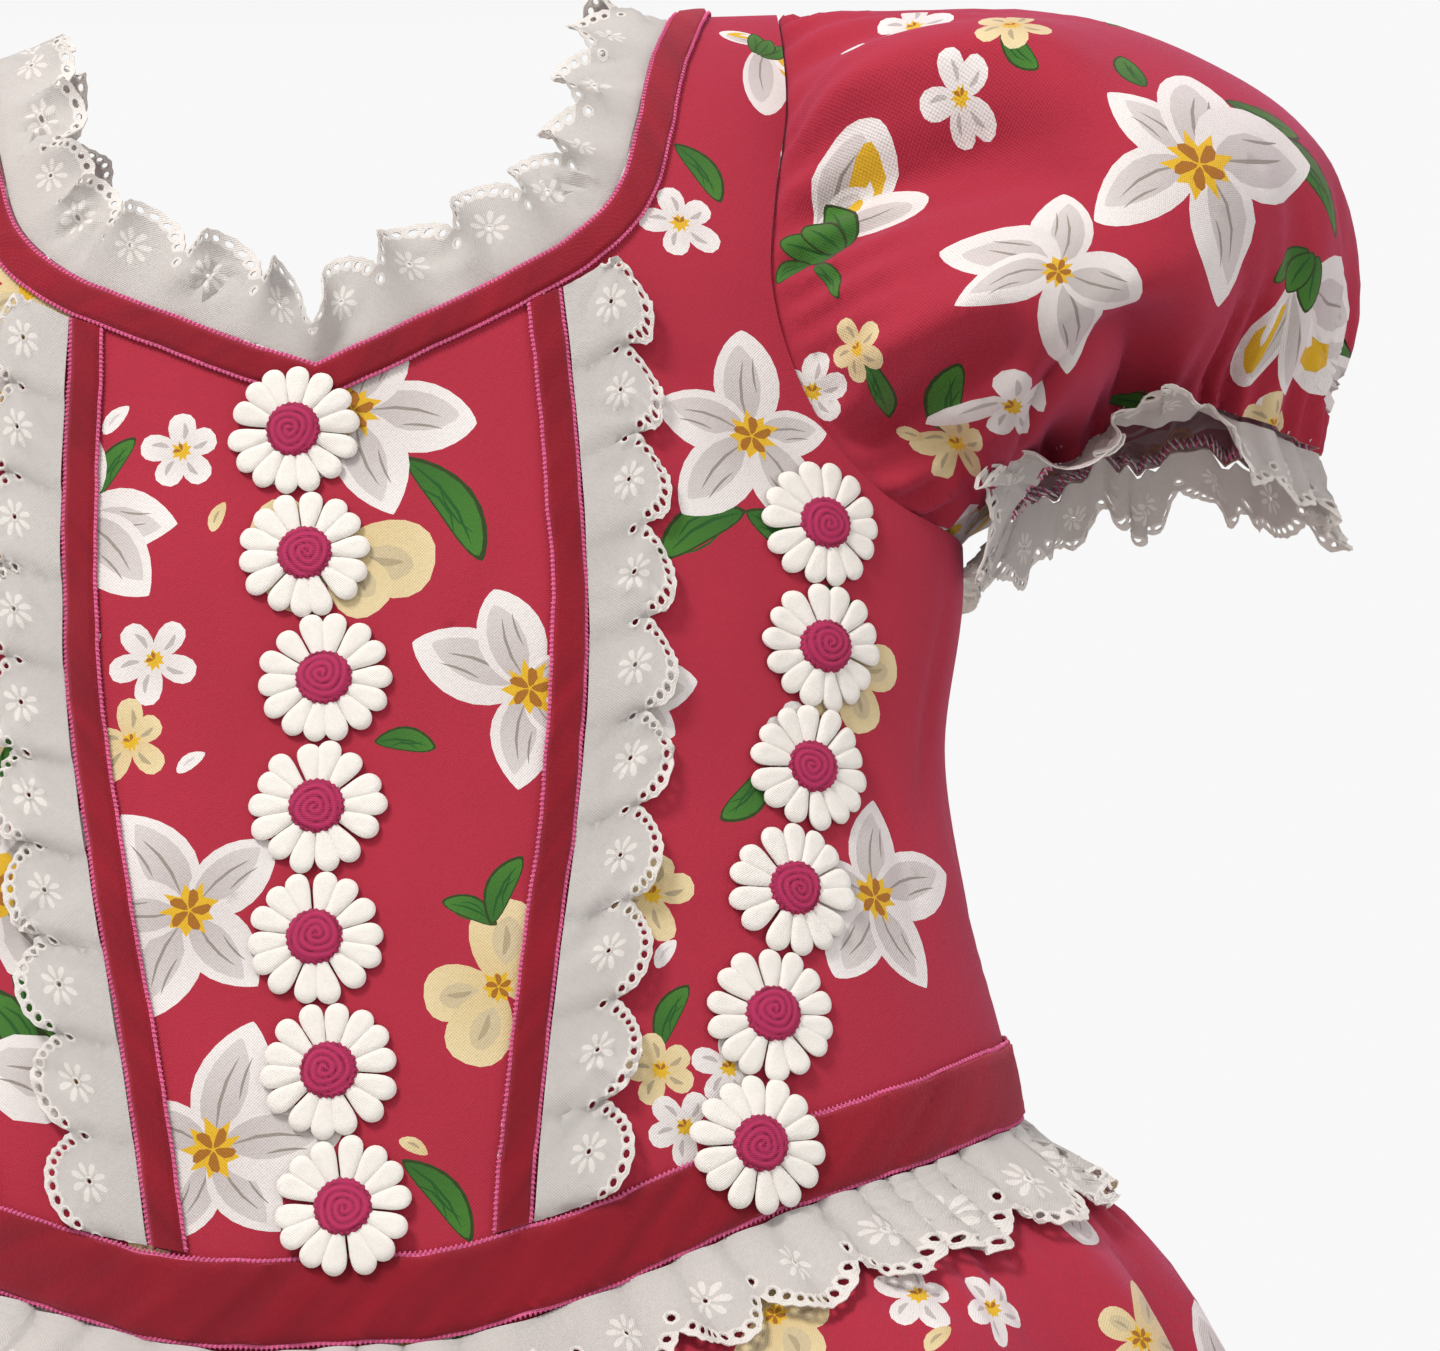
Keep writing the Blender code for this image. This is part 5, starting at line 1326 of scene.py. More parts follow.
for number, (node, outline) in enumerate(skirt_outlines.items()):
    avoid = [(*spot, 0.020) for spot in laid_by_hand] if node == "skirt_front" else ()
    smallest = 3.0 if node == "skirt_front" else 10.0
    stamps = scattered(skirt_at, outline, 31 + number, SKIRT_APART, avoid, smallest)
    if node == "skirt_front":
        stamps += front_stamps
    cotton_shell(
        node + "_cloth", node, outline, skirt_at, stamps, SKIRT_STEP, top_gathered(outline),
    )

# %% Sleeve surface
SLEEVE = np.array([
    (0.00, 0.0970, 0.000, 0.1270, 0.1210, 0.0360, 0.0340, 0.000),
    (0.14, 0.1240, 0.001, 0.1288, 0.1190, 0.0500, 0.0480, 0.000),
    (0.25, 0.1450, 0.004, 0.1300, 0.1176, 0.0550, 0.0530, 0.000),
    (0.36, 0.1665, 0.010, 0.1311, 0.1163, 0.0600, 0.0570, 0.000),
    (0.48, 0.1880, 0.021, 0.1322, 0.1151, 0.0620, 0.0590, 0.000),
    (0.60, 0.2065, 0.036, 0.1333, 0.1140, 0.0610, 0.0570, 0.001),
    (0.69, 0.2150, 0.050, 0.1341, 0.1131, 0.0560, 0.0520, 0.002),
    (0.77, 0.2170, 0.065, 0.1349, 0.1123, 0.0480, 0.0440, 0.004),
    (0.85, 0.2150, 0.080, 0.1357, 0.1117, 0.0380, 0.0340, 0.007),
    (0.93, 0.2070, 0.097, 0.1364, 0.1120, 0.0250, 0.0200, 0.009),
    (1.00, 0.2040, 0.106, 0.1372, 0.1145, 0.0210, 0.0150, 0.010),
])
SLEEVE_JOIN = 0.34
SLEEVE_FOOT = 0.02
SLEEVE_GAP = 0.0005
SLEEVE_CLEAR = 0.20
ARMHOLE_MIDDLE = np.array([0.1180, 0.0, -0.0700])
SLEEVE_GATHERS = 10
# Its main creases: share round the sleeve, start and end along it, half width, depth
CREASES = np.array([
    (0.135, 0.04, 0.42, 0.050, 0.0060),
    (0.300, 0.03, 0.62, 0.045, 0.0055),
    (0.420, 0.25, 0.95, 0.040, 0.0040),
    (0.700, 0.05, 0.45, 0.050, 0.0055),
    (0.860, 0.03, 0.50, 0.050, 0.0045),
])
GATHER_DEEP = 0.0022
CUFF_GATHERS = (0.70, 0.24)
HEAD_GATHERS = (0.03, 0.09, 0.42, 0.30)
CREASE_LEAN = 0.12
CREASE_START = 0.12
CREASE_END = 0.16
UNDER_ARM = (0.3, 0.6, 0.85)

# Folds that the puff falls into: rows of round and along the pattern, half width and
# half length, lean from upright in degrees, and depth
SLEEVE_FOLDS = np.array([
    (-0.068, -0.032, 0.0105, 0.0280, 4.0, 0.0100), (-0.050, -0.030, 0.0070, 0.0260, 2.0, -0.0024),
    (-0.104, -0.030, 0.0048, 0.0300, -9.0, 0.0062), (-0.094, -0.036, 0.0060, 0.0300, -9.0, -0.0034),
    (-0.090, -0.112, 0.0055, 0.0260, -17.0, 0.0056), (-0.077, -0.108, 0.0070, 0.0260, -17.0, -0.0026),
    (-0.118, -0.026, 0.0050, 0.0190, 34.0, 0.0040), (-0.112, -0.085, 0.0060, 0.0200, 24.0, 0.0040),
    (-0.046, -0.112, 0.0060, 0.0180, 16.0, 0.0030), (-0.018, -0.120, 0.0060, 0.0180, -15.0, 0.0033),
    (0.030, -0.060, 0.0070, 0.0240, -40.0, 0.0042), (0.055, -0.090, 0.0060, 0.0220, -25.0, 0.0042),
    (0.085, -0.070, 0.0070, 0.0220, -50.0, 0.0040), (0.105, -0.110, 0.0060, 0.0180, -10.0, 0.0036),
    (-0.015, -0.030, 0.0050, 0.0160, 15.0, 0.0024), (0.018, -0.028, 0.0050, 0.0160, -10.0, 0.0024),
])
SLEEVE_ROUND = 0.048
SLEEVE_LONG = 0.150
HEAD_PLEATS, HEAD_PLEAT_DEEP, HEAD_RUN = 37, 0.0016, 0.24
CUFF_PLEATS, CUFF_PLEAT_DEEP, CUFF_RUN = 31, 0.0017, 0.20


print("sleeve creases", len(CREASES), "and smaller folds", len(SLEEVE_FOLDS))

# %% Form of the sleeve
def armhole_frame(psi):
    """Points and normals of the armhole's edge, round the left sleeve.

    The angle psi is 0 at the shoulder, a quarter turn at the front and a half under the arm.
    """
    share = (psi % (2 * math.pi)) / math.pi
    at = np.where(share <= 1, share, 2 - share) * (ARM_POINTS - 1)
    steps = np.arange(ARM_POINTS)
    girth, length = (
        np.where(
            share <= 1,
            np.interp(at, steps, ARM_FRONT_EDGE[:, i]),
            np.interp(at, steps, ARM_BACK_EDGE[:, i]),
        )
        for i in (0, 1)
    )
    return bodice(girth, length), outward(bodice, girth, length)


def sleeve_body(psi, share):
    """Point of the left sleeve's inner face, without its gathers."""
    outer = np.stack([smooth(SLEEVE, 1, share), 0 * share, -smooth(SLEEVE, 2, share)], -1)
    inner = np.stack([smooth(SLEEVE, 3, share), 0 * share, -smooth(SLEEVE, 4, share)], -1)
    front, back = smooth(SLEEVE, 5, share), smooth(SLEEVE, 6, share)
    cos, sin = np.cos(psi)[..., None], np.sin(psi)
    depth = np.where(sin >= 0, front, back) * sin
    ring = (outer + inner) / 2 + (outer - inner) / 2 * cos
    ring = ring + np.stack([0 * depth, -depth, smooth(SLEEVE, 7, share) * sin**2], -1)
    hole, _ = armhole_frame(psi)
    weight = np.sin(math.pi / 2 * np.clip(share / SLEEVE_JOIN, 0, 1))[..., None]
    return hole * (1 - weight) + ring * weight


def sleeve_relief(psi, share):
    """How far gathers and creases move the sleeve's cloth outwards."""
    turn = (psi / (2 * math.pi)) % 1.0
    gathers = GATHER_DEEP * np.cos(SLEEVE_GATHERS * psi)
    cuff = ease((share - CUFF_GATHERS[0]) / CUFF_GATHERS[1])
    head = ease((share - HEAD_GATHERS[0]) / HEAD_GATHERS[1])
    head = head * ease((HEAD_GATHERS[2] - share) / HEAD_GATHERS[3])
    relief = gathers * (cuff + head * (0.5 + 0.5 * np.cos(psi)))
    for middle, start, end, half, deep in CREASES:
        away = (turn - middle - CREASE_LEAN * (share - start) + 0.5) % 1.0 - 0.5
        along = ease((share - start) / CREASE_START) * ease((end - share) / CREASE_END)
        relief = relief - deep * np.exp(-((away / half) ** 2)) * along
    under = ease((-np.cos(psi) - UNDER_ARM[0]) / UNDER_ARM[1])
    return relief * (1 - UNDER_ARM[2] * under)


def sleeve_cloth(psi, share):
    """Points of the left sleeve's outer face, and the directions into its cloth."""
    psi, share = np.broadcast_arrays(np.asarray(psi, float), share)

    def plain_normal(a, b, reach=1e-4):
        across = sleeve_body(a + reach, b) - sleeve_body(a - reach, b)
        low, high = np.clip(b - reach, 0, 1), np.clip(b + reach, 0, 1)
        along = sleeve_body(a, high) - sleeve_body(a, low)
        normal = np.cross(along, across)
        return normal / np.linalg.norm(normal, axis=-1, keepdims=True)

    normal = plain_normal(psi, np.clip(share, SLEEVE_FOOT, 1))
    return sleeve_body(psi, share) + normal * sleeve_relief(psi, share)[..., None], normal


def into_hole(psi, reach=0.05):
    """Directions along the bodice's cloth, from the armhole's edge into the hole."""
    hole, hole_normal = armhole_frame(psi)
    along = armhole_frame(psi + reach)[0] - armhole_frame(psi - reach)[0]
    out = np.cross(hole_normal, along)
    out /= np.linalg.norm(out, axis=-1, keepdims=True)
    return out * np.sign((out * (ARMHOLE_MIDDLE - hole)).sum(-1, keepdims=True))


print("sleeve clears the armhole by", SLEEVE_GAP * 1000, "mm")

# %% Gathers of the sleeve
def gathers_on(outline):
    """Extra points at both ends of a sleeve's pattern, where the gathers crowd."""
    left, right = outline[:, 0].min() + 0.001, outline[:, 0].max() - 0.001
    lines = []
    for i, down in enumerate([*np.arange(0.0012, 0.024, 0.0020), *np.arange(0.126, 0.1495, 0.0019)]):
        across = np.arange(left + (i % 2) * 0.0009, right, 0.0019)
        lines.append(np.column_stack([across, np.full(len(across), -down)]))
    return np.concatenate(lines)


def sleeve_gathers(psi, share):
    """The fine gathers that fan out from the armhole and crowd above the cuff."""
    head = np.cos(HEAD_PLEATS * psi + 2.1 * np.sin(3 * psi + 0.7) + 1.1 * np.sin(7 * psi))
    cuff = np.cos(CUFF_PLEATS * psi + 1.9 * np.sin(4 * psi) + 1.2 * np.sin(9 * psi + 2.0))
    near_head = ease(share / 0.05) * np.exp(-((share / HEAD_RUN) ** 2))
    near_cuff = np.exp(-(((1 - share) / CUFF_RUN) ** 2))
    uneven_head = 0.65 + 0.35 * np.sin(5 * psi + 1.0)
    uneven_cuff = 0.70 + 0.30 * np.sin(6 * psi + 0.4)
    at_head = HEAD_PLEAT_DEEP * head * near_head * uneven_head
    return at_head + CUFF_PLEAT_DEEP * cuff * near_cuff * uneven_cuff


def sleeve_face(psi, share):
    """The left sleeve's inner face with its folds, set just clear of the armhole."""
    outer, inward = sleeve_cloth(psi, share)
    normal = -inward
    folds = crease_depth(SLEEVE_FOLDS, -psi * SLEEVE_ROUND, -share * SLEEVE_LONG)
    folds = folds * ease(share / 0.07) * ease((1 - share) / 0.08) + sleeve_gathers(psi, share)
    outer = outer + normal * folds[:, None]
    out = into_hole(psi)
    back = np.clip((normal * out).sum(axis=-1, keepdims=True), 0, None)
    clear = (SLEEVE_GAP + PANEL_THICK * back) * (1 - ease(share / SLEEVE_CLEAR))[:, None]
    return outer + out * clear - normal * PANEL_THICK, normal


def sleeve_at(flat):
    """Points and normals on the left sleeve of places of its pattern."""
    return sleeve_face(-flat[:, 0] / SLEEVE_ROUND, np.clip(-flat[:, 1] / SLEEVE_LONG, 0, 1))


print("sleeve", round(SLEEVE_LONG * 1000), "mm from armhole to cuff")

# %% Sleeves
SLEEVE_STEP, PLAIN_SLEEVE_STEP = 0.0029, 0.0040
SLEEVE_APART = 0.046
half = SLEEVE_ROUND * math.pi - SEAM_GAP
SLEEVE_OUTLINE = divided_ring(
    np.array([(-half, -SLEEVE_LONG), (half, -SLEEVE_LONG), (half, 0.0), (-half, 0.0)]), FRONT_STEP
)
SLEEVE_MOTIFS = [
    ("blossom", (125, -14), 8.5, 15.0),
    ("leaf", (141, -28), (147, -38), 5.0),
    ("cream blossom", (143, -26), 8.5, 40.0),
    ("blossom", (132, -40), 8.0, 75.0),
    ("bell", (101, -60), [(116, -41), (125, -57), (113, -52)], (-6, -6)),
    ("leaf", (100, -66), (90, -71), 4.0),
    ("leaf", (101, -67), (105, -77), 4.0),
    ("blossom", (98, -94), 8.0, 25.0),
    ("leaf", (109, -88), (114, -99), 5.0),
    ("cream blossom", (108, -88), 7.0, 65.0),
    ("leaf", (126, -104), (128, -92), 6.0),
    ("cream blossom", (127, -105), 8.0, 10.0),
    ("blossom", (138, -102), 8.5, 35.0),
    ("half", (147, -81), [(150, -64), (125, -72), (127, -85), (148, -97), (162, -87)]),
    ("leaf", (190, -52), (207, -67), 8.5),
    ("leaf", (184, -44), (200, -49), 7.0),
    ("leaf", (168, -42), (164, -33), 6.0),
    ("bloom", (176, -61), [(160, -44), (178, -38), (201, -55), (179, -85), (155, -71)]),
    ("bell", (197, -77), [(186, -94), (197, -95), (207, -91), (212, -78)], (-2, 7)),
    ("petal", (118, -103), 6.5, 30.0),
    ("petal", (193, -98), 6.5, -25.0),
    ("leaf", (160, -97), (174, -96), 5.5),
    ("cream blossom", (192, -107), 8.0, 20.0),
    ("petal", (112, -20), 6.5, 10.0),
]
seen = seen_places(sleeve_at, SLEEVE_OUTLINE)
laid_by_hand = [find(seen, *motif[1]) for motif in SLEEVE_MOTIFS]
sleeve_stamps = placed(sleeve_at, seen, SLEEVE_MOTIFS)
avoid = [(*spot, 0.017) for spot in laid_by_hand]
hidden = scattered(sleeve_at, SLEEVE_OUTLINE, 41, SLEEVE_APART, avoid)
hidden = [entry for entry in hidden if entry[3][0] > -0.012 or entry[3][0] < -0.140]
cotton_shell(
    "sleeve_left_cloth", "sleeve_left", SLEEVE_OUTLINE, sleeve_at, hidden + sleeve_stamps, SLEEVE_STEP,
    gathers_on(SLEEVE_OUTLINE),
)
sleeve_right_at = mirror_at(sleeve_at)
right_outline = SLEEVE_OUTLINE[::-1] * (-1.0, 1.0)
cotton_shell(
    "sleeve_right_cloth", "sleeve_right", right_outline, sleeve_right_at,
    scattered(sleeve_right_at, right_outline, 42, SLEEVE_APART, (), 4.0), PLAIN_SLEEVE_STEP,
    gathers_on(right_outline),
)

# %% [markdown]
# ## Velvet ribbon
#
# Ribbon covers the neckline, the princess seams and the waist seam. Velvet ribbon is woven
# with a flat selvedge on each side and a raised pile between, so its section is a low
# cushion with thin bright edges. Ribbon that is sewn along a curve puckers on the inside of
# the bend, which lifts slanting ripples in the pile and makes its edge wander a little.

# %% Ribbon
VELVET_RED, SELVEDGE = (130, 15, 30), (220, 104, 146)
SELVEDGE_WIDE = 0.00060
SELVEDGE_THICK = 0.00040
PILE_START = 0.0011
RIBBON_STEP = 0.0016
STRAY_SLOW, STRAY_FINE = 0.00022, 0.00009


def ribbon_shares(wide):
    """Places across a ribbon, closest at its edges, from -1 to 1."""
    edge, pile = SELVEDGE_WIDE * 2 / wide, PILE_START * 2 / wide
    inner = np.linspace(1 - pile, 0, 5)[:-1]
    half = np.concatenate([[1, 1 - edge / 2, 1 - edge, 1 - pile * 0.72], inner])
    return np.concatenate([-half, [0], half[::-1]])


def uneven(at, period, seed):
    """A smooth uneven wave from -1 to 1, along a length."""
    phase = 2 * math.pi * at / period + seed
    return 0.5 * np.sin(phase) + 0.3 * np.sin(phase * 1.73 + seed * 2) + 0.2 * np.sin(phase * 0.57 - seed)


def wandering(at, seed):
    """How far the edge of a ribbon strays from its line."""
    return uneven(at, 0.045, seed) * STRAY_SLOW + uneven(at, 0.013, seed + 3) * STRAY_FINE


def grid_pattern(along, across):
    """Places and triangles of a strip, divided at these values along and across it."""
    flat = np.stack(np.meshgrid(along, across), axis=-1).reshape(-1, 2)
    columns = len(along)
    row, column = np.meshgrid(np.arange(len(across) - 1), np.arange(columns - 1), indexing="ij")
    first = (row * columns + column).ravel()
    return flat, np.concatenate([
        np.column_stack([first, first + 1, first + columns + 1]),
        np.column_stack([first, first + columns + 1, first + columns]),
    ])


def ribbon(
    name, node, surface, long, wide, seed, pucker=0.00026, slant=0.6, mitre=None, stray=1.0
):
    """Velvet along a strip. The surface takes metres along and across, and gives both."""
    along = np.linspace(0, long, int(long / RIBBON_STEP) + 1)
    across = ribbon_shares(wide) * wide / 2
    flat, faces = grid_pattern(along, across)
    x, y = flat[:, 0], flat[:, 1]
    point, normal = surface(x, y + stray * wandering(x, seed))
    inward = wide / 2 - np.abs(y)
    pile = ease((inward - SELVEDGE_WIDE * 0.9) / (PILE_START - SELVEDGE_WIDE * 0.9))
    crown = 0.00012 * (1 - (2 * y / wide) ** 2)
    ripple_height = pucker * uneven(x + slant * y, 0.011, seed + 1) * (0.5 + 0.5 * uneven(x, 0.07, seed))
    top = RIBBON_FOOT + SELVEDGE_THICK + (RIBBON_TOP - RIBBON_FOOT - SELVEDGE_THICK - crown.max()) * pile
    top = top + (crown + ripple_height) * pile
    if mitre is not None:
        top = top - 0.0004 * pile * np.exp(-(((x - mitre) / 0.0006) ** 2))
    middle = np.abs(flat[faces][..., 1].mean(axis=1))
    edge = (middle > wide / 2 - SELVEDGE_WIDE)[:, None, None]
    colours = np.where(edge, linear(SELVEDGE), linear(VELVET_RED)) * np.ones((len(faces), 3, 1))
    thing = shell(name, flat, faces, lambda _: (point, normal), RIBBON_FOOT, top, VELVET, colours)
    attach(thing, "dress")
    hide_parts(node)
    print(name, round(long * 1000), "mm long, triangles", len(thing.data.polygons))


print("ribbon is divided at", len(ribbon_shares(NECK_RIBBON_WIDE)), "places across")

# %% Ribbon round the neckline
def neck_frame(count=160):
    """The left half of the neckline from the centre front to the zip, evenly divided."""
    front, back = divided(NECK_FRONT, count), divided(NECK_BACK, count)
    back[0, 0] = math.pi - GIRTH_GAP * 2
    front[-1, 1] = 0.0
    back = back[::-1][1:]
    parts = [across_cloth(front), across_cloth(back)]
    point, normal, up = (np.concatenate(pair) for pair in zip(*parts))
    up[0] = up[0] * (0, 1, 1)
    up[0] /= np.linalg.norm(up[0])
    facing = np.sign((up * (point * (-1.0, 0, 0) + (0, 0, 0.02))).sum(1, keepdims=True))
    steps = np.linalg.norm(np.diff(point, axis=0), axis=1)
    run = np.concatenate([[0], np.cumsum(steps)])
    return np.concatenate([front, back]), point, normal, up * facing, run


NECK_LINE, NECK_POINT, NECK_NORMAL, NECK_UP, NECK_RUN = neck_frame()
NECK_HALF = float(NECK_RUN[-1])
NECK_MITRE = math.radians(23)


def along_neck(reach, *tables):
    """Rows of tables at distances from the centre front, and which side that is."""
    side = np.where(reach < 0, -1.0, 1.0)
    rows = [
        np.column_stack([np.interp(np.abs(reach), NECK_RUN, table[:, i]) for i in range(table.shape[1])])
        for table in tables
    ]
    return side, rows


def neck_strip(x, y):
    """The neck ribbon's base: distance from the right end, and across, down from the edge."""
    reach = x - NECK_HALF
    side, (line, up) = along_neck(reach, NECK_LINE, NECK_UP)
    down = NECK_RIBBON_WIDE / 2 + y
    near = np.clip(1 - np.abs(reach) / 0.0016, 0, 1)
    down = down * (1 + near * (1 / math.cos(NECK_MITRE) - 1))
    moved = slide(line, -up * down[:, None])
    moved[:, 0] = np.where(np.abs(reach) < 1e-6, 0.0, moved[:, 0])
    point, normal = bodice(moved[:, 0], moved[:, 1]), outward(bodice, moved[:, 0], moved[:, 1])
    flip = np.column_stack([side, 0 * side + 1, 0 * side + 1])
    return point * flip, normal * flip


ribbon(
    "neck_ribbon_velvet", "neck_ribbon", neck_strip, 2 * NECK_HALF, NECK_RIBBON_WIDE, 2.0,
    mitre=NECK_HALF,
)

# %% Ribbon over the princess seams
PRINCESS_LONG = 0.186


def princess_strip(x, y):
    """The left princess ribbon's base, from the neckline down."""
    girth, length = (part[:, 0] for part in beside_seam(y[:, None], x[:, None] / PRINCESS_LONG))
    return bodice(girth, length), outward(bodice, girth, length)


def on_right(surface):
    """The same strip or ruffle on the other side of the dress."""
    return lambda x, y: np.asarray(surface(x, y)) * (-1.0, 1.0, 1.0)


ribbon(
    "princess_ribbon_left_velvet", "princess_ribbon_left", princess_strip,
    PRINCESS_LONG, PRINCESS_RIBBON_WIDE, 5.0,
)
ribbon(
    "princess_ribbon_right_velvet", "princess_ribbon_right", on_right(princess_strip),
    PRINCESS_LONG, PRINCESS_RIBBON_WIDE, 9.0,
)

# %% Waistband
WAIST_END = math.pi - GIRTH_GAP * 2
WAIST_TURNS = np.linspace(-WAIST_END, WAIST_END, 801)
waist_line = bodice(WAIST_TURNS, waist_length(WAIST_TURNS))
WAIST_RUN = np.concatenate([[0], np.cumsum(np.linalg.norm(np.diff(waist_line, axis=0), axis=1))])


def waist_strip(x, y):
    """The waistband's base, from the zip round the front to the zip."""
    girth = np.interp(x, WAIST_RUN, WAIST_TURNS)
    length = waist_length(girth) + y
    return bodice(girth, length), outward(bodice, girth, length)


ribbon(
    "waistband_velvet", "waistband", waist_strip, float(WAIST_RUN[-1]), WAIST_RIBBON_WIDE, 1.3,
    pucker=0.00060, slant=1.1, stray=2.4,
)

# %% [markdown]
# ## Eyelet lace
#
# Broderie edging is fine cotton with holes punched in it and stitched round: a row of small
# holes follows each scallop, and an eight rayed daisy round a pin hole fills it. One scallop
# is triangulated flat, with its holes left open and its stitched rims as raised rings, and
# repeated along a strip. The strip is then laid on a ruffle, which is a surface of its own.

# %% One scallop, flat
GROUND_WHITE, THREAD_WHITE = (212, 206, 202), (236, 231, 226)
HOLE_ROW = 9
HOLE_IN = 0.00165
HOLE = 0.00066
RIM = 0.00128
PIN_HOLE, PIN_RIM = 0.00045, 0.00085
VALLEY_HOLE_IN = 0.0028
DAISY_RAYS = 8
RAY_IN, RAY_OUT, RAY_WIDE = 0.0010, 0.0037, 0.00115
NOTCH = 0.00030
EDGE_POWER = 2.3
RIM_LIFT = 0.00026
SCALLOP_STEP = 0.0024


def ring_of(middle, reach, count=7):
    """A regular ring round a middle."""
    angle = 2 * math.pi * np.arange(count) / count
    return middle + reach * np.column_stack([np.cos(angle), np.sin(angle)])


def scallop_curve(shares):
    """Points of one scallop's edge and its inward directions, at shares of its length."""
    x = np.linspace(0, SCALLOP, 400)
    y = LACE_WIDE - SCALLOP_DEEP * np.abs(2 * x / SCALLOP - 1) ** EDGE_POWER
    run = np.concatenate([[0], np.cumsum(np.hypot(np.diff(x), np.diff(y)))])
    at = np.asarray(shares) * run[-1]
    slope = np.interp(at, run, np.gradient(y, x))
    inward = np.column_stack([slope, -np.ones(len(at))]) / np.hypot(slope, 1)[:, None]
    return np.column_stack([np.interp(at, run, x), np.interp(at, run, y)]), inward


def scallop_unit():
    """Places and triangles of one scallop, with each place's lift and each face's thread."""
    shares = np.linspace(0, 1, 4 * HOLE_ROW + 1)
    edge, inward = scallop_curve(shares)
    edge = edge + inward * (NOTCH * (0.5 + 0.5 * np.cos(2 * math.pi * HOLE_ROW * shares)))[:, None]
    valley = LACE_WIDE - SCALLOP_DEEP - NOTCH
    edge[0], edge[-1] = (0.0, valley), (SCALLOP, valley)
    sides = np.linspace(0, valley, 8)
    foot = np.column_stack([np.linspace(0, SCALLOP, 10), np.zeros(10)])
    right = np.column_stack([np.full(8, SCALLOP), sides])
    left = np.column_stack([np.zeros(8), sides])[::-1]
    outline = np.concatenate([foot[:-1], right[:-1], edge[::-1][:-1], left[:-1]])
    eyes, eyes_in = scallop_curve((np.arange(HOLE_ROW) + 0.5) / HOLE_ROW)
    eyes = eyes + eyes_in * HOLE_IN
    valleys = np.array([(0.0, valley - VALLEY_HOLE_IN), (SCALLOP, valley - VALLEY_HOLE_IN)])
    daisy = np.array([SCALLOP / 2, LACE_WIDE * 0.52])
    middles = np.concatenate([eyes, valleys, [daisy]])
    inner = np.array([HOLE] * (len(middles) - 1) + [PIN_HOLE])
    outer = np.array([RIM] * (len(middles) - 1) + [PIN_RIM])
    holes = [ring_of(middle, reach) for middle, reach in zip(middles, inner)]
    rims = [ring_of(middle, reach) for middle, reach in zip(middles, (inner + outer) / 2)]
    rims += [ring_of(middle, reach) for middle, reach in zip(middles, outer)]
    turns = 2 * math.pi * (np.arange(DAISY_RAYS) + 0.3) / DAISY_RAYS
    rays = [
        petal_ring(daisy + RAY_IN * way, daisy + RAY_OUT * way, RAY_WIDE, 0.45, 0, 4)
        for way in np.column_stack([np.cos(turns), np.sin(turns)])
    ]
    flat, faces = triangulated(outline, [*rims, *rays], SCALLOP_STEP, holes)

    def away_from(places):
        """Distance from the nearest hole's middle, as a share of the way over its rim."""
        far = np.linalg.norm(places[:, None] - middles, axis=2)
        return ((far - inner) / (outer - inner)).min(axis=1)

    face_middles = flat[faces].mean(axis=1)
    thread = away_from(face_middles) < 0.98
    lift = RIM_LIFT * np.clip(1 - np.abs(away_from(flat) - 0.5) / 0.48, 0, 1)
    for ray in rays:
        thread |= inside(ray, face_middles)
        near = np.linalg.norm(flat - ray.mean(axis=0), axis=1) < 0.0010
        lift = np.maximum(lift, RIM_LIFT * near)
    border = scallop_curve(np.linspace(0, 1, 60))[0]
    from_edge = np.linalg.norm(face_middles[:, None] - border, axis=2).min(axis=1)
    return flat, faces, lift, thread | (from_edge < HOLE_IN * 0.62)


SCALLOP_UNIT = scallop_unit()
print("one scallop has", len(SCALLOP_UNIT[1]), "triangles")

# %% A strip of scallops on a ruffle
LACE_CLOTH = 0.00030


def scallop_strip(count):
    """A row of scallops joined at their sides."""
    flat, faces, lift, thread = SCALLOP_UNIT
    places = np.concatenate([flat + (i * SCALLOP, 0) for i in range(count)])
    every = np.concatenate([faces + i * len(flat) for i in range(count)])
    keys = np.round(places / 2e-6).astype(np.int64)
    _, first, joined = np.unique(keys, axis=0, return_index=True, return_inverse=True)
    joined = joined.reshape(-1)
    return places[first], joined[every], np.tile(lift, count)[first], np.tile(thread, count)


def sheet_normals(surface, x, y, reach=5e-5):
    """Unit normals of a strip's surface, by small steps along and across it."""
    along = surface(x + reach, y) - surface(x - reach, y)
    across = surface(x, y + reach) - surface(x, y - reach)
    normal = np.cross(along, across)
    return normal / np.linalg.norm(normal, axis=1, keepdims=True)


def lace(name, node, surface, count, sign=1.0):
    """Eyelet lace of so many scallops on a surface of metres along and across."""
    flat, faces, lift, thread = scallop_strip(count)
    x, y = flat[:, 0], flat[:, 1]
    point, normal = surface(x, y), sheet_normals(surface, x, y) * sign
    tint = np.where(thread[:, None, None], linear(THREAD_WHITE), linear(GROUND_WHITE))
    colours = tint * np.ones((len(faces), 3, 1))
    half = LACE_CLOTH / 2
    thing = shell(
        name, flat, faces, lambda _: (point, normal), -half, half, BATISTE, colours, lambda c: c, lift
    )
    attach(thing, "dress")
    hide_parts(node)
    print(name, count, "scallops, triangles", len(thing.data.polygons))


def drawn_between(seed, count, low, high):
    """So many sizes between two values, by a seeded draw, the last as the first."""
    sizes = np.random.default_rng(seed).uniform(low, high, count)
    sizes[-1] = sizes[0]
    return sizes


def along_waves(x, sizes):
    """The size that belongs to each place of a strip, blended between its scallops."""
    at = x / SCALLOP
    return np.interp(at, np.arange(len(sizes)) + 0.5, sizes)


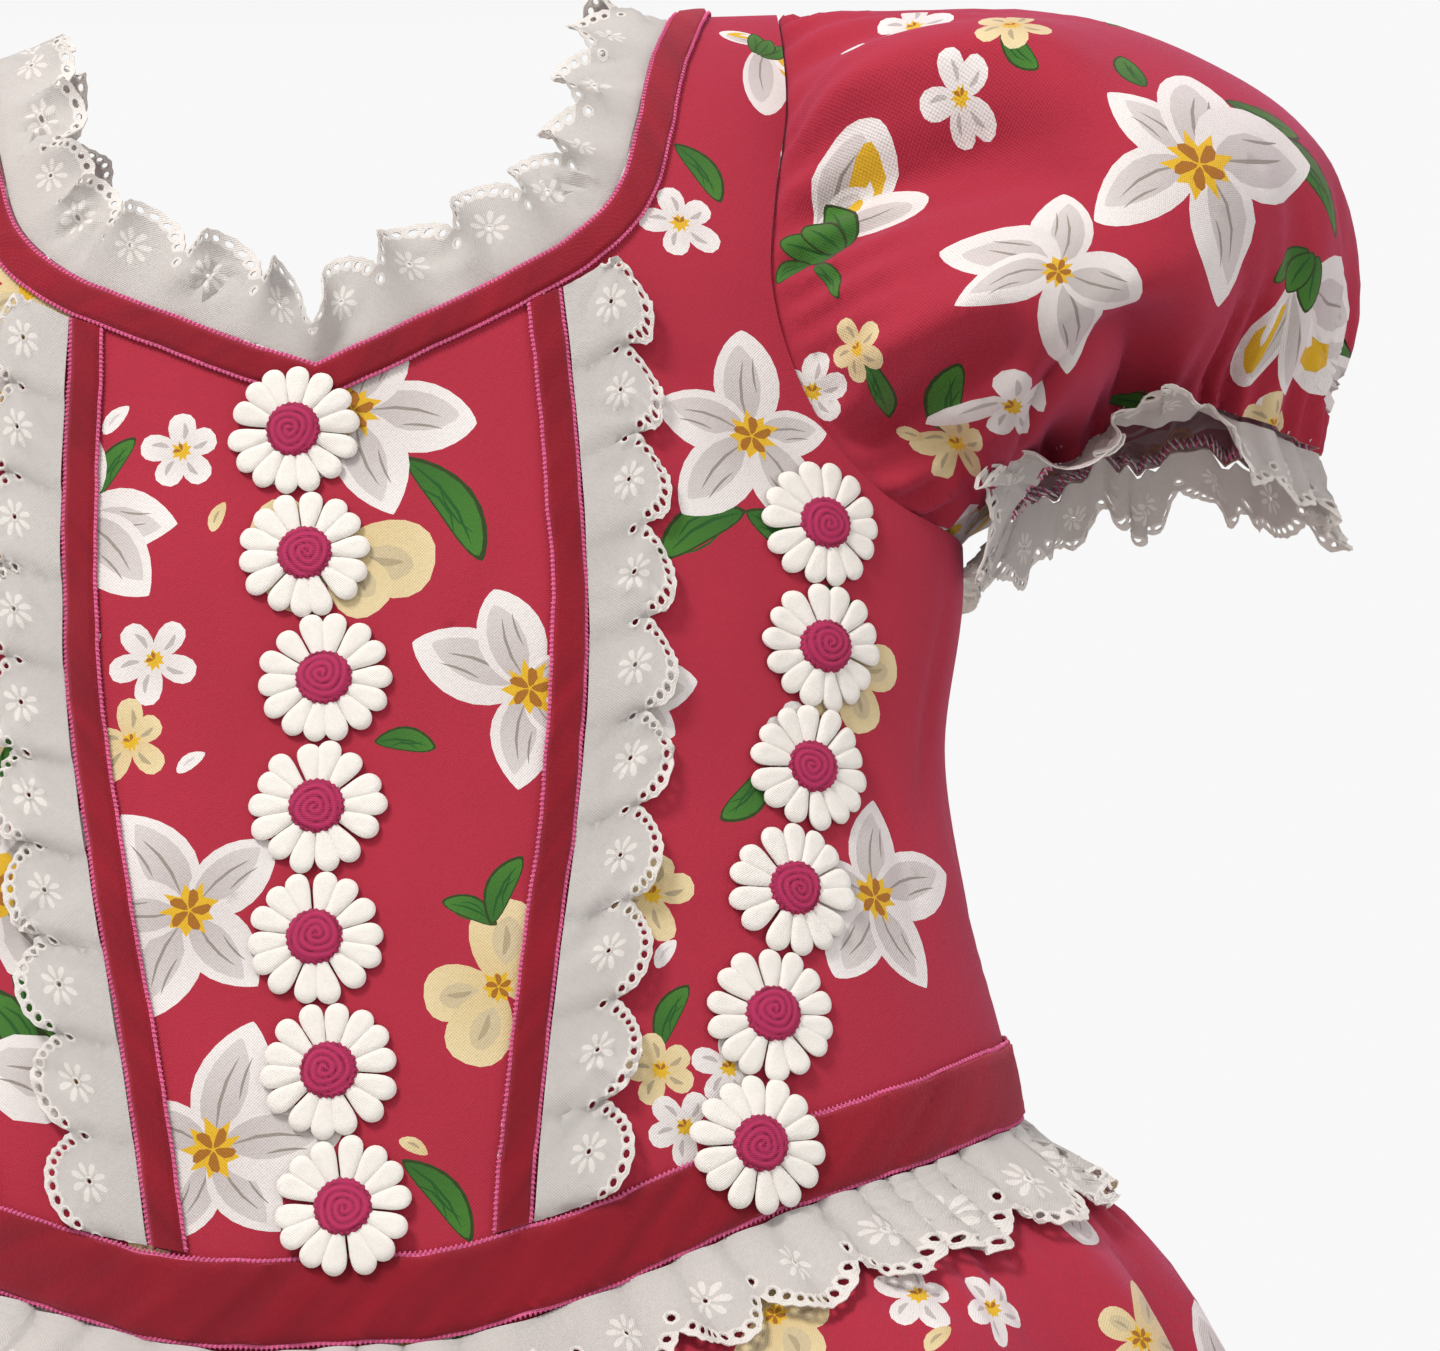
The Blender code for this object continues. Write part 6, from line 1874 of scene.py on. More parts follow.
def tucks(x, high, sharp=0.12):
    """Heights of the tucks: cloth rises along each scallop and drops over the next one."""
    share = (x / SCALLOP) % 1.0
    rise = ease(share / (0.96 - sharp)) * (1 - ease((share - 1 + sharp) / sharp))
    return along_waves(x, high) * rise


def wrinkles(x, y, seed):
    """Small slanting wrinkles of thin cotton that was never ironed."""
    slanted = x + 0.9 * y * np.sin(2 * math.pi * x / 0.041 + seed)
    fine = np.sin(2 * math.pi * slanted / 0.0072 + 2.2 * np.sin(2 * math.pi * x / 0.0237 + seed))
    return fine * (0.5 + 0.5 * np.sin(2 * math.pi * x / 0.0331 + 2 * seed)) * np.clip(y / 0.003, 0, 1)


print("lace cloth", LACE_CLOTH * 1000, "mm")

# %% Lace round the neckline
NECK_FRONT_SCALLOPS = 8
NECK_BACK_SCALLOPS = 6
NECK_SCALLOPS = 2 * (NECK_FRONT_SCALLOPS + NECK_BACK_SCALLOPS)
NECK_SWING = drawn_between(3, NECK_SCALLOPS, 0.0020, 0.0046)
NECK_DRIFT = drawn_between(4, NECK_SCALLOPS, -0.9, 0.9)
FRONT_RUN = float(NECK_RUN[len(NECK_RUN) // 2])


def neck_ruffle(x, y):
    """The standing ruffle: it leans out, waves more towards its edge and dips at the V."""
    place = x / SCALLOP - NECK_SCALLOPS / 2
    reach = np.interp(
        np.abs(place), [0, NECK_FRONT_SCALLOPS, NECK_SCALLOPS / 2], [0, FRONT_RUN, NECK_HALF - 0.0008]
    )
    side, (point, normal, up) = along_neck(np.copysign(reach, place), NECK_POINT, NECK_NORMAL, NECK_UP)
    lean = ease(reach / 0.016)[:, None]
    upright = NECK_UP[0] * (1 - lean) + up * lean
    upright /= np.linalg.norm(upright, axis=1, keepdims=True)
    share = np.clip(y / LACE_WIDE, 0, None)
    wave = 2 * math.pi * place + along_waves(x, NECK_DRIFT)
    notch = 1 - 0.42 * np.exp(-((reach / 0.007) ** 2))
    swing = along_waves(x, NECK_SWING)
    away = PANEL_THICK / 2 + 0.0030 * share + swing * share**1.25 * np.sin(wave)
    away = away + 0.0009 * wrinkles(x, y, 1.0) * np.sin(math.pi * np.clip(share * 1.2, 0, 1))
    drift = 0.0026 * share**1.4 * np.cos(wave) * swing / 0.0036
    tall = (0.0005 + y * (0.985 - 0.05 * np.sin(wave) * share)) * notch
    run = np.cross(upright, normal)
    run *= np.sign(run[:, :1] + 1e-9)
    moved = point + upright * tall[:, None] + normal * away[:, None]
    moved = moved + run * (drift * side * (1 - np.exp(-((reach / 0.006) ** 2))))[:, None]
    return moved * np.column_stack([side, 0 * side + 1, 0 * side + 1])


lace("neck_lace_eyelet", "neck_lace", neck_ruffle, NECK_SCALLOPS, -1.0)

# %% Lace beside the princess seams
PRINCESS_SCALLOPS = 10
PRINCESS_LACE_WIDE = 0.0175


def princess_ruffle_of(seed):
    """The lace that lies on the side front, gathered along the princess ribbon."""
    high = drawn_between(seed, PRINCESS_SCALLOPS, 0.0009, 0.0026)
    stretch = drawn_between(seed + 1, PRINCESS_SCALLOPS, -0.5, 0.5)

    def ruffle(x, y):
        share_y = np.clip(y / LACE_WIDE, 0, None)
        wave = 2 * math.pi * x / SCALLOP + along_waves(x, stretch)
        tuck = tucks(x, high) * (0.35 + 0.65 * share_y)
        drift = 0.0010 * share_y * np.cos(wave) + 0.9 * tuck * share_y
        share = np.clip((x + drift) / (PRINCESS_SCALLOPS * SCALLOP), 0, 1)
        reach = PRINCESS_RIBBON_WIDE / 2 + SEAM_GAP + y * PRINCESS_LACE_WIDE / LACE_WIDE
        reach = reach * (1 - 0.03 * share_y * np.sin(wave))
        girth, length = beside_seam_at(reach, share)
        rise = 0.0009 * share_y + tuck + 0.00050 * wrinkles(x, y, seed)
        over = (RIBBON_FOOT + 0.0002 + np.clip(rise, 0, 0.0042))[:, None]
        return bodice(girth, length) + outward(bodice, girth, length) * over
    return ruffle


def beside_seam_at(reach, share):
    """The same as beside_seam, for pairs of a distance and a share."""
    girth = np.full((len(reach), 2), [SEAM_TOP, SEAM_FOOT])
    seam = girth[:, 0]
    for _ in range(6):
        length = under_neck_ribbon(girth[:, 0]) * (1 - share) + over_waistband(girth[:, 1]) * share
        seam = seam_girth(length)
        moved = seam + reach / (smooth(LEVELS, 1, height_at(length)) * np.cos(seam))
        ends = [seam_girth(under_neck_ribbon(girth[:, 0])), seam_girth(over_waistband(girth[:, 1]))]
        lengths = [under_neck_ribbon(girth[:, 0]), over_waistband(girth[:, 1])]
        girth = np.column_stack([
            end + reach / (smooth(LEVELS, 1, height_at(long)) * np.cos(end))
            for end, long in zip(ends, lengths)
        ])
    return moved, length


lace(
    "princess_lace_left_eyelet", "princess_lace_left", princess_ruffle_of(51), PRINCESS_SCALLOPS,
)
lace(
    "princess_lace_right_eyelet", "princess_lace_right", on_right(princess_ruffle_of(61)),
    PRINCESS_SCALLOPS, -1.0,
)

# %% Lace under the waistband
WAIST_SCALLOPS = 37
WAIST_TUCKS = drawn_between(7, WAIST_SCALLOPS, 0.0002, 0.0016)
WAIST_DRIFT = drawn_between(8, WAIST_SCALLOPS, -0.7, 0.7)


def waist_ruffle(x, y):
    """The lace that hangs over the top of the skirt."""
    share_y = np.clip(y / LACE_WIDE, 0, None)
    wave = 2 * math.pi * x / SCALLOP + along_waves(x, WAIST_DRIFT)
    tuck = tucks(x, WAIST_TUCKS) * (0.35 + 0.65 * share_y)
    drift = 0.0009 * share_y * np.cos(wave) + 0.8 * tuck * share_y
    long = WAIST_SCALLOPS * SCALLOP
    girth = np.interp((x + drift) / long * WAIST_RUN[-1], WAIST_RUN, WAIST_TURNS)
    whole = SKIRT_DROP - waist_height(girth)
    share = (WAIST_RIBBON_WIDE / 2 + SEAM_GAP * 4 + y * (1 - 0.03 * np.sin(wave) * share_y)) / whole
    rise = 0.0012 * share_y + tuck + 0.0007 * share_y * (1 + np.sin(wave)) + 0.00055 * wrinkles(x, y, 2.0)
    high = (PANEL_THICK + 0.0012 + np.clip(rise, 0, 0.0060))[:, None]
    return skirt(girth, share) + outward(skirt, girth, share) * high


lace("waist_lace_eyelet", "waist_lace", waist_ruffle, WAIST_SCALLOPS, -1.0)

# %% Lace at the cuffs
CUFF_SCALLOPS = 14
CUFF_AWAY = 0.0012
# Which way the cuff's lace runs: rows of angle from the outer side round by the front,
# then how far aside, forward and down, and how much it waves
CUFF_WAYS = np.array([
    (-0.6, 0.20, -0.55, 0.80, 0.6), (0.0, 0.25, 0.10, 0.95, 0.6), (0.5, 0.12, 0.30, 0.95, 0.4),
    (0.95, 0.00, 0.45, 0.90, 0.3), (1.3, 0.05, 0.95, 0.25, 0.6), (1.8, 0.00, 1.00, 0.08, 1.0),
    (2.4, -0.35, 0.90, 0.25, 1.1), (3.0, -0.60, 0.30, 0.75, 0.8), (3.6, -0.35, -0.30, 0.85, 0.6),
    (4.3, 0.00, -0.75, 0.60, 0.5), (5.0, 0.10, -0.85, 0.45, 0.5), (5.7, 0.20, -0.55, 0.80, 0.6),
    (2 * math.pi, 0.25, 0.10, 0.95, 0.6), (6.9, 0.12, 0.30, 0.95, 0.4),
])
CUFF_WAVES = 7
CUFF_CURL, CUFF_CURL_WIDE = 2.2, 0.34
CUFF_SWINGS = drawn_between(9, CUFF_SCALLOPS, 0.0042, 0.0062)
CUFF_DRIFT = drawn_between(10, CUFF_SCALLOPS, -0.6, 0.6)
CUFF_TURNS = np.linspace(0, 2 * math.pi, 241)


def cuff_edge():
    """Points round the cuff's edge, where its lace is sewn on."""
    ones = np.ones(len(CUFF_TURNS))
    hem, out = sleeve_face(CUFF_TURNS, ones)
    onward = hem - sleeve_body(CUFF_TURNS, ones * 0.95)
    onward /= np.linalg.norm(onward, axis=1, keepdims=True)
    return hem + out * (PANEL_THICK + COTTON_LOW) / 2 + onward * CUFF_AWAY


CUFF_EDGE = cuff_edge()


def round_cuff(psi):
    """Points of the cuff's edge at these angles."""
    turn = psi % (2 * math.pi)
    return np.column_stack([np.interp(turn, CUFF_TURNS, CUFF_EDGE[:, i]) for i in range(3)])


def cuff_ruffle(x, y):
    """The flaring ruffle of the left cuff, with one deep curl at the front."""
    psi = 2 * math.pi * x / (CUFF_SCALLOPS * SCALLOP)
    share_y = np.clip(y / LACE_WIDE, 0, None)
    way = np.column_stack([smooth(CUFF_WAYS, i, psi % (2 * math.pi)) for i in (1, 2, 3)])
    way *= (1, -1, -1)
    way /= np.linalg.norm(way, axis=1, keepdims=True)
    along = round_cuff(psi + 0.03) - round_cuff(psi - 0.03)
    along /= np.linalg.norm(along, axis=1, keepdims=True)
    side = np.cross(way, along)
    side /= np.linalg.norm(side, axis=1, keepdims=True)
    wave = CUFF_WAVES * psi + along_waves(x, CUFF_DRIFT)
    curl = np.exp(-(((psi - CUFF_CURL) / CUFF_CURL_WIDE) ** 2))
    waving = smooth(CUFF_WAYS, 4, psi % (2 * math.pi))
    swing = (along_waves(x, CUFF_SWINGS) + 0.0020 * curl) * waving * np.sin(wave) * share_y**1.1
    swing = swing + 0.0004 * wrinkles(x, y, 3.0)
    drift = (0.0028 + 0.0022 * curl) * waving * share_y**1.4 * np.sin(2 * wave)
    return round_cuff(psi) + way * y[:, None] + side * swing[:, None] + along * drift[:, None]


lace("cuff_lace_left_eyelet", "cuff_lace_left", cuff_ruffle, CUFF_SCALLOPS)
lace(
    "cuff_lace_right_eyelet", "cuff_lace_right", on_right(cuff_ruffle), CUFF_SCALLOPS, -1.0,
)

# %% [markdown]
# ## Padded daisies
#
# The daisies are machine lace: thick satin petals stitched without a ground, then a coiled
# red cord for the middle. A node tree turns one petal round each centre of a row, each
# with its own small lean and length. The flat row is then laid on the dress, point by
# point, so that every daisy follows the cloth and steps up where it crosses a ribbon.

# %% Node trees
def node_tree(name, inputs):
    """A new geometry tree with named inputs, given as name, kind and first value."""
    tree = bpy.data.node_groups.new(name, "GeometryNodeTree")
    tree.interface.new_socket("Geometry", in_out="INPUT", socket_type="NodeSocketGeometry")
    for label, kind, value in inputs:
        made = tree.interface.new_socket(label, in_out="INPUT", socket_type="NodeSocket" + kind)
        if value is not None:
            made.default_value = value
    tree.interface.new_socket("Geometry", in_out="OUTPUT", socket_type="NodeSocketGeometry")
    return tree, tree.nodes.new("NodeGroupInput"), tree.nodes.new("NodeGroupOutput")


def realized(tree, instances, material, output):
    """The end of a tree: real geometry with its material."""
    real = add(tree, "GeometryNodeRealizeInstances", {"Geometry": instances})
    done = add(tree, "GeometryNodeSetMaterial", {"Geometry": real.outputs[0], "Material": material})
    tree.links.new(done.outputs[0], output.inputs[0])


def grown(name, mesh, tree, values):
    """A plain mesh from a mesh and a tree, with these values on the tree's named inputs."""
    seed_object = bpy.data.objects.new(name + "_seed", mesh)
    bpy.context.scene.collection.objects.link(seed_object)
    modifier = seed_object.modifiers.new(name, "NODES")
    modifier.node_group = tree
    for item in tree.interface.items_tree:
        if item.in_out == "INPUT" and item.name in values:
            modifier[item.identifier] = values[item.name]
    done = bpy.data.meshes.new_from_object(
        seed_object.evaluated_get(bpy.context.evaluated_depsgraph_get())
    )
    bpy.data.objects.remove(seed_object)
    if done.materials and done.materials[0] is None:
        done.materials.pop(index=0)
    return done


def part_object(name, points, faces, flat=None):
    """A hidden object that a tree copies, with a pattern to lay its thread by."""
    mesh = bpy.data.meshes.new(name)
    mesh.from_pydata(np.asarray(points).tolist(), [], [list(map(int, face)) for face in faces])
    mesh.shade_smooth()
    if flat is not None:
        uv = mesh.uv_layers.new(name="Pattern")
        loops = [i for polygon in mesh.polygons for i in polygon.vertices]
        uv.data.foreach_set("uv", np.asarray(flat)[loops].ravel())
    return bpy.data.objects.new(name, mesh)


def petal_tree():
    """Petals turned round each point of a row."""
    tree, start, end = node_tree("daisy petals", [
        ("Petal", "Object", None), ("Petals", "Int", 14), ("Lean", "Float", 0.07),
        ("Shortest", "Float", 0.93), ("Seed", "Int", 1), ("Material", "Material", None),
    ])
    at = start.outputs
    petal = add(tree, "GeometryNodeObjectInfo", {"Object": at["Petal"], "As Instance": True})
    copied = {"Geometry": at["Geometry"], "Amount": at["Petals"]}
    many = add(tree, "GeometryNodeDuplicateElements", copied, domain="POINT")
    lean = add(tree, "FunctionNodeRandomValue", {"Seed": at["Seed"]}, data_type="FLOAT")
    tree.links.new(sum_of(tree, "MULTIPLY", at["Lean"], -1.0), lean.inputs[2])
    tree.links.new(at["Lean"], lean.inputs[3])
    turn = sum_of(tree, "DIVIDE", many.outputs["Duplicate Index"], at["Petals"])
    turn = sum_of(tree, "ADD", sum_of(tree, "MULTIPLY", turn, 2 * math.pi), lean.outputs[1])
    way = add(tree, "ShaderNodeCombineXYZ", {"Z": turn})
    other_seed = sum_of(tree, "ADD", at["Seed"], 7)
    long = add(tree, "FunctionNodeRandomValue", {3: 1.0, "Seed": other_seed}, data_type="FLOAT")
    tree.links.new(at["Shortest"], long.inputs[2])
    size = add(tree, "ShaderNodeCombineXYZ", {"X": long.outputs[1], "Y": 1.0, "Z": 1.0})
    copies = add(tree, "GeometryNodeInstanceOnPoints", {
        "Points": many.outputs["Geometry"], "Instance": petal.outputs["Geometry"],
        "Rotation": way.outputs[0], "Scale": size.outputs[0],
    })
    realized(tree, copies.outputs[0], at["Material"], end)
    return tree


PETAL_TREE = petal_tree()
print("tree", PETAL_TREE.name, "with", len(PETAL_TREE.nodes), "nodes")

# %% One petal
CENTRE_DAISIES = (
    (-0.0045, 0.1020), (-0.0030, 0.1272), (0.0000, 0.1524), (-0.0020, 0.1776),
    (-0.0030, 0.2028), (-0.0010, 0.2280), (0.0010, 0.2533),
)
SIDE_DAISIES = (
    (0.0980, 0.1225), (0.0965, 0.1475), (0.0920, 0.1722), (0.0870, 0.1968),
    (0.0815, 0.2212), (0.0770, 0.2458),
)
DAISY_REACH = 0.0133
PETAL_START = 0.0042
PETAL_HALF_ROOT, PETAL_HALF = 0.00112, 0.00228
PETAL_HIGH = 0.0017
ROW_APART = 0.1


def petal_part(columns=9):
    """A padded petal along +X: a domed top with a hollow near its tip, and a flat back."""
    round_tip = 0.74 + 0.26 * np.sin(np.linspace(0, math.pi / 2, 6))
    u = np.concatenate([np.linspace(0, 0.66, 6), round_tip])[:, None]
    rows = len(u)
    v = np.sin(np.linspace(-1, 1, columns) * math.pi / 2)[None, :]
    half = PETAL_HALF_ROOT + (PETAL_HALF - PETAL_HALF_ROOT) * ease(u / 0.72)
    half = half * np.sqrt(np.clip(1 - np.clip((u - 0.74) / 0.262, 0, 1) ** 2, 0, 1))
    x = PETAL_START + (DAISY_REACH - PETAL_START) * u + 0 * v
    y = half * v
    round_over = np.sqrt(np.clip(1 - v**2 * 0.92, 0, 1))
    tip = np.sqrt(np.clip(1 - np.clip((u - 0.70) / 0.31, 0, 1) ** 2, 0.06, 1))
    hollow = 0.42 * np.exp(-((v / 0.30) ** 2)) * ease((u - 0.35) / 0.2) * (1 - ease((u - 0.72) / 0.2))
    z = PETAL_HIGH * (0.35 + 0.65 * round_over) * tip * (1 - hollow * 0.55) * (0.82 + 0.18 * u)
    top = np.stack([x, y, z], axis=-1).reshape(-1, 3)
    faces = []
    for i in range(rows - 1):
        for j in range(columns - 1):
            a = i * columns + j
            faces.append((a, a + columns, a + columns + 1, a + 1))
    rim = list(range(columns)) + [(i + 1) * columns + columns - 1 for i in range(rows - 1)]
    rim += [(rows - 1) * columns + j for j in range(columns - 2, -1, -1)]
    rim += [i * columns for i in range(rows - 2, 0, -1)]
    back = top[rim] * (1.0, 0.94, 0.0) + (0.0, 0.0, 0.0002)
    for i, a in enumerate(rim):
        j = (i + 1) % len(rim)
        faces.append((a, rim[j], len(top) + j, len(top) + i))
    faces.append(tuple(range(len(top), len(top) + len(rim))))
    points = np.concatenate([top, back])
    return part_object("daisy_petal", points, faces, points[:, :2])


DAISY_PETAL = petal_part()
print("petal", len(DAISY_PETAL.data.polygons), "faces")

# %% One middle
MIDDLE_REACH = 0.0054
MIDDLE_HIGH = 0.0024
CORD_PITCH = 0.00135
CORD_HIGH = 0.00042


def middle_part(rings=15, sectors=54):
    """The coiled cord round the origin: points, faces and each point's share of painted light."""
    reach = np.linspace(0, 1, rings)[1:, None] * MIDDLE_REACH
    turn = 2 * math.pi * np.arange(sectors)[None, :] / sectors
    x, y = reach * np.cos(turn), reach * np.sin(turn)
    off_x, off_y = x - 0.0006, y - 0.0003
    around = np.arctan2(off_y, off_x) / (2 * math.pi)
    coil = (np.hypot(off_x, off_y) * (1 + 0.05 * np.sin(6 * math.pi * around)) / CORD_PITCH - around) % 1.0
    # Painted shade and highlight: each point's share of light follows the cord's height, light on its
    # crests and teeth, dark in its grooves
    cord = np.sin(math.pi * coil) ** 0.7
    rim = ease((reach / MIDDLE_REACH - 0.86) / 0.08)
    teeth = 0.5 + 0.5 * np.cos(27 * turn)
    cord = cord * (1 - rim) + teeth * rim
    share = reach / MIDDLE_REACH
    z = MIDDLE_HIGH * np.sqrt(np.clip(1 - share**2 * 0.52, 0, 1)) + CORD_HIGH * (cord - 0.6)
    z = z * (1 - 0.30 * ease((share - 0.93) / 0.07))
    spread = 1 + 0.022 * (teeth - 0.5) * rim
    top = np.stack([x * spread, y * spread, z], axis=-1).reshape(-1, 3)
    cord_light = cord.ravel()
    outer = top[-sectors:] * (1, 1, 0) + (0, 0, 0.0003)
    points = np.concatenate([[(0, 0, MIDDLE_HIGH + CORD_HIGH * 0.3)], top, outer, [(0, 0, 0.0003)]])
    # Painted shade: the top point is painted light, the foot ring and its middle dark
    cord_light = np.concatenate([[0.8], cord_light, np.full(sectors, 0.2), [0.2]])
    faces = []
    for j in range(sectors):
        k = (j + 1) % sectors
        faces.append((0, 1 + j, 1 + k, 1 + k))
        for i in range(rings - 1):
            a, b = 1 + i * sectors + j, 1 + i * sectors + k
            faces.append((a, a + sectors, b + sectors, b))
        foot = 1 + (rings - 1) * sectors
        faces.append((foot + j, len(points) - 1, foot + k, foot + k))
    return points, np.array(faces), cord_light


MIDDLE = middle_part()
print("middle", len(MIDDLE[1]), "faces")

# %% Rows of daisies on the dress
# The cord's colour in painted shade and in painted light, mixed by each point's share of painted light
DAISY_WHITE, CORD_SHADED, CORD_LIT = (224, 218, 211), (110, 12, 46), (172, 36, 86)


def row_lines(places):
    """Where the middles of a row lie, and each daisy's right and up on the cloth."""
    places = np.array(places)
    line = np.column_stack([girth_of(places[:, 0], places[:, 1]), length_at(places[:, 1])])
    run = -np.gradient(bodice(line[:, 0], line[:, 1]), axis=0)
    _, normal, _ = across_cloth(line)
    up = run - normal * (run * normal).sum(1, keepdims=True)
    up /= np.linalg.norm(up, axis=1, keepdims=True)
    return line, np.cross(up, normal), up


def laid_on_dress(flat, which, rows):
    """Points on the dress of flat points round the middles of a row."""
    line, right, up = (table[which] for table in rows)
    place = slide(line, right * flat[:, :1] + up * flat[:, 1:2])
    base = top_layer(place[:, 0], place[:, 1]) + LAYER_GAP
    point = bodice(place[:, 0], place[:, 1])
    return point + outward(bodice, place[:, 0], place[:, 1]) * (base + flat[:, 2])[:, None]


def daisy_row(name, node, places, seed, flip=1.0):
    """A strip of daisies on the left or the right of the dress."""
    count = len(places)
    dots = bpy.data.meshes.new(name + "_dots")
    dots.from_pydata([(i * ROW_APART, 0, 0) for i in range(count)], [], [])
    petals = grown(name, dots, PETAL_TREE, {
        "Petal": DAISY_PETAL, "Petals": 14, "Lean": 0.055, "Shortest": 0.94, "Seed": seed,
        "Material": THREAD,
    })
    flat = np.empty(len(petals.vertices) * 3)
    petals.vertices.foreach_get("co", flat)
    flat = flat.reshape(-1, 3)
    which = np.round(flat[:, 0] / ROW_APART).astype(int)
    flat[:, 0] -= which * ROW_APART
    rows = row_lines(places)
    sides = (flip, 1.0, 1.0)
    points = [laid_on_dress(flat, which, rows) * sides]
    order = -1 if flip < 0 else 1
    faces = [list(p.vertices)[::order] for p in petals.polygons]
    colours = [np.tile(linear(DAISY_WHITE), (len(flat), 1))]
    patterns = [flat[:, :2] + which[:, None] * 0.031]
    first = len(flat)
    middle, middle_faces, cord_light = MIDDLE
    for i in range(count):
        turn = (i * 2.4 + seed) % (2 * math.pi)
        cos, sin = math.cos(turn), math.sin(turn)
        turned = middle @ np.array([(cos, sin, 0), (-sin, cos, 0), (0, 0, 1)])
        points.append(laid_on_dress(turned, np.full(len(middle), i), rows) * sides)
        faces += [list(dict.fromkeys((face + first).tolist()))[::order] for face in middle_faces]
        # The cord painted between its shaded and its lit colour, as painted shade and highlight
        colours.append(np.outer(1 - cord_light, linear(CORD_SHADED)) + np.outer(cord_light, linear(CORD_LIT)))
        patterns.append(middle[:, :2])
        first += len(middle)
    mesh = bpy.data.meshes.new(name)
    mesh.from_pydata(np.concatenate(points).tolist(), [], faces)
    corners = np.array([i for polygon in mesh.polygons for i in polygon.vertices])
    uv = mesh.uv_layers.new(name="Pattern")
    uv.data.foreach_set("uv", np.concatenate(patterns)[corners].ravel())
    layer = mesh.color_attributes.new("Print", "FLOAT_COLOR", "CORNER")
    tint = np.concatenate(colours)[corners]
    layer.data.foreach_set("color", np.column_stack([tint, np.ones(len(tint))]).ravel())
    thing = finished(name, mesh, THREAD)
    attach(thing, "dress")
    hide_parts(node)
    print(name, count, "daisies, triangles", sum(len(p.vertices) - 2 for p in mesh.polygons))


daisy_row("daisies_centre", "daisy_trim_centre", CENTRE_DAISIES, 3)
daisy_row("daisies_left", "daisy_trim_left", SIDE_DAISIES, 11)
daisy_row("daisies_right", "daisy_trim_right", SIDE_DAISIES, 19, -1.0)

# %% [markdown]
# ## Stitches, selvedge loops and the zip
#
# Whatever repeats along a path comes from one tree: a path, a small part, a spacing and a
# seed. It makes the loops of the ribbons' pink edges, the overlock thread inside the
# cuffs, the stitches of the skirt's hem, and the teeth of the zip.

# %% A part along a path
def path_tree():
    """Copies of a part along a path, turned with it and with the path's own up."""
    tree, start, end = node_tree("along a path", [
        ("Part", "Object", None), ("Spacing", "Float", 0.002), ("Uneven", "Float", 0.08),
        ("Seed", "Int", 1), ("Material", "Material", None),
    ])
    at = start.outputs
    part = add(tree, "GeometryNodeObjectInfo", {"Object": at["Part"], "As Instance": True})
    curve = add(tree, "GeometryNodeMeshToCurve", {"Mesh": at["Geometry"]})
    spaced = {"Curve": curve.outputs[0], "Length": at["Spacing"]}
    even = add(tree, "GeometryNodeResampleCurve", spaced, mode="LENGTH")
    along = add(tree, "GeometryNodeInputTangent")
    up = add(tree, "GeometryNodeInputNamedAttribute", {"Name": "up"}, data_type="FLOAT_VECTOR")
    facing = add(tree, "FunctionNodeAlignRotationToVector", {"Vector": along.outputs[0]}, axis="X")
    upright = add(
        tree, "FunctionNodeAlignRotationToVector",
        {"Rotation": facing.outputs[0], "Vector": up.outputs[0]}, axis="Z", pivot_axis="X",
    )
    size = add(tree, "FunctionNodeRandomValue", {"Seed": at["Seed"]}, data_type="FLOAT")
    tree.links.new(sum_of(tree, "SUBTRACT", 1.0, at["Uneven"]), size.inputs[2])
    tree.links.new(sum_of(tree, "ADD", 1.0, at["Uneven"]), size.inputs[3])
    copies = add(tree, "GeometryNodeInstanceOnPoints", {
        "Points": even.outputs[0], "Instance": part.outputs["Geometry"],
        "Rotation": upright.outputs[0], "Scale": size.outputs[1],
    })
    realized(tree, copies.outputs[0], at["Material"], end)
    return tree


PATH_TREE = path_tree()


def path_mesh(name, points, ups):
    """A path as a mesh of edges, with the up direction of each point."""
    mesh = bpy.data.meshes.new(name)
    mesh.from_pydata(points.tolist(), [(i, i + 1) for i in range(len(points) - 1)], [])
    up = mesh.attributes.new("up", "FLOAT_VECTOR", "POINT")
    up.data.foreach_set("vector", np.asarray(ups, float).ravel())
    return mesh


def thread_part(name, ends, width, rows=4, sides=4, arch=0.4):
    """A short thread between two points, arched over the cloth."""
    start, end = (np.array([*point, 0.0]) for point in ends)
    share = np.linspace(0, 1, rows)[:, None]
    middle = start + (end - start) * share + np.array([0, 0, 1]) * (arch * width * np.sin(math.pi * share))
    way = (end - start) / np.linalg.norm(end - start)
    side = np.array([-way[1], way[0], 0])
    turn = 2 * math.pi * np.arange(sides) / sides
    reach = width / 2 * np.sqrt(np.clip(1 - (2 * share - 1) ** 2 * 0.75, 0, 1))
    ring = np.cos(turn)[None, :, None] * side + np.sin(turn)[None, :, None] * np.array([0, 0, 1])
    points = (middle[:, None, :] + reach[:, :, None] * ring).reshape(-1, 3)
    faces = [
        (i * sides + j, i * sides + (j + 1) % sides, (i + 1) * sides + (j + 1) % sides, (i + 1) * sides + j)
        for i in range(rows - 1) for j in range(sides)
    ]
    faces += [tuple(range(sides))[::-1], tuple(range((rows - 1) * sides, rows * sides))]
    return part_object(name, points, faces, points[:, :2])


def row_of(name, part, points, ups, spacing, material, uneven=0.08, seed=1):
    """Copies of a part along these points, as one piece that rides on the dress."""
    mesh = grown(name, path_mesh(name, points, ups), PATH_TREE, {
        "Part": part, "Spacing": spacing, "Uneven": uneven, "Seed": seed, "Material": material,
    })
    thing = bpy.data.objects.new(name, mesh)
    bpy.context.scene.collection.objects.link(thing)
    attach(thing, "dress")
    print(name, "triangles", sum(len(p.vertices) - 2 for p in mesh.polygons))


# %% Pink loops along the ribbons
PINK_THREAD = plain_thread("pink_thread", (232, 92, 150))
LOOP_APART = 0.00095
LOOP = thread_part("selvedge_loop", ((-0.00012, -0.00042), (0.00012, 0.00042)), 0.00052, 3, 4)


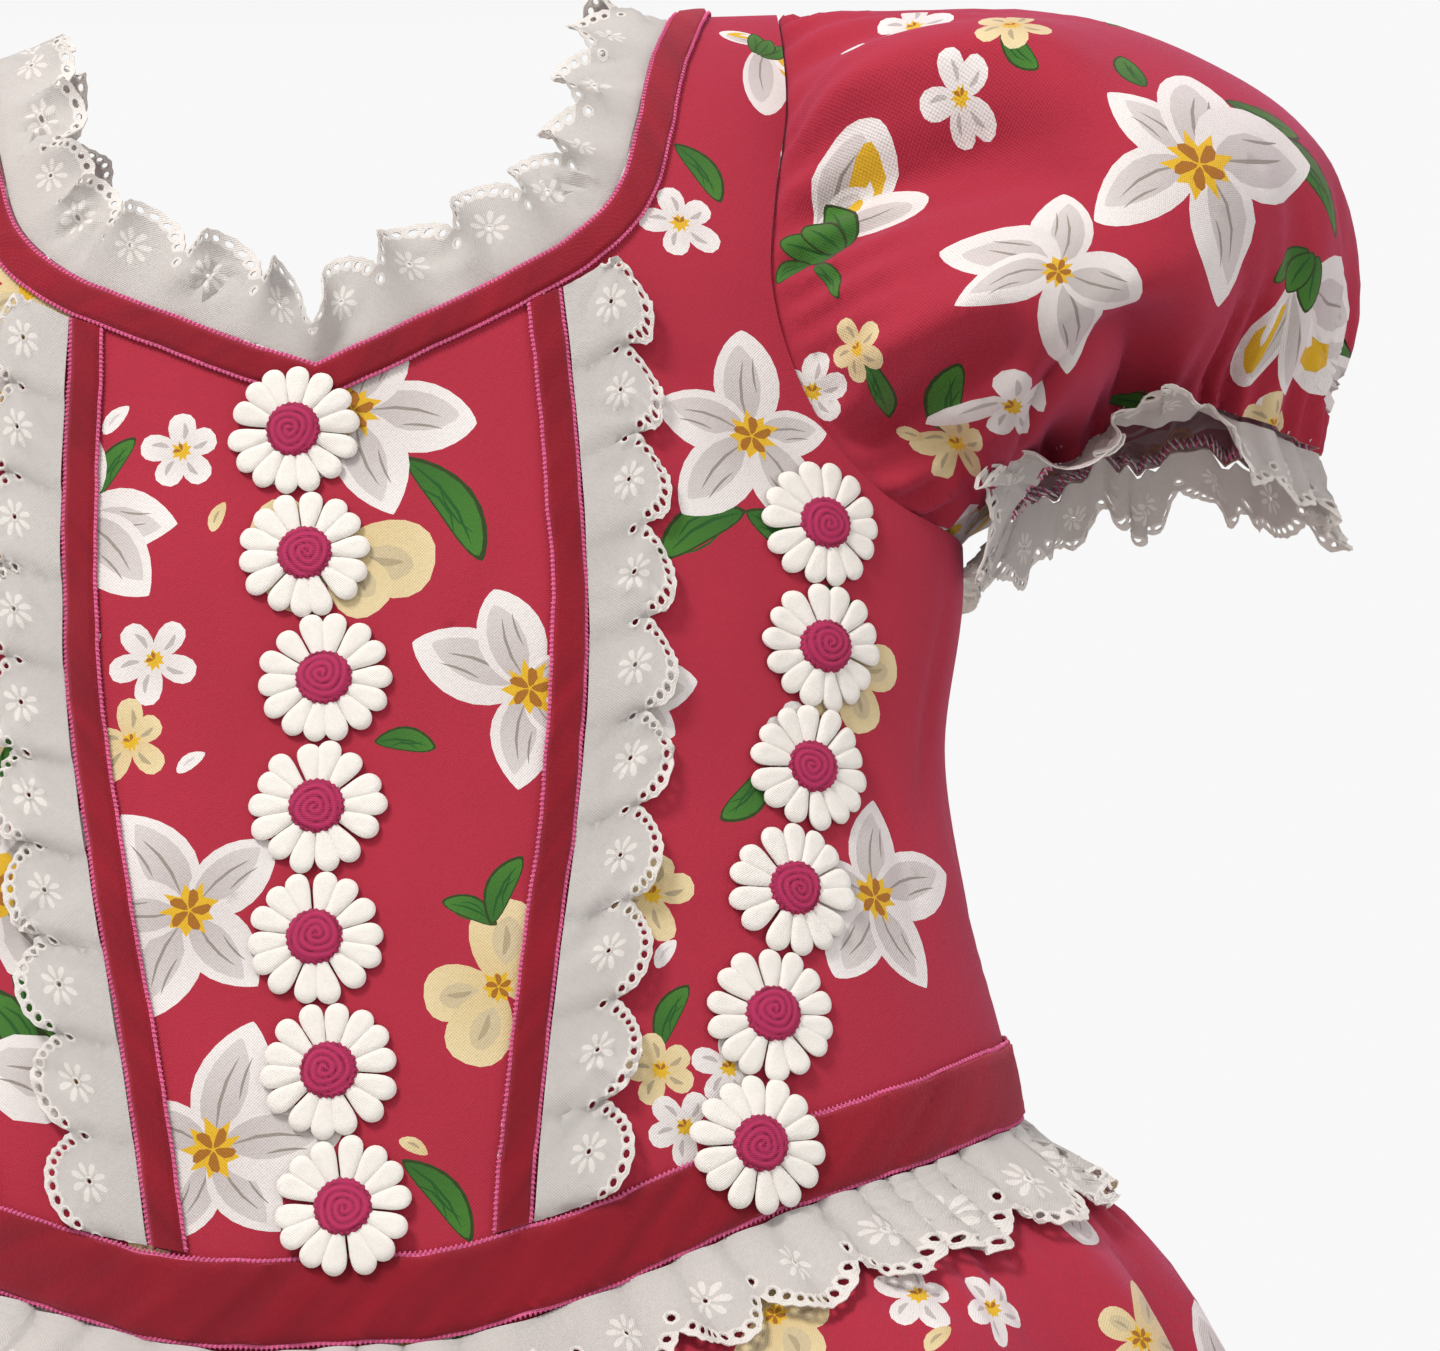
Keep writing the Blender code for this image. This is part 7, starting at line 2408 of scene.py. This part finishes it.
def edge_loops(name, surface, long, wide, seed):
    """Loops along both edges of a ribbon."""
    at = np.linspace(0.0006, long - 0.0006, int(long / 0.002))
    for side, label in ((-1, "upper"), (1, "lower")):
        point, normal = surface(at, side * (wide / 2 - 0.0002) + wandering(at, seed))
        point = point + normal * (RIBBON_FOOT + SELVEDGE_THICK)
        row_of(f"{name}_{label}_loops", LOOP, point, normal, LOOP_APART, PINK_THREAD, 0.15)


edge_loops("neck_ribbon", neck_strip, 2 * NECK_HALF, NECK_RIBBON_WIDE, 2.0)
edge_loops("princess_ribbon_left", princess_strip, PRINCESS_LONG, PRINCESS_RIBBON_WIDE, 5.0)
edge_loops("princess_ribbon_right", on_right(princess_strip), PRINCESS_LONG, PRINCESS_RIBBON_WIDE, 9.0)
edge_loops("waistband", waist_strip, float(WAIST_RUN[-1]), WAIST_RIBBON_WIDE, 1.3)

# %% Overlock inside the cuffs and stitches of the hem
WHITE_THREAD = plain_thread("white_thread", (240, 236, 238))
OVERLOCK = thread_part("overlock_stitch", ((-0.0007, -0.0019), (0.0007, 0.0019)), 0.00060)
CROSSING = thread_part("overlock_crossing", ((0.0007, -0.0019), (-0.0007, 0.0019)), 0.00060)
HEM_STITCH = thread_part("hem_stitch", ((-0.0011, 0.0), (0.0011, 0.0)), 0.00050, 3)


def inside_cuff(inset, flip):
    """A ring on the inner face of a sleeve, this share of its length above the cuff."""
    turns = np.linspace(0.01, 2 * math.pi - 0.01, 240)
    point, normal = sleeve_face(turns, np.full(len(turns), 1 - inset))
    sides = (flip, 1.0, 1.0)
    return (point + normal * (COTTON_LOW - 0.00060)) * sides, -normal * sides


for flip, side in ((1.0, "left"), (-1.0, "right")):
    ring, ups = inside_cuff(0.020, flip)
    row_of(f"cuff_overlock_{side}_pink", OVERLOCK, ring, ups, 0.0015, PINK_THREAD, 0.15)
    row_of(f"cuff_overlock_{side}_white", CROSSING, ring, ups, 0.0015, WHITE_THREAD, 0.15, 5)

HEM_UP = 0.965
hem_turns = np.linspace(-math.pi + GIRTH_GAP * 2, math.pi - GIRTH_GAP * 2, 900)
hem_share = np.full(len(hem_turns), HEM_UP)
hem_normal = outward(skirt, hem_turns, hem_share)
hem_point = skirt(hem_turns, hem_share) + hem_normal * PANEL_THICK
RED_THREAD = plain_thread("red_thread", (176, 28, 54))
row_of("hem_stitches", HEM_STITCH, hem_point, hem_normal, 0.0034, RED_THREAD, 0.06)

# %% Zip
NICKEL = metal_of("plated_metal", (0.62, 0.61, 0.59))
TAPE_HALF, TAPE_TOP, TAPE_LOW = 0.007, -0.0005, -0.0015
TOOTH_LONG, TOOTH_HALF, TOOTH_HIGH = 0.0012, 0.0017, 0.0009
TOOTH_APART = 0.0024
ZIP_TOP = float(NECK_BACK[0, 1]) + 0.001
ZIP_FOOT = float(waist_length(math.pi)) + 0.009
ZIP_STITCH_AWAY = 0.0065


def back_place(x, down):
    """The bodice's inner face near the centre back, at distances aside and down."""
    length = ZIP_TOP + down
    girth = math.pi - x / smooth(LEVELS, 1, height_at(length))
    return bodice(girth, length), outward(bodice, girth, length)


def tooth_part():
    """One tooth of the zip, a block across the tape with its top edges drawn in."""
    corners = [
        (i * TOOTH_LONG / 2, j * TOOTH_HALF * (1 if k == 0 else 0.75), k * TOOTH_HIGH)
        for k in (0, 1) for i, j in ((-1, -1), (1, -1), (1, 1), (-1, 1))
    ]
    faces = [(3, 2, 1, 0), (4, 5, 6, 7), (0, 1, 5, 4), (1, 2, 6, 5), (2, 3, 7, 6), (3, 0, 4, 7)]
    return part_object("zip_tooth", corners, faces, np.array(corners)[:, :2])


zip_long = ZIP_FOOT - ZIP_TOP
flat, faces = grid_pattern(np.linspace(-TAPE_HALF, TAPE_HALF, 9), np.linspace(0, zip_long, 60))
tape = shell(
    "zip_tape_woven", flat, faces, lambda f: back_place(f[:, 0], f[:, 1]), TAPE_LOW, TAPE_TOP, TAPE
)
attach(tape, "dress")
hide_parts("zip_tape")

down = np.linspace(0.004, zip_long - 0.004, 200)
centre, ups = back_place(np.zeros(200), down)
row_of("zip_teeth", tooth_part(), centre + ups * TAPE_TOP, ups, TOOTH_APART, NICKEL, 0.0)
for aside, side in ((ZIP_STITCH_AWAY, "left"), (-ZIP_STITCH_AWAY, "right")):
    line, ups = back_place(np.full(200, aside), down)
    line = line + ups * PANEL_THICK
    row_of(f"zip_stitches_{side}", HEM_STITCH, line, ups, 0.0032, RED_THREAD, 0.06)
for name in ("zip_slider", "pull_tab"):
    metal = bpy.data.objects[name].data.materials
    metal.clear()
    metal.append(NICKEL)
print("zip", round(zip_long * 1000), "mm long")

# %% [markdown]
# ## Stage and light
#
# The dress is lit like a catalogue picture: a white surround, one soft light from the upper
# left of the camera, a weaker one from the right and one from behind. The wearer would
# stand on a pale floor, so it lies well below the hem, and it lights the folds from below.

# %% Floor
FLOOR_LOW, FLOOR_HALF = -0.85, 6.0
FLOOR_PALE = (0.74, 0.73, 0.72, 1.0)
corners = [(x * FLOOR_HALF, y * FLOOR_HALF, FLOOR_LOW) for x, y in ((-1, -1), (1, -1), (1, 1), (-1, 1))]
floor_mesh = bpy.data.meshes.new("floor")
floor_mesh.from_pydata(corners, [], [(0, 1, 2, 3)])
floor_paint = bpy.data.materials.new("pale_floor")
floor_paint.use_nodes = True
floor_paint.node_tree.nodes["Principled BSDF"].inputs["Base Color"].default_value = FLOOR_PALE
floor_paint.node_tree.nodes["Principled BSDF"].inputs["Roughness"].default_value = 0.9
floor_mesh.materials.append(floor_paint)
floor = bpy.data.objects.new("floor", floor_mesh)
bpy.context.scene.collection.objects.link(floor)
print("floor", round(-FLOOR_LOW * 1000), "mm below the shoulders")

# %% Light
# How bright the surround is: a white wall all round up to a height, dimmer over and under it
WALL, ABOVE, BELOW = 0.94, 0.60, 0.28
BAND, BAND_END = 0.40, 0.62


def soft_light(name, place, aim, width, power, colour=(1.0, 1.0, 1.0)):
    """A square area light at a place, facing another."""
    data = bpy.data.lights.new(name, "AREA")
    data.size = width
    data.energy = power
    data.color = colour
    light = bpy.data.objects.new(name, data)
    light.location = place
    light.rotation_euler = (Vector(aim) - Vector(place)).to_track_quat("-Z", "Y").to_euler()
    bpy.context.scene.collection.objects.link(light)


soft_light("key", (-0.55, -1.00, 0.95), (0.05, 0.0, -0.15), 0.40, 22.0, (1.0, 0.985, 0.96))
soft_light("fill", (1.20, -0.80, 0.10), (0.05, 0.0, -0.15), 0.90, 3.5, (0.95, 0.97, 1.0))
soft_light("behind", (0.4, 1.30, 0.60), (0.05, 0.0, -0.20), 0.90, 3.0)
world = bpy.data.worlds.new("white surround")
world.use_nodes = True
tree = world.node_tree
way = add(tree, "ShaderNodeTexCoord").outputs["Generated"]
height = add(tree, "ShaderNodeSeparateXYZ", {0: way}).outputs[2]
rows = [(-1.0, BELOW), (-BAND_END, BELOW), (-BAND, WALL), (BAND, WALL), (BAND_END, ABOVE), (1.0, ABOVE)]
ramp = add(tree, "ShaderNodeValToRGB", {0: sum_of(tree, "MULTIPLY", sum_of(tree, "ADD", height, 1.0), 0.5)})
for number, (at, bright) in enumerate(rows):
    stop = ramp.color_ramp.elements[number] if number < 2 else ramp.color_ramp.elements.new(1.0)
    stop.position = (at + 1) / 2
    stop.color = (bright, bright, bright, 1.0)
tree.links.new(ramp.outputs[0], tree.nodes["Background"].inputs["Color"])
bpy.context.scene.world = world
view = bpy.context.scene.view_settings
view.view_transform = "Standard"
